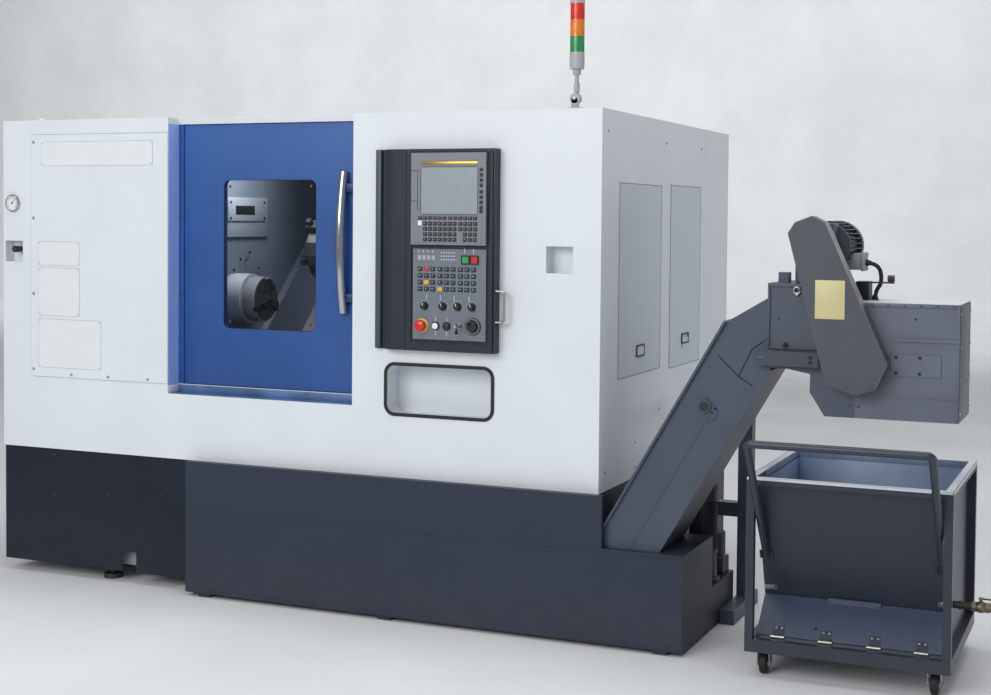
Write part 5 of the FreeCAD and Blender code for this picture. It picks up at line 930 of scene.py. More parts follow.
low, high = boxOf("door_glass")
doorLow = boxOf("front_door")[0]
lap, wide = door["glassLap"], door["gasketWidth"]
paneX, paneZ = (low.x + lap, high.x - lap), (low.z + lap, high.z - lap)
bm = bmesh.new()
addRing(bm, roundedOutline((paneX[0], paneZ[0]), (paneX[1], paneZ[1]), door["paneCorner"]),
        roundedOutline((paneX[0] + wide, paneZ[0] + wide), (paneX[1] - wide, paneZ[1] - wide),
                       door["paneCorner"] - 2),
        (doorLow.y + 1.5, low.y))
piece("windowGasket", bm, "front_door", finish["softBlack"], "edging_rubber")
bm = bmesh.new()
inset = door["studInset"]
for x in (paneX[0] + inset, paneX[1] - inset):
    for z in (paneZ[0] + inset, paneZ[1] - inset):
        addLathe(bm, (x, low.y, z), -axisY, [(0, 0), (0, door["studRadius"]), (1.5, 5), (2, 3), (2, 0)], 20,
                 closed=False)
piece("paneStuds", bm, "front_door", finish["darkSteel"], "ground_steel")

sill = dict(x=(-1712, -928), y=(3.2, 64), tread=1.2, riser=29, wall=30, cap=31.5)
left, right = sill["x"]
front, back = sill["y"]
base = frameLow.z
bm = bmesh.new()
addBox(bm, (left + 1, front, base), (right, back, base + sill["tread"]), 0.5)
addBox(bm, (left, frameFace - 0.6, base + sill["tread"]), (right, frameFace, base + sill["riser"]), 0.2)
piece("sillPlate", bm, "machine", finish["sillBlue"], "frame_blue")
bm = bmesh.new()
addBox(bm, (left, frameFace - 0.9, base + sill["riser"]), (right, frameFace, base + sill["cap"]), 0.3)
addBox(bm, (left, front, base + sill["tread"]), (left + 0.8, frameFace, base + sill["wall"]), 0.2)
piece("sillEdge", bm, "machine", finish["coverWhite"], "cover_white")
print("doorway dressed")

# pendant
column = dict(lip=[(0, 0), (0, -14), (3, -17), (20, -18), (24, -15), (25, -8), (34, -8)], roundX=84,
              roundWidth=46, step=-8, roundSteps=14)
low, high = boxOf("pendant_column")
outline = [(low.x + x, y) for x, y in column["lip"]]
for step in range(column["roundSteps"] + 1):
    turn = math.pi / 2 * step / column["roundSteps"]
    outline.append((low.x + column["roundX"] - column["roundWidth"] * math.cos(turn),
                    column["step"] - (high.y - low.y + column["step"]) * math.sin(turn)))
outline += [(high.x, low.y), (high.x, 0)]
bm = bmesh.new()
addPrism(bm, outline, (low.z, high.z), plane="xy")
piece("columnShell", bm, "machine", finish["pendantGrey"], "pendant_grey", 40, standsFor=["pendant_column"])

# display unit: screen, gold strip, card slot and the soft keys beside the screen
screen = dict(x=(-632, -421), z=(1419, 1578), frame=2.0, corner=4, strip=(-634, -421, 1587, 1596),
              softKeyX=-407.5, softKeyStep=-17.6, softKeySize=12,
              softKeys={"upperSoftKeys": (1569, 4), "lowerSoftKeys": (1494, 4), "singleSoftKey": (1428, 1)},
              slotBars=[(-672, -645, 1566, 1568), (-672, -645, 1462, 1464), (-646.5, -645, 1432, 1568),
                        (-672, -670.5, 1464, 1566)])
caseLow, caseHigh = boxOf("pendant_case")
keyBed = boxOf("display_unit")[0].y
unitFace = keyBed + 1.5
(x0, x1), (z0, z1) = screen["x"], screen["z"]
wide = screen["frame"]
bm = bmesh.new()
addRing(bm, roundedOutline((x0 - wide, z0 - wide), (x1 + wide, z1 + wide), screen["corner"] * 2),
        roundedOutline((x0, z0), (x1, z1), screen["corner"]), (unitFace - 1.6, unitFace))
piece("screenFrame", bm, "pendant", finish["bezelDark"], "display_plastic")
bm = bmesh.new()
addBox(bm, (x0 - 2, unitFace - 0.6, z0 - 2), (x1 + 2, unitFace + 1.6, z1 + 2))
piece("screenPane", bm, "pendant", finish["screen"], "display_plastic")
bm = bmesh.new()
x0, x1, z0, z1 = screen["strip"]
addBox(bm, (x0, unitFace - 2.0, z0), (x1, unitFace, z1), 0.6)
piece("goldStrip", bm, "pendant", finish["gold"], "display_plastic")
bm = bmesh.new()
for x0, x1, z0, z1 in screen["slotBars"]:
    addBox(bm, (x0, unitFace - 0.7, z0), (x1, unitFace, z1), 0.2)
piece("cardSlot", bm, "pendant", finish["black"], "trim_black")
for name, (z, count) in screen["softKeys"].items():
    growCopies(name, "row", keyCap(screen["softKeySize"], screen["softKeySize"], 2.4, 0.08),
               finish["keyGrey"], "pendant", centre=(screen["softKeyX"], unitFace, z), Count=count,
               Step=(0, 0, screen["softKeyStep"]))

# the keys under the screen: place of the first key, columns and rows
displayKeys = dict(pitch=Vector((18.4, 0, -18.0)), width=14.6, height=13.0, topHeight=11.0, rise=2.6,
                   whiteHeight=17)
keyRows = {
    "topKeysLeft": (-635, 1405, 6, 1), "topKeysRight": (-521, 1405, 6, 1),
    "letterKeys": (-615, 1386, 7, 4), "padKeys": (-483, 1386, 4, 2), "arrowKeys": (-466, 1350, 3, 2),
}
keyPitch, keyWidth, keyRise = (displayKeys[key] for key in ("pitch", "width", "rise"))
for name, (x, z, columns, rows) in keyRows.items():
    tall = displayKeys["height"] if rows > 1 else displayKeys["topHeight"]
    growCopies(name, "grid", keyCap(keyWidth, tall, keyRise, 0.08), finish["keyBlack"], "pendant",
               centre=(x, keyBed, z), Columns=columns, Rows=rows, Pitch=keyPitch, Group=columns, Gap=0.0)
growCopies("whiteKey", "row", keyCap(keyWidth, displayKeys["whiteHeight"], keyRise, 0.08), finish["white"],
           "pendant", centre=(-635, keyBed, 1388), Count=1, Step=(0, 0, 0))
legendPlaces = []
for x, z, columns, rows in keyRows.values():
    legendPlaces += [(x + keyPitch.x * across - 1, keyBed - keyRise, z + keyPitch.z * down + 1)
                     for across in range(columns) for down in range(rows)]
growCopies("keyLegends", "scatter", bar((-2.2, -0.45, 0), (2.2, 0.45, 0.15)), finish["legend"], "pendant",
           legendPlaces, Facing=(0, -1, 0), **{"Turn Spread": 3.1, "Seed": 3, "Size": 1.0})

# the keypad: function keys with short marks, coloured keys, lamps and printed bars
panelFace = boxOf("keypad_panel")[0].y
functionKeys = dict(place=Vector((-637, panelFace, 1231)), pitch=Vector((24.2, 0, -22.8)), columns=9, rows=4,
                    group=3, gap=3.6, width=18.4, height=15.6, rise=2.4)
growCopies("functionKeys", "grid",
           keyCap(functionKeys["width"], functionKeys["height"], functionKeys["rise"], 0.08),
           finish["keyNavy"], "pendant", centre=functionKeys["place"], Columns=functionKeys["columns"],
           Rows=functionKeys["rows"], Pitch=functionKeys["pitch"], Group=functionKeys["group"],
           Gap=functionKeys["gap"])


def keyPlace(across, down, height=functionKeys["rise"]):
    x = functionKeys["pitch"].x * across + functionKeys["gap"] * (across // functionKeys["group"])
    return functionKeys["place"] + Vector((x, -height, functionKeys["pitch"].z * down))


markPlaces = [keyPlace(across, down) + Vector((-1.5, 0, 1.5))
              for across in range(functionKeys["columns"]) for down in range(functionKeys["rows"])]
growCopies("functionMarks", "scatter", bar((-3.4, -0.6, 0), (3.4, 0.6, 0.15)), finish["legend"], "pendant",
           markPlaces, Facing=(0, -1, 0), **{"Turn Spread": 6.2, "Seed": 11, "Size": 1.0})
for name, tone, slotName, spots in (("redKey", "red", "stop_red", [(1, 0)]),
                                    ("yellowKeys", "yellow", "display_plastic", [(1, 2), (3, 3)])):
    bm = bmesh.new()
    for across, down in spots:
        place = keyPlace(across, down, 0)
        addBox(bm, place + Vector((-8.6, -3.2, -7.2)), place + Vector((8.6, -1.0, 7.2)), 0.6)
    piece(name, bm, "pendant", finish[tone], slotName)
lamps = dict(status=(-640, 1270), statusCount=4, statusStep=17.6, marks=(-643, 1291), small=(-556, 1288),
             smallColumns=6, smallRows=3, smallPitch=(9.4, 0, -12.0),
             bars=((-612, 1135), (-560, 1134), (-508, 1133), (-452, 1132), (-577, 1059), (-535, 1059),
                   (-577, 1014), (-535, 1013), (-470, 1294), (-437, 1293)))


def onPanel(x, z, proud=0.0):
    return Vector((x, panelFace - proud, z))


statusStep = (lamps["statusStep"], 0, 0)
growCopies("statusLamps", "row", keyCap(12.5, 15, 1.0, 0.05), finish["towerGrey"], "pendant",
           centre=onPanel(*lamps["status"]), Count=lamps["statusCount"], Step=statusStep)
growCopies("statusMarks", "grid", keyCap(4.5, 4, 0.6), finish["legend"], "pendant",
           centre=onPanel(*lamps["marks"]), Columns=lamps["statusCount"], Rows=1, Pitch=statusStep,
           Group=lamps["statusCount"], Gap=0.0)
growCopies("panelLamps", "grid", keyCap(5, 3.6, 0.8), finish["legend"], "pendant",
           centre=onPanel(*lamps["small"]), Columns=lamps["smallColumns"], Rows=lamps["smallRows"],
           Pitch=lamps["smallPitch"], Group=lamps["smallColumns"], Gap=0.0)
growCopies("printedBars", "scatter", bar((-0.9, -9, 0), (0.9, 9, 0.15)), finish["legend"], "pendant",
           [onPanel(*spot) for spot in lamps["bars"]], Facing=(0, -1, 0),
           **{"Turn Spread": 0.0, "Seed": 5, "Size": 1.0})

buttonFrames = bmesh.new()
for node in ("start_button", "halt_button"):
    low, high = boxOf(node)
    addRing(buttonFrames, roundedOutline((low.x - 4.5, low.z - 4.5), (high.x + 4.5, high.z + 4.5), 3, 3),
            roundedOutline((low.x - 0.4, low.z - 0.4), (high.x + 0.4, high.z + 0.4), 1.5, 3),
            (panelFace - 5, panelFace))
piece("buttonFrames", buttonFrames, "pendant", finish["black"], "trim_black")


def middleOf(node):
    # a node's middle, on the panel's face
    low, high = boxOf(node)
    return onPanel((low.x + high.x) / 2, (low.z + high.z) / 2)


knob = dict(count=4, ticks=13, sweep=240.0, tickInner=17.5, tickOuter=21.5)
for index in range(1, knob["count"] + 1):
    node = "selector_knob_" + str(index)
    place = middleOf(node)
    bm = bmesh.new()
    addLathe(bm, place, -axisY,
             [(0.3, 0), (0.3, 14), (4.5, 14), (6.5, 12.2), (16.5, 11.2), (18.4, 9.6), (18.4, 0)], 32)
    addBox(bm, place + Vector((-1.2, -19.2, 1)), place + Vector((1.2, -18.0, 10.4)), 0.3, 1)
    piece("knob" + str(index), bm, node, [finish["black"], finish["legend"]], "trim_black", standsFor=[node])
    growCopies("knobTicks" + str(index), "ring",
               bar((-0.45, -0.25, knob["tickInner"]), (0.45, 0, knob["tickOuter"])),
               finish["legend"], "pendant", centre=place, Count=knob["ticks"], Axis=(0, 1, 0),
               Start=math.radians(-knob["sweep"] / 2), Step=math.radians(knob["sweep"] / (knob["ticks"] - 1)))

place = middleOf("emergency_stop")
bm = bmesh.new()
addLathe(bm, place, -axisY, [(0, 24.5), (1.6, 24.5), (2.2, 23.5), (2.2, 11.3), (0, 11.3), (0, 24.5)], 48,
         closed=False)
piece("stopRing", bm, "pendant", finish["yellow"], "display_plastic")
depth = panelFace - boxOf("emergency_stop")[0].y
bm = bmesh.new()
addLathe(bm, place, -axisY, [(-4, 0), (-4, 11), (depth - 17.5, 11), (depth - 17.5, 17), (depth - 15, 20),
                             (depth - 8, 20), (depth - 4, 18.2), (depth - 1.4, 13), (depth, 6), (depth, 0)],
         48, closed=False)
piece("stopHead", bm, "emergency_stop", finish["red"], "stop_red", standsFor=["emergency_stop"])
bm = bmesh.new()
for index, x in enumerate((-577, -535)):
    start = onPanel(x, 1037)
    addLathe(bm, start, -axisY, [(0, 0), (0, 15), (3, 15), (4.5, 13.5), (4.5, 0)], 32, 1, closed=False)
    addLathe(bm, start, -axisY, [(4.5, 0), (4.5, 11), (7.5, 10.6), (8.6, 9), (8.6, 0)], 32, index,
             closed=False)
piece("roundButtons", bm, "pendant", [finish["white"], finish["black"]], "display_plastic")

# the key: its barrel, the blade, the round bow with its hole, and the tag that hangs from it
place = middleOf("key_switch")
bm = bmesh.new()
addLathe(bm, place, -axisY, [(0.3, 0), (0.3, 11), (4.4, 11), (5.6, 9.6), (5.6, 4.6), (4.8, 4.6), (4.8, 0)],
         32, closed=False)
addBox(bm, place + Vector((-1.1, -20, -4)), place + Vector((1.1, -5, 4)), 0.3)
addRing(bm, arc((place.y - 26, place.z), 10.4, 0, 345, 23), arc((place.y - 28, place.z), 3.2, 0, 345, 23),
        (place.x - 1.1, place.x + 1.1), 0, "yz")
addLathe(bm, place + Vector((-1, -24, -17)), axisX, [(0, 9.5), (2.4, 9.5), (2.4, 3), (0, 3), (0, 9.5)], 24, 1,
         False)
addBox(bm, place + Vector((-0.9, -25.2, -44)), place + Vector((0.9, -22.8, -25)), 0.3)
piece("keyAndLock", bm, "key_switch", [finish["chrome"], finish["black"]], "handle_chrome",
      standsFor=["key_switch"])

wheel = dict(ticks=50, tickInner=22.6, tickOuter=26.6, grips=36)
place = middleOf("handwheel")
bm = bmesh.new()
addLathe(bm, place, -axisY,
         [(0.4, 0), (0.4, 28), (4.5, 29), (6, 28.2), (6.4, 24), (6.4, 19), (10, 18.2), (15, 18),
          (16.4, 16.8), (16.4, 12), (15.2, 11), (15.2, 0)], 64, closed=False)
addLathe(bm, place + Vector((-8.7, 0, 8.7)), -axisY,
         [(15, 3), (17, 4.2), (22, 4.8), (31, 5), (33.6, 4), (34, 0)], 24)
piece("handwheelDial", bm, "handwheel", finish["black"], "chuck_steel", standsFor=["handwheel"])
growCopies("handwheelTicks", "ring", bar((-0.35, -0.3, wheel["tickInner"]), (0.35, 0, wheel["tickOuter"])),
           finish["legend"], "handwheel", centre=place + Vector((0, -6.3, 0)), Count=wheel["ticks"],
           Axis=(0, 1, 0), Start=0.0, Step=2 * math.pi / wheel["ticks"])
growCopies("handwheelGrip", "ring", bar((-0.5, -15, 17.6), (0.5, -7, 18.8), 0.2), finish["softBlack"],
           "handwheel", centre=place, Count=wheel["grips"], Axis=(0, 1, 0), Start=0.0,
           Step=2 * math.pi / wheel["grips"])
low, high = boxOf("pendant_handle")
bm = bmesh.new()
pullY = (low.y + high.y) / 2
pull = roundedPath([(low.x, pullY, low.z + 5), (high.x - 5, pullY, low.z + 5),
                    (high.x - 5, pullY, high.z - 5), (low.x, pullY, high.z - 5)], 12)
addTube(bm, pull, 4.9, 16)
piece("pendantPull", bm, "pendant", finish["zinc"], "trim_black", standsFor=["pendant_handle"])
case = dict(face=4, screwRadius=3.2, trimDepth=0.6, stripBottom=1336)
caseFace = caseLow.y + case["face"]
caseScrews = [(x, caseFace, z) for x in (caseLow.x + 9, caseHigh.x - 24)
              for z in (caseLow.z + 9, caseHigh.z - 6)]
screws("caseScrews", caseScrews, (0, -1, 0), "pendant", "darkSteel", case["screwRadius"], 1.6)
# dark strips on the case's face: the one beside the units is painted shade of the gap there, the other runs
# along the case's right edge
bm = bmesh.new()
trimY = caseFace - case["trimDepth"]
addBox(bm, (caseHigh.x - 27, trimY, case["stripBottom"]), (caseHigh.x - 22, caseFace, caseHigh.z - 34), 0.2)
addBox(bm, (caseHigh.x - 5.6, trimY, caseLow.z), (caseHigh.x, caseFace, caseHigh.z), 0.2)
piece("caseTrim", bm, "pendant", finish["pendantDark"], "pendant_grey")
# a light strip down the column's lip: painted highlight
bm = bmesh.new()
low, high = boxOf("pendant_column")
addBox(bm, (low.x + 1, low.y + 26.4, low.z + 1), (low.x + 20, low.y + 27.2, high.z - 1), 0.3)
piece("columnStrip", bm, "machine", finish["pendantHighlight"], "pendant_grey")
print("pendant dressed")

# signal tower
tower = dict(lensRadius=24.2, waistRadius=23.2, ribs=40, pivotDrop=17, rodRadius=7, collarRadius=13.5,
             bodyRadius=25, hubRadius=17, footRadius=33)
low, high = boxOf("tower_lenses")
axisPlace = Vector(((low.x + high.x) / 2, (low.y + high.y) / 2, 0))
lensHeight = (high.z - low.z) / 3
for index, lensName in enumerate(("lensGreen", "lensAmber", "lensRed")):
    base = axisPlace + Vector((0, 0, low.z + index * lensHeight))
    bm = bmesh.new()
    rim, waist, upper = tower["lensRadius"], tower["waistRadius"], lensHeight - 3
    addLathe(bm, base, axisZ, [(0, 0), (0, rim), (3, rim), (3, waist), (upper, waist), (upper, rim),
                               (lensHeight, rim), (lensHeight, 0)], 48, closed=False)
    shown = piece(lensName + "Body", bm, "signal_tower", finish[lensName], "lens_plastic")
    if index == 0:
        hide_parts("tower_lenses")
    growCopies(lensName + "Ribs", "ring", bar((-0.7, 22.6, 3.4), (0.7, 23.9, lensHeight - 3.4), 0.3),
               finish[lensName], "signal_tower", centre=base, Count=tower["ribs"], Axis=(0, 0, 1), Start=0.0,
               Step=2 * math.pi / tower["ribs"])
low, high = boxOf("signal_tower")
pivotZ = boxOf("tower_foot")[1].z - tower["pivotDrop"]
rod, collar, body, hub = (tower[key] for key in ("rodRadius", "collarRadius", "bodyRadius", "hubRadius"))
bm = bmesh.new()
addLathe(bm, axisPlace, axisZ, [(pivotZ + 10, rod), (pivotZ + 22, rod), (pivotZ + 22, 10), (pivotZ + 50, 10),
                                (pivotZ + 52, rod), (pivotZ + 79, rod), (pivotZ + 79, collar),
                                (pivotZ + 97, collar), (pivotZ + 97, body - 3), (pivotZ + 100, body),
                                (pivotZ + 153, body)], 40)
addLathe(bm, axisPlace, axisZ,
         [(high.z - 20, body), (high.z - 4, body), (high.z - 1.2, body - 3), (high.z, 12),
          (high.z, 0)], 40)
addLathe(bm, (axisPlace.x, low.y + 18, pivotZ), axisY, [(0, hub), (14, hub)], 40)
piece("towerBody", bm, "signal_tower", finish["towerGrey"], "tower_grey", standsFor=["signal_tower"])
low, high = boxOf("tower_foot")
bm = bmesh.new()
foot = tower["footRadius"]
addLathe(bm, (axisPlace.x, axisPlace.y, low.z), axisZ, [(0, foot), (3.5, foot), (5, foot - 1.5), (5, 0)], 40)
addBox(bm, (axisPlace.x - 12, low.y + 11, low.z + 4), (axisPlace.x + 12, low.y + 25, pivotZ), 1)
addLathe(bm, (axisPlace.x, low.y + 11, pivotZ), axisY, [(0, hub), (14, hub)], 40)
addLathe(bm, (axisPlace.x, low.y + 6, pivotZ), axisY, [(0, 5), (1, 7), (5, 7)], 6, 1)
piece("towerFoot", bm, "machine", [finish["towerGrey"], finish["zinc"]], "trim_black",
      standsFor=["tower_foot"])
print("signal tower dressed")

# conveyor drive
drive = dict(motorAxis=(722, 1328), motorRadius=80.0, coreRadius=66.0, fins=30, grilleBars=20, start=95,
             end=265, coverEnd=300, terminalX=(777, 832), terminalY=(120, 200), terminalZ=(1249, 1309))
low, high = boxOf("conveyor_motor")
motorStart = Vector((drive["motorAxis"][0], 0, drive["motorAxis"][1]))
bm = bmesh.new()
addBox(bm, (low.x + 4, low.y, low.z), (760, drive["start"] - 6, 1400), 7)
addBox(bm, (low.x + 14, low.y, 1240), (746, low.y + 8, 1384), 3)
addLathe(bm, motorStart, axisY, [(drive["start"] - 20, 60), (drive["start"] - 12, 74), (drive["start"], 74),
                                 (drive["start"], drive["coreRadius"]), (drive["end"], drive["coreRadius"])],
         48)
addLathe(bm, motorStart, axisY, [(drive["end"] - 6, 80), (drive["coverEnd"] - 6, 80), (drive["coverEnd"], 73),
                                 (drive["coverEnd"], 0)], 48, closed=True)
x0, x1 = drive["terminalX"]
y0, y1 = drive["terminalY"]
z0, z1 = drive["terminalZ"]
addBox(bm, (x0 - 4, y0 + 4, z0 + 4), (x1 - 9, y1 - 4, z1 - 4), 3, 1)
addBox(bm, (x1 - 10, y0, z0), (x1, y1, z1), 4, 1)
piece("driveMotor", bm, "machine", [finish["motorBlue"], finish["terminalGrey"]], "pump_grey",
      standsFor=["conveyor_motor"])
growCopies("motorFins", "ring", bar((-1.3, drive["start"] + 4, drive["coreRadius"] - 2),
                                    (1.3, drive["end"] - 3, drive["motorRadius"] - 1), 0.5),
           finish["motorBlue"], "machine", centre=motorStart, Count=drive["fins"], Axis=(0, 1, 0), Start=0.0,
           Step=2 * math.pi / drive["fins"])
growCopies("fanGrille", "ring", bar((-1.6, drive["coverEnd"] - 0.4, 14), (1.6, drive["coverEnd"], 66), 0.1),
           finish["softBlack"], "machine", centre=motorStart, Count=drive["grilleBars"], Axis=(0, 1, 0),
           Start=0.0, Step=2 * math.pi / drive["grilleBars"])
gearScrews = [(x, low.y, z) for x in (low.x + 24, 737) for z in (1254, 1370)]
screws("gearboxScrews", gearScrews, (0, -1, 0), "machine", "zinc", 5.5, 3.5)
boxScrews = [(x1, y, z) for y in (y0 + 8, y1 - 8) for z in (z0 + 8, z1 - 8)]
screws("terminalScrews", boxScrews, (1, 0, 0), "machine", "zinc", 3.6, 1.8)

cableEnds = dict(y=160, route=((832, 1275), (872, 1275), (884, 1215), (862, 1185), (862, 1158)), radius=6.5)
curve = bpy.data.curves.new("motorCable", "CURVE")
curve.dimensions = "3D"
curve.bevel_depth = cableEnds["radius"] / 1000
curve.bevel_resolution = 5
curve.resolution_u = 16
curve.use_fill_caps = True
spline = curve.splines.new("NURBS")
spline.points.add(len(cableEnds["route"]) - 1)
for spot, (x, z) in zip(spline.points, cableEnds["route"]):
    spot.co = (*(toRow @ Vector((x, cableEnds["y"], z))), 1)
spline.order_u = 3
spline.use_endpoint_u = True
curve.materials.append(finish["softBlack"])
cable = bpy.data.objects.new("motorCable", curve)
bpy.context.scene.collection.objects.link(cable)
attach(cable, "machine")
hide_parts("motor_cable")
bm = bmesh.new()
glandProfile = [(7, 12), (7, 10), (14, 9), (16, 7.2), (16, 0)]
(x0, z0), (x1, z1) = cableEnds["route"][0], cableEnds["route"][-1]
addLathe(bm, (x0, cableEnds["y"], z0), axisX, [(-1, 12)] + glandProfile, 6, closed=True)
addLathe(bm, (x1, cableEnds["y"], z1), axisZ, [(0, 12)] + glandProfile, 6, closed=True)
piece("cableGlands", bm, "machine", finish["black"], "trim_black")
print("conveyor drive dressed")

# conveyor body and head
# eye is the middle of the lifting eye; edges are folded edges, (x, z) to (x, z), how far they stand out and
# their rounding; plate is the cover plate with its four screws; rise is the folds of the rising trough
head = dict(face=-15.0, eye=(653, 1190), eyeRadius=10, eyeWire=3.2, topWearAndHighlight=(763, 1140), flangeHeight=3.5,
            flangeScrewX=(786, 1126), flangeScrews=8, plate=(941, 938, 1004), plateScrewX=(16, 86),
            plateProud=4, holes=[(820, 838), (846, 838), (1012, 1112), (596, 1100)],
            edges=[((831, 803), (834, 872), 1.4, 0.4), ((942, 872), (1139, 876), 3.0, 0.8),
                   ((762, 1146), (1141.5, 1158), 3.5, 1.0), ((562, 1200), (759, 1211), 6, 1.0),
                   ((562, 1012), (568, 1200), 6, 1.0), ((562, 1006), (759, 1012), 8, 1.0),
                   ((1136, 804), (1141.5, 1146), 3.5, 1.0)],
            end=(1142, 1143.2), endScrewY=(0, 245), endScrewZ=(830, 930, 1030, 1130),
            rise=[((404, 975), (470, 912)), ((470, 912), (516, 884)), ((470, 912), (512, 1000)),
                  ((512, 1000), (560, 1034))], riseHalf=1.6, riseDepth=1.2)
headFace = head["face"]
x, z = head["eye"]
bm = bmesh.new()
ringPath = [(a, headFace - 7, b) for a, b in arc(head["eye"], head["eyeRadius"], 20, 340, 24)]
addTube(bm, ringPath, head["eyeWire"], 12)
addLathe(bm, (x, headFace + 1, z - 11), -axisY, [(0, 8), (6, 8), (8, 7), (11, 5), (11, 0)], 20)
piece("liftingEye", bm, "machine", finish["zinc"], "ground_steel")
# the head's folded edges, in the head's lightened grey (painted light)
bm = bmesh.new()
for (x0, z0), (x1, z1), proud, rounding in head["edges"]:
    addBox(bm, (x0, headFace - proud, z0), (x1, headFace, z1), rounding)
piece("headFlanges", bm, "machine", finish["headLitGrey"], "conveyor_grey")
# a pale sheet over the head's top and along its front edge: wear and painted highlight
bm = bmesh.new()
x0, x1 = head["topWearAndHighlight"]
addBox(bm, (x0, headFace + 1, 1158), (x1, headFace + 3, 1158.8), 0.2)
addBox(bm, (x0, headFace + 3, 1158), (x1, 250, 1158.6), 0.2)
piece("headTopWear", bm, "machine", finish["cartLipWearAndHighlight"], "conveyor_grey")
x0, z0, z1 = head["plate"]
plateScrews = [(x0 + x, headFace - head["plateProud"], z) for x in head["plateScrewX"]
               for z in (z0 + 9, z1 - 9)]
screws("coverPlateScrews", plateScrews, (0, -1, 0), "machine", "black", 5.0, 3.2)
flangeScrews = [(x, headFace - head["flangeHeight"], 1152)
                for x in between(*head["flangeScrewX"], head["flangeScrews"])]
screws("flangeScrews", flangeScrews, (0, -1, 0), "machine", "darkSteel", 3.4, 2.0)
screws("bracketScrews", [(704, -55, 970), (704, -55, 985)], (0, -1, 0), "machine", "black", 5.5, 4.0)
bm = bmesh.new()
addLathe(bm, (618, headFace - 6, 1012), axisZ, [(0, 9), (7, 9), (7, 5), (14, 5), (14, 0)], 6)
addBox(bm, (536, -55.6, 974), (566, -55, 982), 0.2)
piece("bracketNut", bm, "machine", finish["darkSteel"], "ground_steel")
# black discs in the head's small holes: painted shade
smallHoles = [(x, headFace, z) for x, z in head["holes"]]
growCopies("headHoles", "scatter", screwHead(4.2, 0.5), finish["black"], "machine", smallHoles,
           Facing=(0, -1, 0), **{"Turn Spread": 0.0, "Seed": 1, "Size": 1.0})
# guard of the drive with a bright metal strip along its edge, and the screw that takes up the chain's slack
guard = dict(plate=((722, 1108), (812, 1226)), face=-85.0, plateProud=0.8,
             edge=[(749, 1400), (940, 975), (905, 898)], edgeProud=0.8, depth=(-84, -18))
slack = dict(place=(363, 812), face=-23, screwFace=-19, screws=((386, 792), (396, 806)))
bm = bmesh.new()
(x0, z0), (x1, z1) = guard["plate"]
addBox(bm, (x0, guard["face"] - guard["plateProud"], z0), (x1, guard["face"], z1), 0.3)
piece("guardPlate", bm, "machine", finish["plateYellow"], "cover_white")
bm = bmesh.new()
for (x0, z0), (x1, z1) in zip(guard["edge"], guard["edge"][1:]):
    along = Vector((x1 - x0, 0, z1 - z0)).normalized()
    out = Vector((-along.z, 0, along.x)) * guard["edgeProud"]
    if out.x < 0:
        out = -out
    addPrism(bm, [(x0, z0), (x1, z1), (x1 + out.x, z1 + out.z), (x0 + out.x, z0 + out.z)], guard["depth"])
piece("guardEdge", bm, "machine", finish["brightEdge"], "conveyor_grey")
x, z = slack["place"]
bm = bmesh.new()
addLathe(bm, (x, slack["face"], z), -axisY, [(0, 21), (3, 21), (4, 20), (4, 16), (1, 15), (1, 0)], 32)
piece("slackCap", bm, "machine", finish["conveyorGrey"], "conveyor_grey")
# a black disc in the cap's hollow: painted shade of its hole
bm = bmesh.new()
addLathe(bm, (x, slack["face"] - 1, z), -axisY, [(0.2, 14.6), (0.6, 14.6), (0.6, 0)], 28)
piece("slackHole", bm, "machine", finish["black"], "trim_black")
slackScrews = [(x, slack["screwFace"], z) for x, z in slack["screws"]]
screws("slackScrews", slackScrews, (0, -1, 0), "machine", "black", 4.5, 2.0)
bm = bmesh.new()
for (x0, z0), (x1, z1) in head["rise"]:
    wide = Vector((z0 - z1, x1 - x0)).normalized() * head["riseHalf"]
    addPrism(bm, [(x0 - wide.x, z0 - wide.y), (x1 - wide.x, z1 - wide.y), (x1 + wide.x, z1 + wide.y),
                  (x0 + wide.x, z0 + wide.y)], (headFace - head["riseDepth"], headFace))
piece("riseSeams", bm, "machine", finish["baseGrey"], "conveyor_grey")
bm = bmesh.new()
inner, outer = head["end"]
addBox(bm, (inner, -10, 808), (outer, 255, 1152), 0.5)
piece("headEndPlate", bm, "machine", finish["conveyorEnd"], "conveyor_grey")
endScrews = [(outer, y, z) for y in head["endScrewY"] for z in head["endScrewZ"]]
screws("endPlateScrews", endScrews, (1, 0, 0), "machine", "zinc", 4.0, 2.4)
print("conveyor dressed")

# coolant tank and pumps
tank = dict(apronZ=488, apronX=(-1560, 0), apronScrews=9, flanges=(318, 20), flangeHeight=10, flangeProud=1.5)
low, high = boxOf("coolant_tank")
tankScrews = [(x, low.y, tank["apronZ"]) for x in between(*tank["apronX"], tank["apronScrews"])]
screws("apronScrews", tankScrews, (0, -1, 0), "machine", "darkSteel", 4.5, 2.4)
bm = bmesh.new()
for z in tank["flanges"]:
    addBox(bm, (low.x + 2, low.y - tank["flangeProud"], z), (high.x - 2, low.y, z + tank["flangeHeight"]),
           0.6)
piece("tankFlanges", bm, "machine", finish["tankGrey"], "tank_grey")
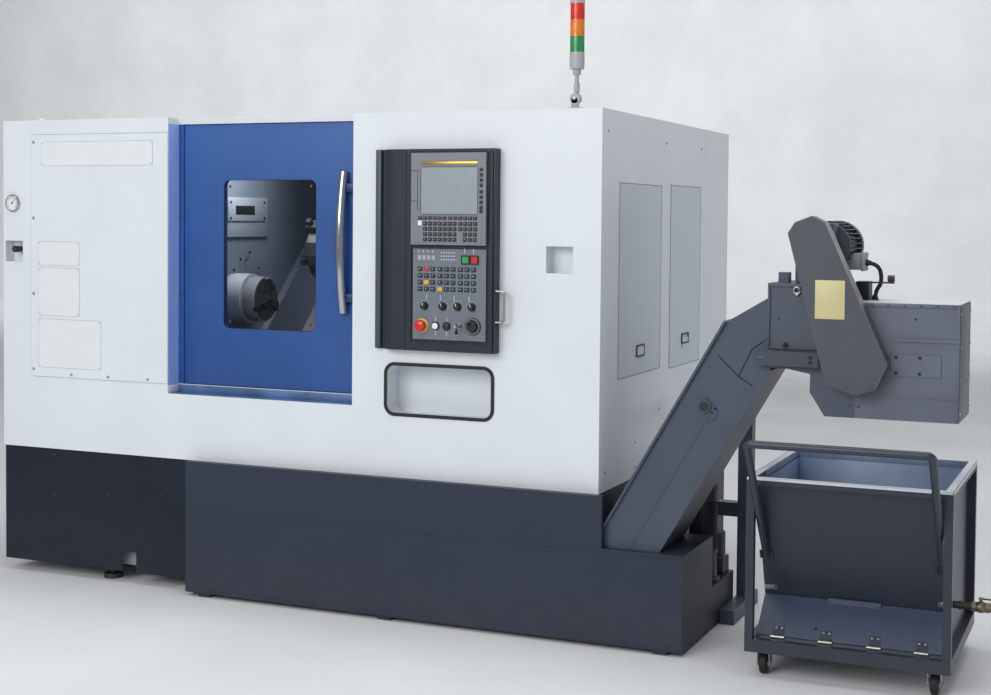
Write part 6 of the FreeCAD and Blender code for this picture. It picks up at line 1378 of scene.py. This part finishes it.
# the tall pump, and beside it the low one with the two boxes of both, each from corner to corner
pump = dict(axis=(242, 420), base=150, neck=430, top=500, slots=28, lowAxis=(257, 550), boxHeight=60,
            boxes=[((192, 460), (240, 500), 4), ((222, 510), (292, 590), 5)])
base, neck, top = pump["base"], pump["neck"], pump["top"]
bm = bmesh.new()
place = Vector((*pump["axis"], 0))
addLathe(bm, place, axisZ, [(base, 60), (base + 10, 60), (base + 12, 50), (base + 90, 47), (base + 96, 52),
                            (base + 108, 52), (base + 112, 40), (neck, 40), (neck, 54), (top - 14, 54),
                            (top - 4, 46), (top, 20), (top, 0)], 40)
for lower, upper, rounding in pump["boxes"]:
    addBox(bm, (*lower, base), (*upper, base + pump["boxHeight"]), rounding)
addLathe(bm, (*pump["lowAxis"], base + pump["boxHeight"] - 2), axisZ,
         [(0, 26), (6, 26), (8, 30), (86, 30), (92, 24), (92, 0)], 32)
piece("coolantPumps", bm, "machine", finish["pumpGrey"], "pump_grey", standsFor=["coolant_pumps"])
growCopies("pumpFins", "ring", bar((-1.2, 38, base + 114), (1.2, 49, neck - 2), 0.4), finish["pumpGrey"],
           "machine", centre=place, Count=pump["slots"], Axis=(0, 0, 1), Start=0.0,
           Step=2 * math.pi / pump["slots"])
print("tank and pumps dressed")

# chip cart
cart = dict(x=(534, 1148), y=(-150, 500), rimTop=618, rimWear=(3, 24), tubeRadius=11.9, handleX=(574, 1108),
            foot=(-36.2, 357), corner=(-320, 745), bend=15, frontPlace=(14, 225), frontRise=(-141, 371),
            latchX=(580, 1110), latchZ=250, hingeX=(627, 773, 919, 1058), hingePlace=(-102, 119),
            hingeRadius=5.4, hingeLength=42, leafRun=(9.5, 40.5), screwRun=32)
# the rim's top, the top of its front face and its right face in pale metal: wear and painted highlight
bm = bmesh.new()
(x0, x1), (y0, y1) = cart["x"], cart["y"]
top = cart["rimTop"]
outer, inner = cart["rimWear"]
addRing(bm, roundedOutline((x0 + outer, y0 + outer), (x1 - outer, y1 - outer), 2, 2),
        roundedOutline((x0 + inner, y0 + inner), (x1 - inner, y1 - inner), 2, 2), (top, top + 0.4),
        plane="xy")
addBox(bm, (x0 + 2, y0 - 0.5, top - 7), (x1 - 2, y0, top + 0.2), 0.2)
addBox(bm, (x1, y0 + 2, top - 9), (x1 + 0.5, y1 - 2, top + 0.2), 0.2)
piece("rimWear", bm, "chip_cart", finish["cartLipWearAndHighlight"], "cart_grey")
# pale sheets on the tub's inner walls and rims: painted reflection
bm = bmesh.new()
addBox(bm, (563, 471.4, 108), (1119, 472, 594), 0.2)
addBox(bm, (562, 20, 240), (562.6, 470, 594), 0.1)
addBox(bm, (1119.4, 20, 240), (1120, 470, 594), 0.1)
addBox(bm, (561, 473.2, 593), (1121, 473.8, 617.8), 0.2)
addBox(bm, (560.2, 0, 597), (560.8, 473, 617.8), 0.2)
piece("tubLining", bm, "chip_cart", finish["cartInsideReflection"], "cart_grey")
bm = bmesh.new()
handlePoints = [(cart["handleX"][0], *cart["foot"]), (cart["handleX"][0], *cart["corner"]),
                (cart["handleX"][1], *cart["corner"]), (cart["handleX"][1], *cart["foot"])]
addTube(bm, roundedPath(handlePoints, cart["bend"], 10), cart["tubeRadius"], 24)
piece("cartHandle", bm, "chip_cart", finish["cartTube"], "cart_grey", standsFor=["cart_handle"])

frontUp = Vector((0, *cart["frontRise"])).normalized()
frontOut = Vector((0, -frontUp.z, frontUp.y))


def onFront(x, z, out=0.0):
    # a place on the tub's slanted front, out mm off it
    y, base = cart["frontPlace"]
    return Vector((x, y + (z - base) * cart["frontRise"][0] / cart["frontRise"][1], z)) + frontOut * out


def addSlab(bm, corners, rise):
    # a slab over four corners, raised by a vector
    lower = [bm.verts.new(each) for each in corners]
    upper = [bm.verts.new(each + rise) for each in corners]
    for index in range(4):
        after = (index + 1) % 4
        bm.faces.new([lower[index], lower[after], upper[after], upper[index]])
    bm.faces.new(lower)
    bm.faces.new(list(reversed(upper)))


bm = bmesh.new()
for x in cart["handleX"]:
    for side in (-1, 1):
        addTube(bm, [onFront(x + side * 17, 349, 0.5), onFront(x + side * 17, 372, 0.5)], 5, 10)
piece("handleWelds", bm, "chip_cart", finish["cartGrey"], "cart_grey")
bm = bmesh.new()
for x in cart["latchX"]:
    centre = onFront(x, cart["latchZ"])
    for reach, thick, out in ((19.8, 8, 3.0), (10.8, 5, 7.0)):
        corners = [centre + axisX * (across * reach) + frontUp * (rise * thick)
                   for across, rise in ((-1, -1), (1, -1), (1, 1), (-1, 1))]
        addSlab(bm, corners, frontOut * out)
piece("cartLatches", bm, "chip_cart", finish["zinc"], "ground_steel")
flapRun = Vector((0, 116, 106)).normalized()
flapOut = Vector((0, -flapRun.z, flapRun.y))
barrels, leaves = bmesh.new(), bmesh.new()
hingeBolts = []
third = cart["hingeLength"] / 3
leafStart, leafEnd = cart["leafRun"]
for x in cart["hingeX"]:
    middle = Vector((x, *cart["hingePlace"]))
    hingeLine = middle - axisX * (cart["hingeLength"] / 2) + flapOut * 3
    addLathe(barrels, hingeLine, axisX,
             [(0, cart["hingeRadius"]), (cart["hingeLength"], cart["hingeRadius"])], 18)
    for part in range(3):
        addLathe(barrels, hingeLine + axisX * (third * part + 0.6), axisX, [(0, 6), (third - 1.2, 6)], 18)
    near, far = middle + flapOut * 3 + flapRun * leafStart, middle + flapOut * 3 + flapRun * leafEnd
    addSlab(leaves, [near - axisX * 18, near + axisX * 18, far + axisX * 15, far - axisX * 15], flapOut * 2)
    hingeBolts += [middle + axisX * side + flapOut * 5 + flapRun * cart["screwRun"] for side in (-9, 9)]
piece("flapHinges", barrels, "chip_cart", finish["zinc"], "ground_steel")
piece("hingeLeaves", leaves, "cart_flap", finish["cartGrey"], "cart_grey")
screws("hingeScrews", hingeBolts, flapOut, "cart_flap", "zinc", 3.4, 0.9)
# a black disc on the flap for its hole: painted shade
bm = bmesh.new()
addLathe(bm, Vector((738, -54, 163)) - flapRun * 20 + flapOut * 3, flapOut, [(0, 5), (0.4, 5), (0.4, 0)], 24)
piece("flapHole", bm, "cart_flap", finish["softBlack"], "trim_black")

# casters: a plate with four nuts, a swivel, two fork cheeks on an axle, and a wheel with its hub
caster = dict(inset=(50, 60), plateHalf=30, plateZ=(74, 78), bridge=(20.2, 20), bridgeZ=(66, 69),
              cheekInside=17.2, cheekThickness=3,
              cheek=[(-20, 68), (20, 68), (16, 44), (9, 26), (0, 22), (-9, 26), (-16, 44)],
              axleZ=34, axleHalf=24, nutSpread=22, nutZ=71, wheelHalf=13, wheelRadius=34)
forks, wheels = bmesh.new(), bmesh.new()
half, r = caster["wheelHalf"], caster["wheelRadius"]
plate, nut = caster["plateHalf"], caster["nutSpread"]
wide, deep = caster["bridge"]
tyreProfile = [(0, 12), (0, r - 10), (1.5, r - 6), (3, r - 2), (7, r), (half, r), (2 * half - 7, r),
               (2 * half - 3, r - 2), (2 * half - 1.5, r - 6), (2 * half, r - 10), (2 * half, 12)]
hubProfile = [(0, 11), (3, 13), (2 * half + 3, 13), (2 * half + 6, 11)]
for x in (cart["x"][0] + caster["inset"][0], cart["x"][1] - caster["inset"][0]):
    for y in (cart["y"][0] + caster["inset"][1], cart["y"][1] - caster["inset"][1]):
        addBox(forks, (x - plate, y - plate, caster["plateZ"][0]),
               (x + plate, y + plate, caster["plateZ"][1]), 1)
        addLathe(forks, (x, y, caster["bridgeZ"][0]), axisZ, [(0, 18), (3, 23), (8, 23)], 28)
        for side in (-1, 1):
            inside = x + side * caster["cheekInside"]
            span = tuple(sorted((inside, inside + side * caster["cheekThickness"])))
            addPrism(forks, [(y + along, z) for along, z in caster["cheek"]], span, plane="yz")
        addBox(forks, (x - wide, y - deep, caster["bridgeZ"][0]), (x + wide, y + deep, caster["bridgeZ"][1]),
               0.8)
        addLathe(forks, (x - caster["axleHalf"], y, caster["axleZ"]), axisX,
                 [(0, 5), (3, 6.5), (45, 6.5), (48, 5)], 6)
        for across in (-nut, nut):
            for along in (-nut, nut):
                addLathe(forks, (x + across, y + along, caster["nutZ"]), axisZ, [(0, 5), (3, 5)], 6)
        addLathe(wheels, (x - half, y, caster["axleZ"]), axisX, tyreProfile, 40, 0)
        addLathe(wheels, (x - half - 3, y, caster["axleZ"]), axisX, hubProfile, 24, 1)
piece("casterForks", forks, "chip_cart", finish["zinc"], "ground_steel", standsFor=["cart_casters"])
piece("casterWheels", wheels, "chip_cart", [finish["softBlack"], finish["towerGrey"]], "edging_rubber")

drain = dict(y=60, z=240, pipe=(1123, 1188))
bm = bmesh.new()
start = Vector((0, drain["y"], drain["z"]))
addLathe(bm, start, axisX, [(drain["pipe"][0], 11), (drain["pipe"][1], 11)], 24, 1)
addLathe(bm, start, axisX, [(1146, 14), (1152, 14), (1152, 11)], 24, 1)
addLathe(bm, start, axisX, [(1184, 16), (1196, 16)], 6, 0)
addLathe(bm, start, axisX, [(1194, 12), (1198, 15), (1206, 17.5), (1214, 17.5), (1222, 15), (1226, 12)], 28,
         0)
addLathe(bm, start, axisX, [(1224, 16), (1236, 16)], 6, 0)
addLathe(bm, start, axisX, [(1236, 12.4), (1250, 12.4), (1250, 9), (1240, 9), (1240, 0)], 24, 0)
addLathe(bm, (1210, drain["y"], drain["z"] + 14), axisZ, [(0, 5), (10, 5), (10, 7.5), (14.6, 7.5), (14.6, 0)],
         18, 0)
addBox(bm, (1203, drain["y"] - 6, 264), (1262, drain["y"] + 6, 267), 1.2, 1)
piece("drainValve", bm, "chip_cart", [finish["brass"], finish["black"]], "chuck_steel",
      standsFor=["drain_valve"])
print("chip cart dressed")

# covers, skirt and back
skirt = dict(face=10, screws=((-2249, 314), (-1996, 334), (-1742, 354), (-2440, 314), (-2249, 470),
                              (-1742, 470)))
skirtScrews = [(x, skirt["face"], z) for x, z in skirt["screws"]]
screws("skirtScrews", skirtScrews, (0, -1, 0), "machine", "darkSteel", 5.0, 2.6)
# right side: service panels and their sunk pulls as y and z bounds, and the screws
backY = boxOf("right_cover")[1].y
side = dict(panels=[(186, 655, 862, 1529), (781, backY - 47, 849, 1535)], seam=3, hingeSeam=10,
            pulls=[(376, 467, 920, 964), (932, 1028, 927, 969)], pullDepth=(2.0, 5.8),
            screws=[(663, 708), (383, 619), (386, 531), (60, 560), (60, 1700), (715, 1690), (1190, 1690),
                    (1190, 560), (715, 560)])
# the gaps round the service panels as grey strips of painted shade, wider on the hinge side
bm = bmesh.new()
for y0, y1, z0, z1 in side["panels"]:
    before, after = y0 - side["seam"], y1 + side["hingeSeam"]
    under, over = z0 - side["seam"], z1 + side["seam"]
    addRing(bm, [(before, under), (after, under), (after, over), (before, over)],
            [(y0, z0), (y1, z0), (y1, z1), (y0, z1)], (0, 0.8), plane="yz")
piece("sidePanelSeams", bm, "machine", finish["seamShadeGrey"], "cover_white")
# dark rings round the sunk pulls: painted shade of their recesses
bm = bmesh.new()
for y0, y1, z0, z1 in side["pulls"]:
    addRing(bm, roundedOutline((y0, z0), (y1, z1), 7), roundedOutline((y0 + 9, z0 + 7), (y1 - 9, z1 - 7), 4),
            side["pullDepth"], plane="yz")
piece("sidePulls", bm, "machine", finish["darkTrim"], "trim_black")
sideScrews = [(0, y, z) for y, z in side["screws"]]
screws("sideScrews", sideScrews, (1, 0, 0), "machine", "zinc", 5.0, 2.4)
louvre = dict(length=380, pitch=26, rows=12, x=(-2060, -1560), z=700,
              profile=[(0, 0), (0, 14), (7, 2), (7, 0)])
back = dict(face=1615, doorFace=1633.0, hingeZ=(700, 1130, 1560), screwX=(-2450, -60, -1200, -640),
            screwZ=(540, 1130, 1740), seamX=(-1150, -600, -50))
doorLow = boxOf("cabinet_door")[0]
rearFace, backFace = back["face"], back["doorFace"]
bm = bmesh.new()
addPrism(bm, louvre["profile"], (-louvre["length"] / 2, louvre["length"] / 2), plane="yz")
for x in louvre["x"]:
    growCopies("doorLouvres" + str(-x), "row", bm.copy(), finish["sideWhite"], "cabinet_door",
               centre=(x, backFace, louvre["z"]), Count=louvre["rows"], Step=(0, 0, louvre["pitch"]))
bm.free()
bm = bmesh.new()
for z in back["hingeZ"]:
    addLathe(bm, (doorLow.x - 4, backFace - 9, z - 40), axisZ, [(0, 7), (80, 7)], 20)
    addBox(bm, (doorLow.x - 40, rearFace, z - 34), (doorLow.x - 4, rearFace + 3, z + 34), 1)
piece("cabinetHinges", bm, "machine", finish["zinc"], "ground_steel")
rearScrews = [(x, rearFace, z) for x in back["screwX"] for z in back["screwZ"]]
screws("rearScrews", rearScrews, (0, 1, 0), "machine", "zinc", 5.0, 2.4)
bm = bmesh.new()
for x in back["seamX"]:
    addBox(bm, (x - 3, rearFace, 520), (x + 3, rearFace + 1.5, 1760), 0.6)
addBox(bm, (-2478, rearFace, 512), (-12, rearFace + 1.5, 518), 0.6)
piece("rearSeams", bm, "machine", finish["sideWhite"], "cover_white")
bm = bmesh.new()
roof = dict(top=1772, seamX=(-1630, -1600), seamY=(70, 1225),
            eyes=((-2400, 120), (-2400, 1120), (-90, 1120), (-1240, 1120)))
for x in roof["seamX"]:
    addBox(bm, (x, roof["seamY"][0], roof["top"]), (x + 3, roof["seamY"][1], roof["top"] + 1.4), 0.5)
for x, y in roof["eyes"]:
    addLathe(bm, (x, y, roof["top"] - 1), axisZ,
             [(0, 20), (3, 20), (5, 16), (16, 12), (16, 6), (8, 6), (8, 0)], 24)
piece("roofFittings", bm, "machine", finish["sideWhite"], "cover_white")
print("covers dressed")

# inside the cabin
# the bed's slanted plane starts at (y, z); the way cover's seams leave out the part under the cross slide
cabin = dict(bedStart=(450, 707.74), seamX=(-1455, -860, 66), seamGap=(-1290, -1070), seamRun=(12, 788),
             seamLift=(72, 74), spindle=(400, 1082), wallX=-1672.0, turretFace=-1392.5,
             turretPlace=(499.27, 300), boltCircle=98, stations=12,
             lampPanel=((215, 1324), (627, 1482)), lampBox=((332, 1387), (605, 1474)),
             lampWindow=((382, 1412), (520, 1448)), lampScrewY=(346, 591), lampScrewZ=(1399, 1462),
             wallScrews=[(383, 1193), (565, 1196), (495, 1261), (383, 1148), (430, 1235), (470, 1233)])


def slope(run, lift):
    # a point on the slanted bed: run mm along it and lift mm off it
    root = math.sqrt(0.5)
    return cabin["bedStart"][0] + (run - lift) * root, cabin["bedStart"][1] + (run + lift) * root


bm = bmesh.new()
(near, far), (under, over) = cabin["seamRun"], cabin["seamLift"]
for x in range(*cabin["seamX"]):
    if cabin["seamGap"][0] < x < cabin["seamGap"][1]:
        continue
    addPrism(bm, [slope(near, under), slope(far, under), slope(far, over), slope(near, over)], (x, x + 5),
             plane="yz")
piece("wayCoverSeams", bm, "saddle", finish["coverSteel"], "liner_steel")
spindleAxis = Vector((0, *cabin["spindle"]))
wallX = cabin["wallX"]
chuckFace = boxOf("chuck_body")[1].x
bm = bmesh.new()
addLathe(bm, (chuckFace - 0.2, 0, 64), axisX, [(0, 6), (2.6, 6), (3.4, 5), (3.4, 3), (1.2, 3), (1.2, 0)], 18)
growCopies("chuckBolts", "ring", bm, finish["darkSteel"], "spindle", centre=spindleAxis, Count=3,
           Axis=(1, 0, 0), Start=math.radians(60), Step=math.radians(120))
bm = bmesh.new()
addLathe(bm, spindleAxis + axisX * wallX, axisX, [(0, 98.4), (0, 100), (2, 99.6), (2, 98.4)], 64,
         closed=False)
piece("noseSeam", bm, "machine", finish["liningShadedGrey"], "head_enamel")
bm = bmesh.new()
lower, upper = cabin["lampPanel"]
addBox(bm, (wallX, *lower), (wallX + 3, *upper), 0.8)
lower, upper = cabin["lampBox"]
addBox(bm, (wallX + 3, *lower), (wallX + 9, *upper), 1.5)
piece("lampPanel", bm, "machine", finish["lampGrey"], "head_enamel")
bm = bmesh.new()
lower, upper = cabin["lampWindow"]
addBox(bm, (wallX + 9, *lower), (wallX + 9.6, *upper), 0.2)
piece("lampWindow", bm, "machine", finish["black"], "trim_black")
lampScrews = [(wallX + 9, y, z) for y in cabin["lampScrewY"] for z in cabin["lampScrewZ"]]
screws("lampScrews", lampScrews, (1, 0, 0), "machine", "darkSteel", 5.5, 3.0)
wallScrews = [(wallX, y, z) for y, z in cabin["wallScrews"]]
screws("wallScrews", wallScrews, (1, 0, 0), "machine", "darkSteel", 6.0, 3.5)
turretY, turretZ = slope(*cabin["turretPlace"])
turretX = cabin["turretFace"]
bm = bmesh.new()
addLathe(bm, (turretX, 0, cabin["boltCircle"]), -axisX, [(0, 7), (4, 7), (4, 3.4), (1, 3.4), (1, 0)], 16)
growCopies("turretBolts", "ring", bm, finish["steel"], "turret", centre=(0, turretY, turretZ),
           Count=cabin["stations"], Axis=(1, 0, 0), Start=math.radians(15), Step=math.radians(30))
bm = bmesh.new()
addLathe(bm, (turretX, turretY, turretZ), -axisX, [(0, 46), (4, 46), (6, 42), (6, 0)], 40)
piece("turretCap", bm, "turret", finish["steel"], "chuck_steel")
print("cabin dressed")

# floor, lights and camera
stage = dict(reach=22.0, backdrop=15.0, bend=2.5, height=12.0, world=0.4,
             cameraPlace=(2.2747, -5.37485, 1.4008), lens=55.05, shiftY=-0.0754, turn=23.4, down=2.0,
             roll=0.5)
reach = stage["reach"]
profile = [(-reach, 0.0)]
for step in range(17):
    turn = math.pi / 2 * step / 16
    profile.append((stage["backdrop"] + stage["bend"] * math.sin(turn), stage["bend"] * (1 - math.cos(turn))))
profile.append((profile[-1][0], stage["height"]))
corners = [(side * reach, y, z) for y, z in profile for side in (-1, 1)]
floorMesh = bpy.data.meshes.new("floor")
floorMesh.from_pydata(corners, [],
                      [(2 * i, 2 * i + 1, 2 * i + 3, 2 * i + 2) for i in range(len(profile) - 1)])
floorMesh.shade_smooth()
floorObject = bpy.data.objects.new("floor", floorMesh)
floorMaterial, tree, shader, vector = newMaterial("paleFloor")
tone = placeGroup(tree, toneTree, vector, Scale=0.8, Grain=40.0)
tree.links.new(mixColor(tree, tone.outputs["Tone"], linear((226, 228, 230)), linear((236, 238, 240))),
               shader.inputs["Base Color"])
shader.inputs["Roughness"].default_value = 0.7
floorMesh.materials.append(floorMaterial)
bpy.context.scene.collection.objects.link(floorObject)


def areaLight(name, place, target, size, power, tint=(1, 1, 1)):
    light = bpy.data.lights.new(name, "AREA")
    light.shape = "RECTANGLE"
    light.size, light.size_y = size
    light.energy = power
    light.color = tint
    obj = bpy.data.objects.new(name, light)
    aim = Vector(target) - Vector(place)
    obj.matrix_world = Matrix.Translation(place) @ aim.to_track_quat("-Z", "Y").to_matrix().to_4x4()
    bpy.context.scene.collection.objects.link(obj)


lights = {
    "keyLight": ((-1.0, -7.0, 3.6), (0, -0.6, 0.9), (4.5, 3.0), 240, (1, 0.995, 0.985)),
    "rightLight": ((6.2, -1.0, 0.9), (1.4, 0, 0.4), (2.0, 1.2), 24, (0.98, 0.99, 1)),
    "topLight": ((0.5, -0.3, 5.2), (0.5, 0, 0), (5.0, 4.0), 130, (0.98, 0.99, 1)),
    "backLight": ((3.0, 5.5, 4.0), (0.6, 0, 1.0), (4.0, 2.0), 25, (1, 1, 1)),
    "backdropLight": ((-7.0, 11.0, 6.5), (-7.0, 17.5, 2.5), (22.0, 1.5), 560, (1, 1, 1)),
    "cabinLight": ((-0.84, -0.34, 1.68), (-0.98, -0.1, 1.0), (0.3, 0.12), 2.2, (1, 1, 1)),
}
for lightName, (place, target, size, power, tint) in lights.items():
    areaLight(lightName, place, target, size, power, tint)
world = bpy.data.worlds.new("studio")
world.use_nodes = True
world.node_tree.nodes["Background"].inputs["Color"].default_value = (0.86, 0.88, 0.9, 1)
world.node_tree.nodes["Background"].inputs["Strength"].default_value = stage["world"]
bpy.context.scene.world = world
bpy.context.scene.view_settings.view_transform = "Standard"

yaw, pitch, roll = (math.radians(stage[key]) for key in ("turn", "down", "roll"))
forward = Vector((-math.sin(yaw) * math.cos(pitch), math.cos(yaw) * math.cos(pitch), -math.sin(pitch)))
right = Vector((math.cos(yaw), math.sin(yaw), 0))
up = right.cross(forward)
tiltedRight = right * math.cos(roll) + up * math.sin(roll)
tiltedUp = up * math.cos(roll) - right * math.sin(roll)
cameraData = bpy.data.cameras.new("camera")
cameraData.sensor_fit = "HORIZONTAL"
cameraData.sensor_width = 36
cameraData.lens = stage["lens"]
cameraData.shift_y = stage["shiftY"]
cameraObject = bpy.data.objects.new("camera", cameraData)
cameraObject.matrix_world = Matrix.Translation(stage["cameraPlace"]) @ Matrix(
    (tiltedRight, tiltedUp, -forward)).transposed().to_4x4()
bpy.context.scene.collection.objects.link(cameraObject)
bpy.context.scene.camera = cameraObject
print("stage set")
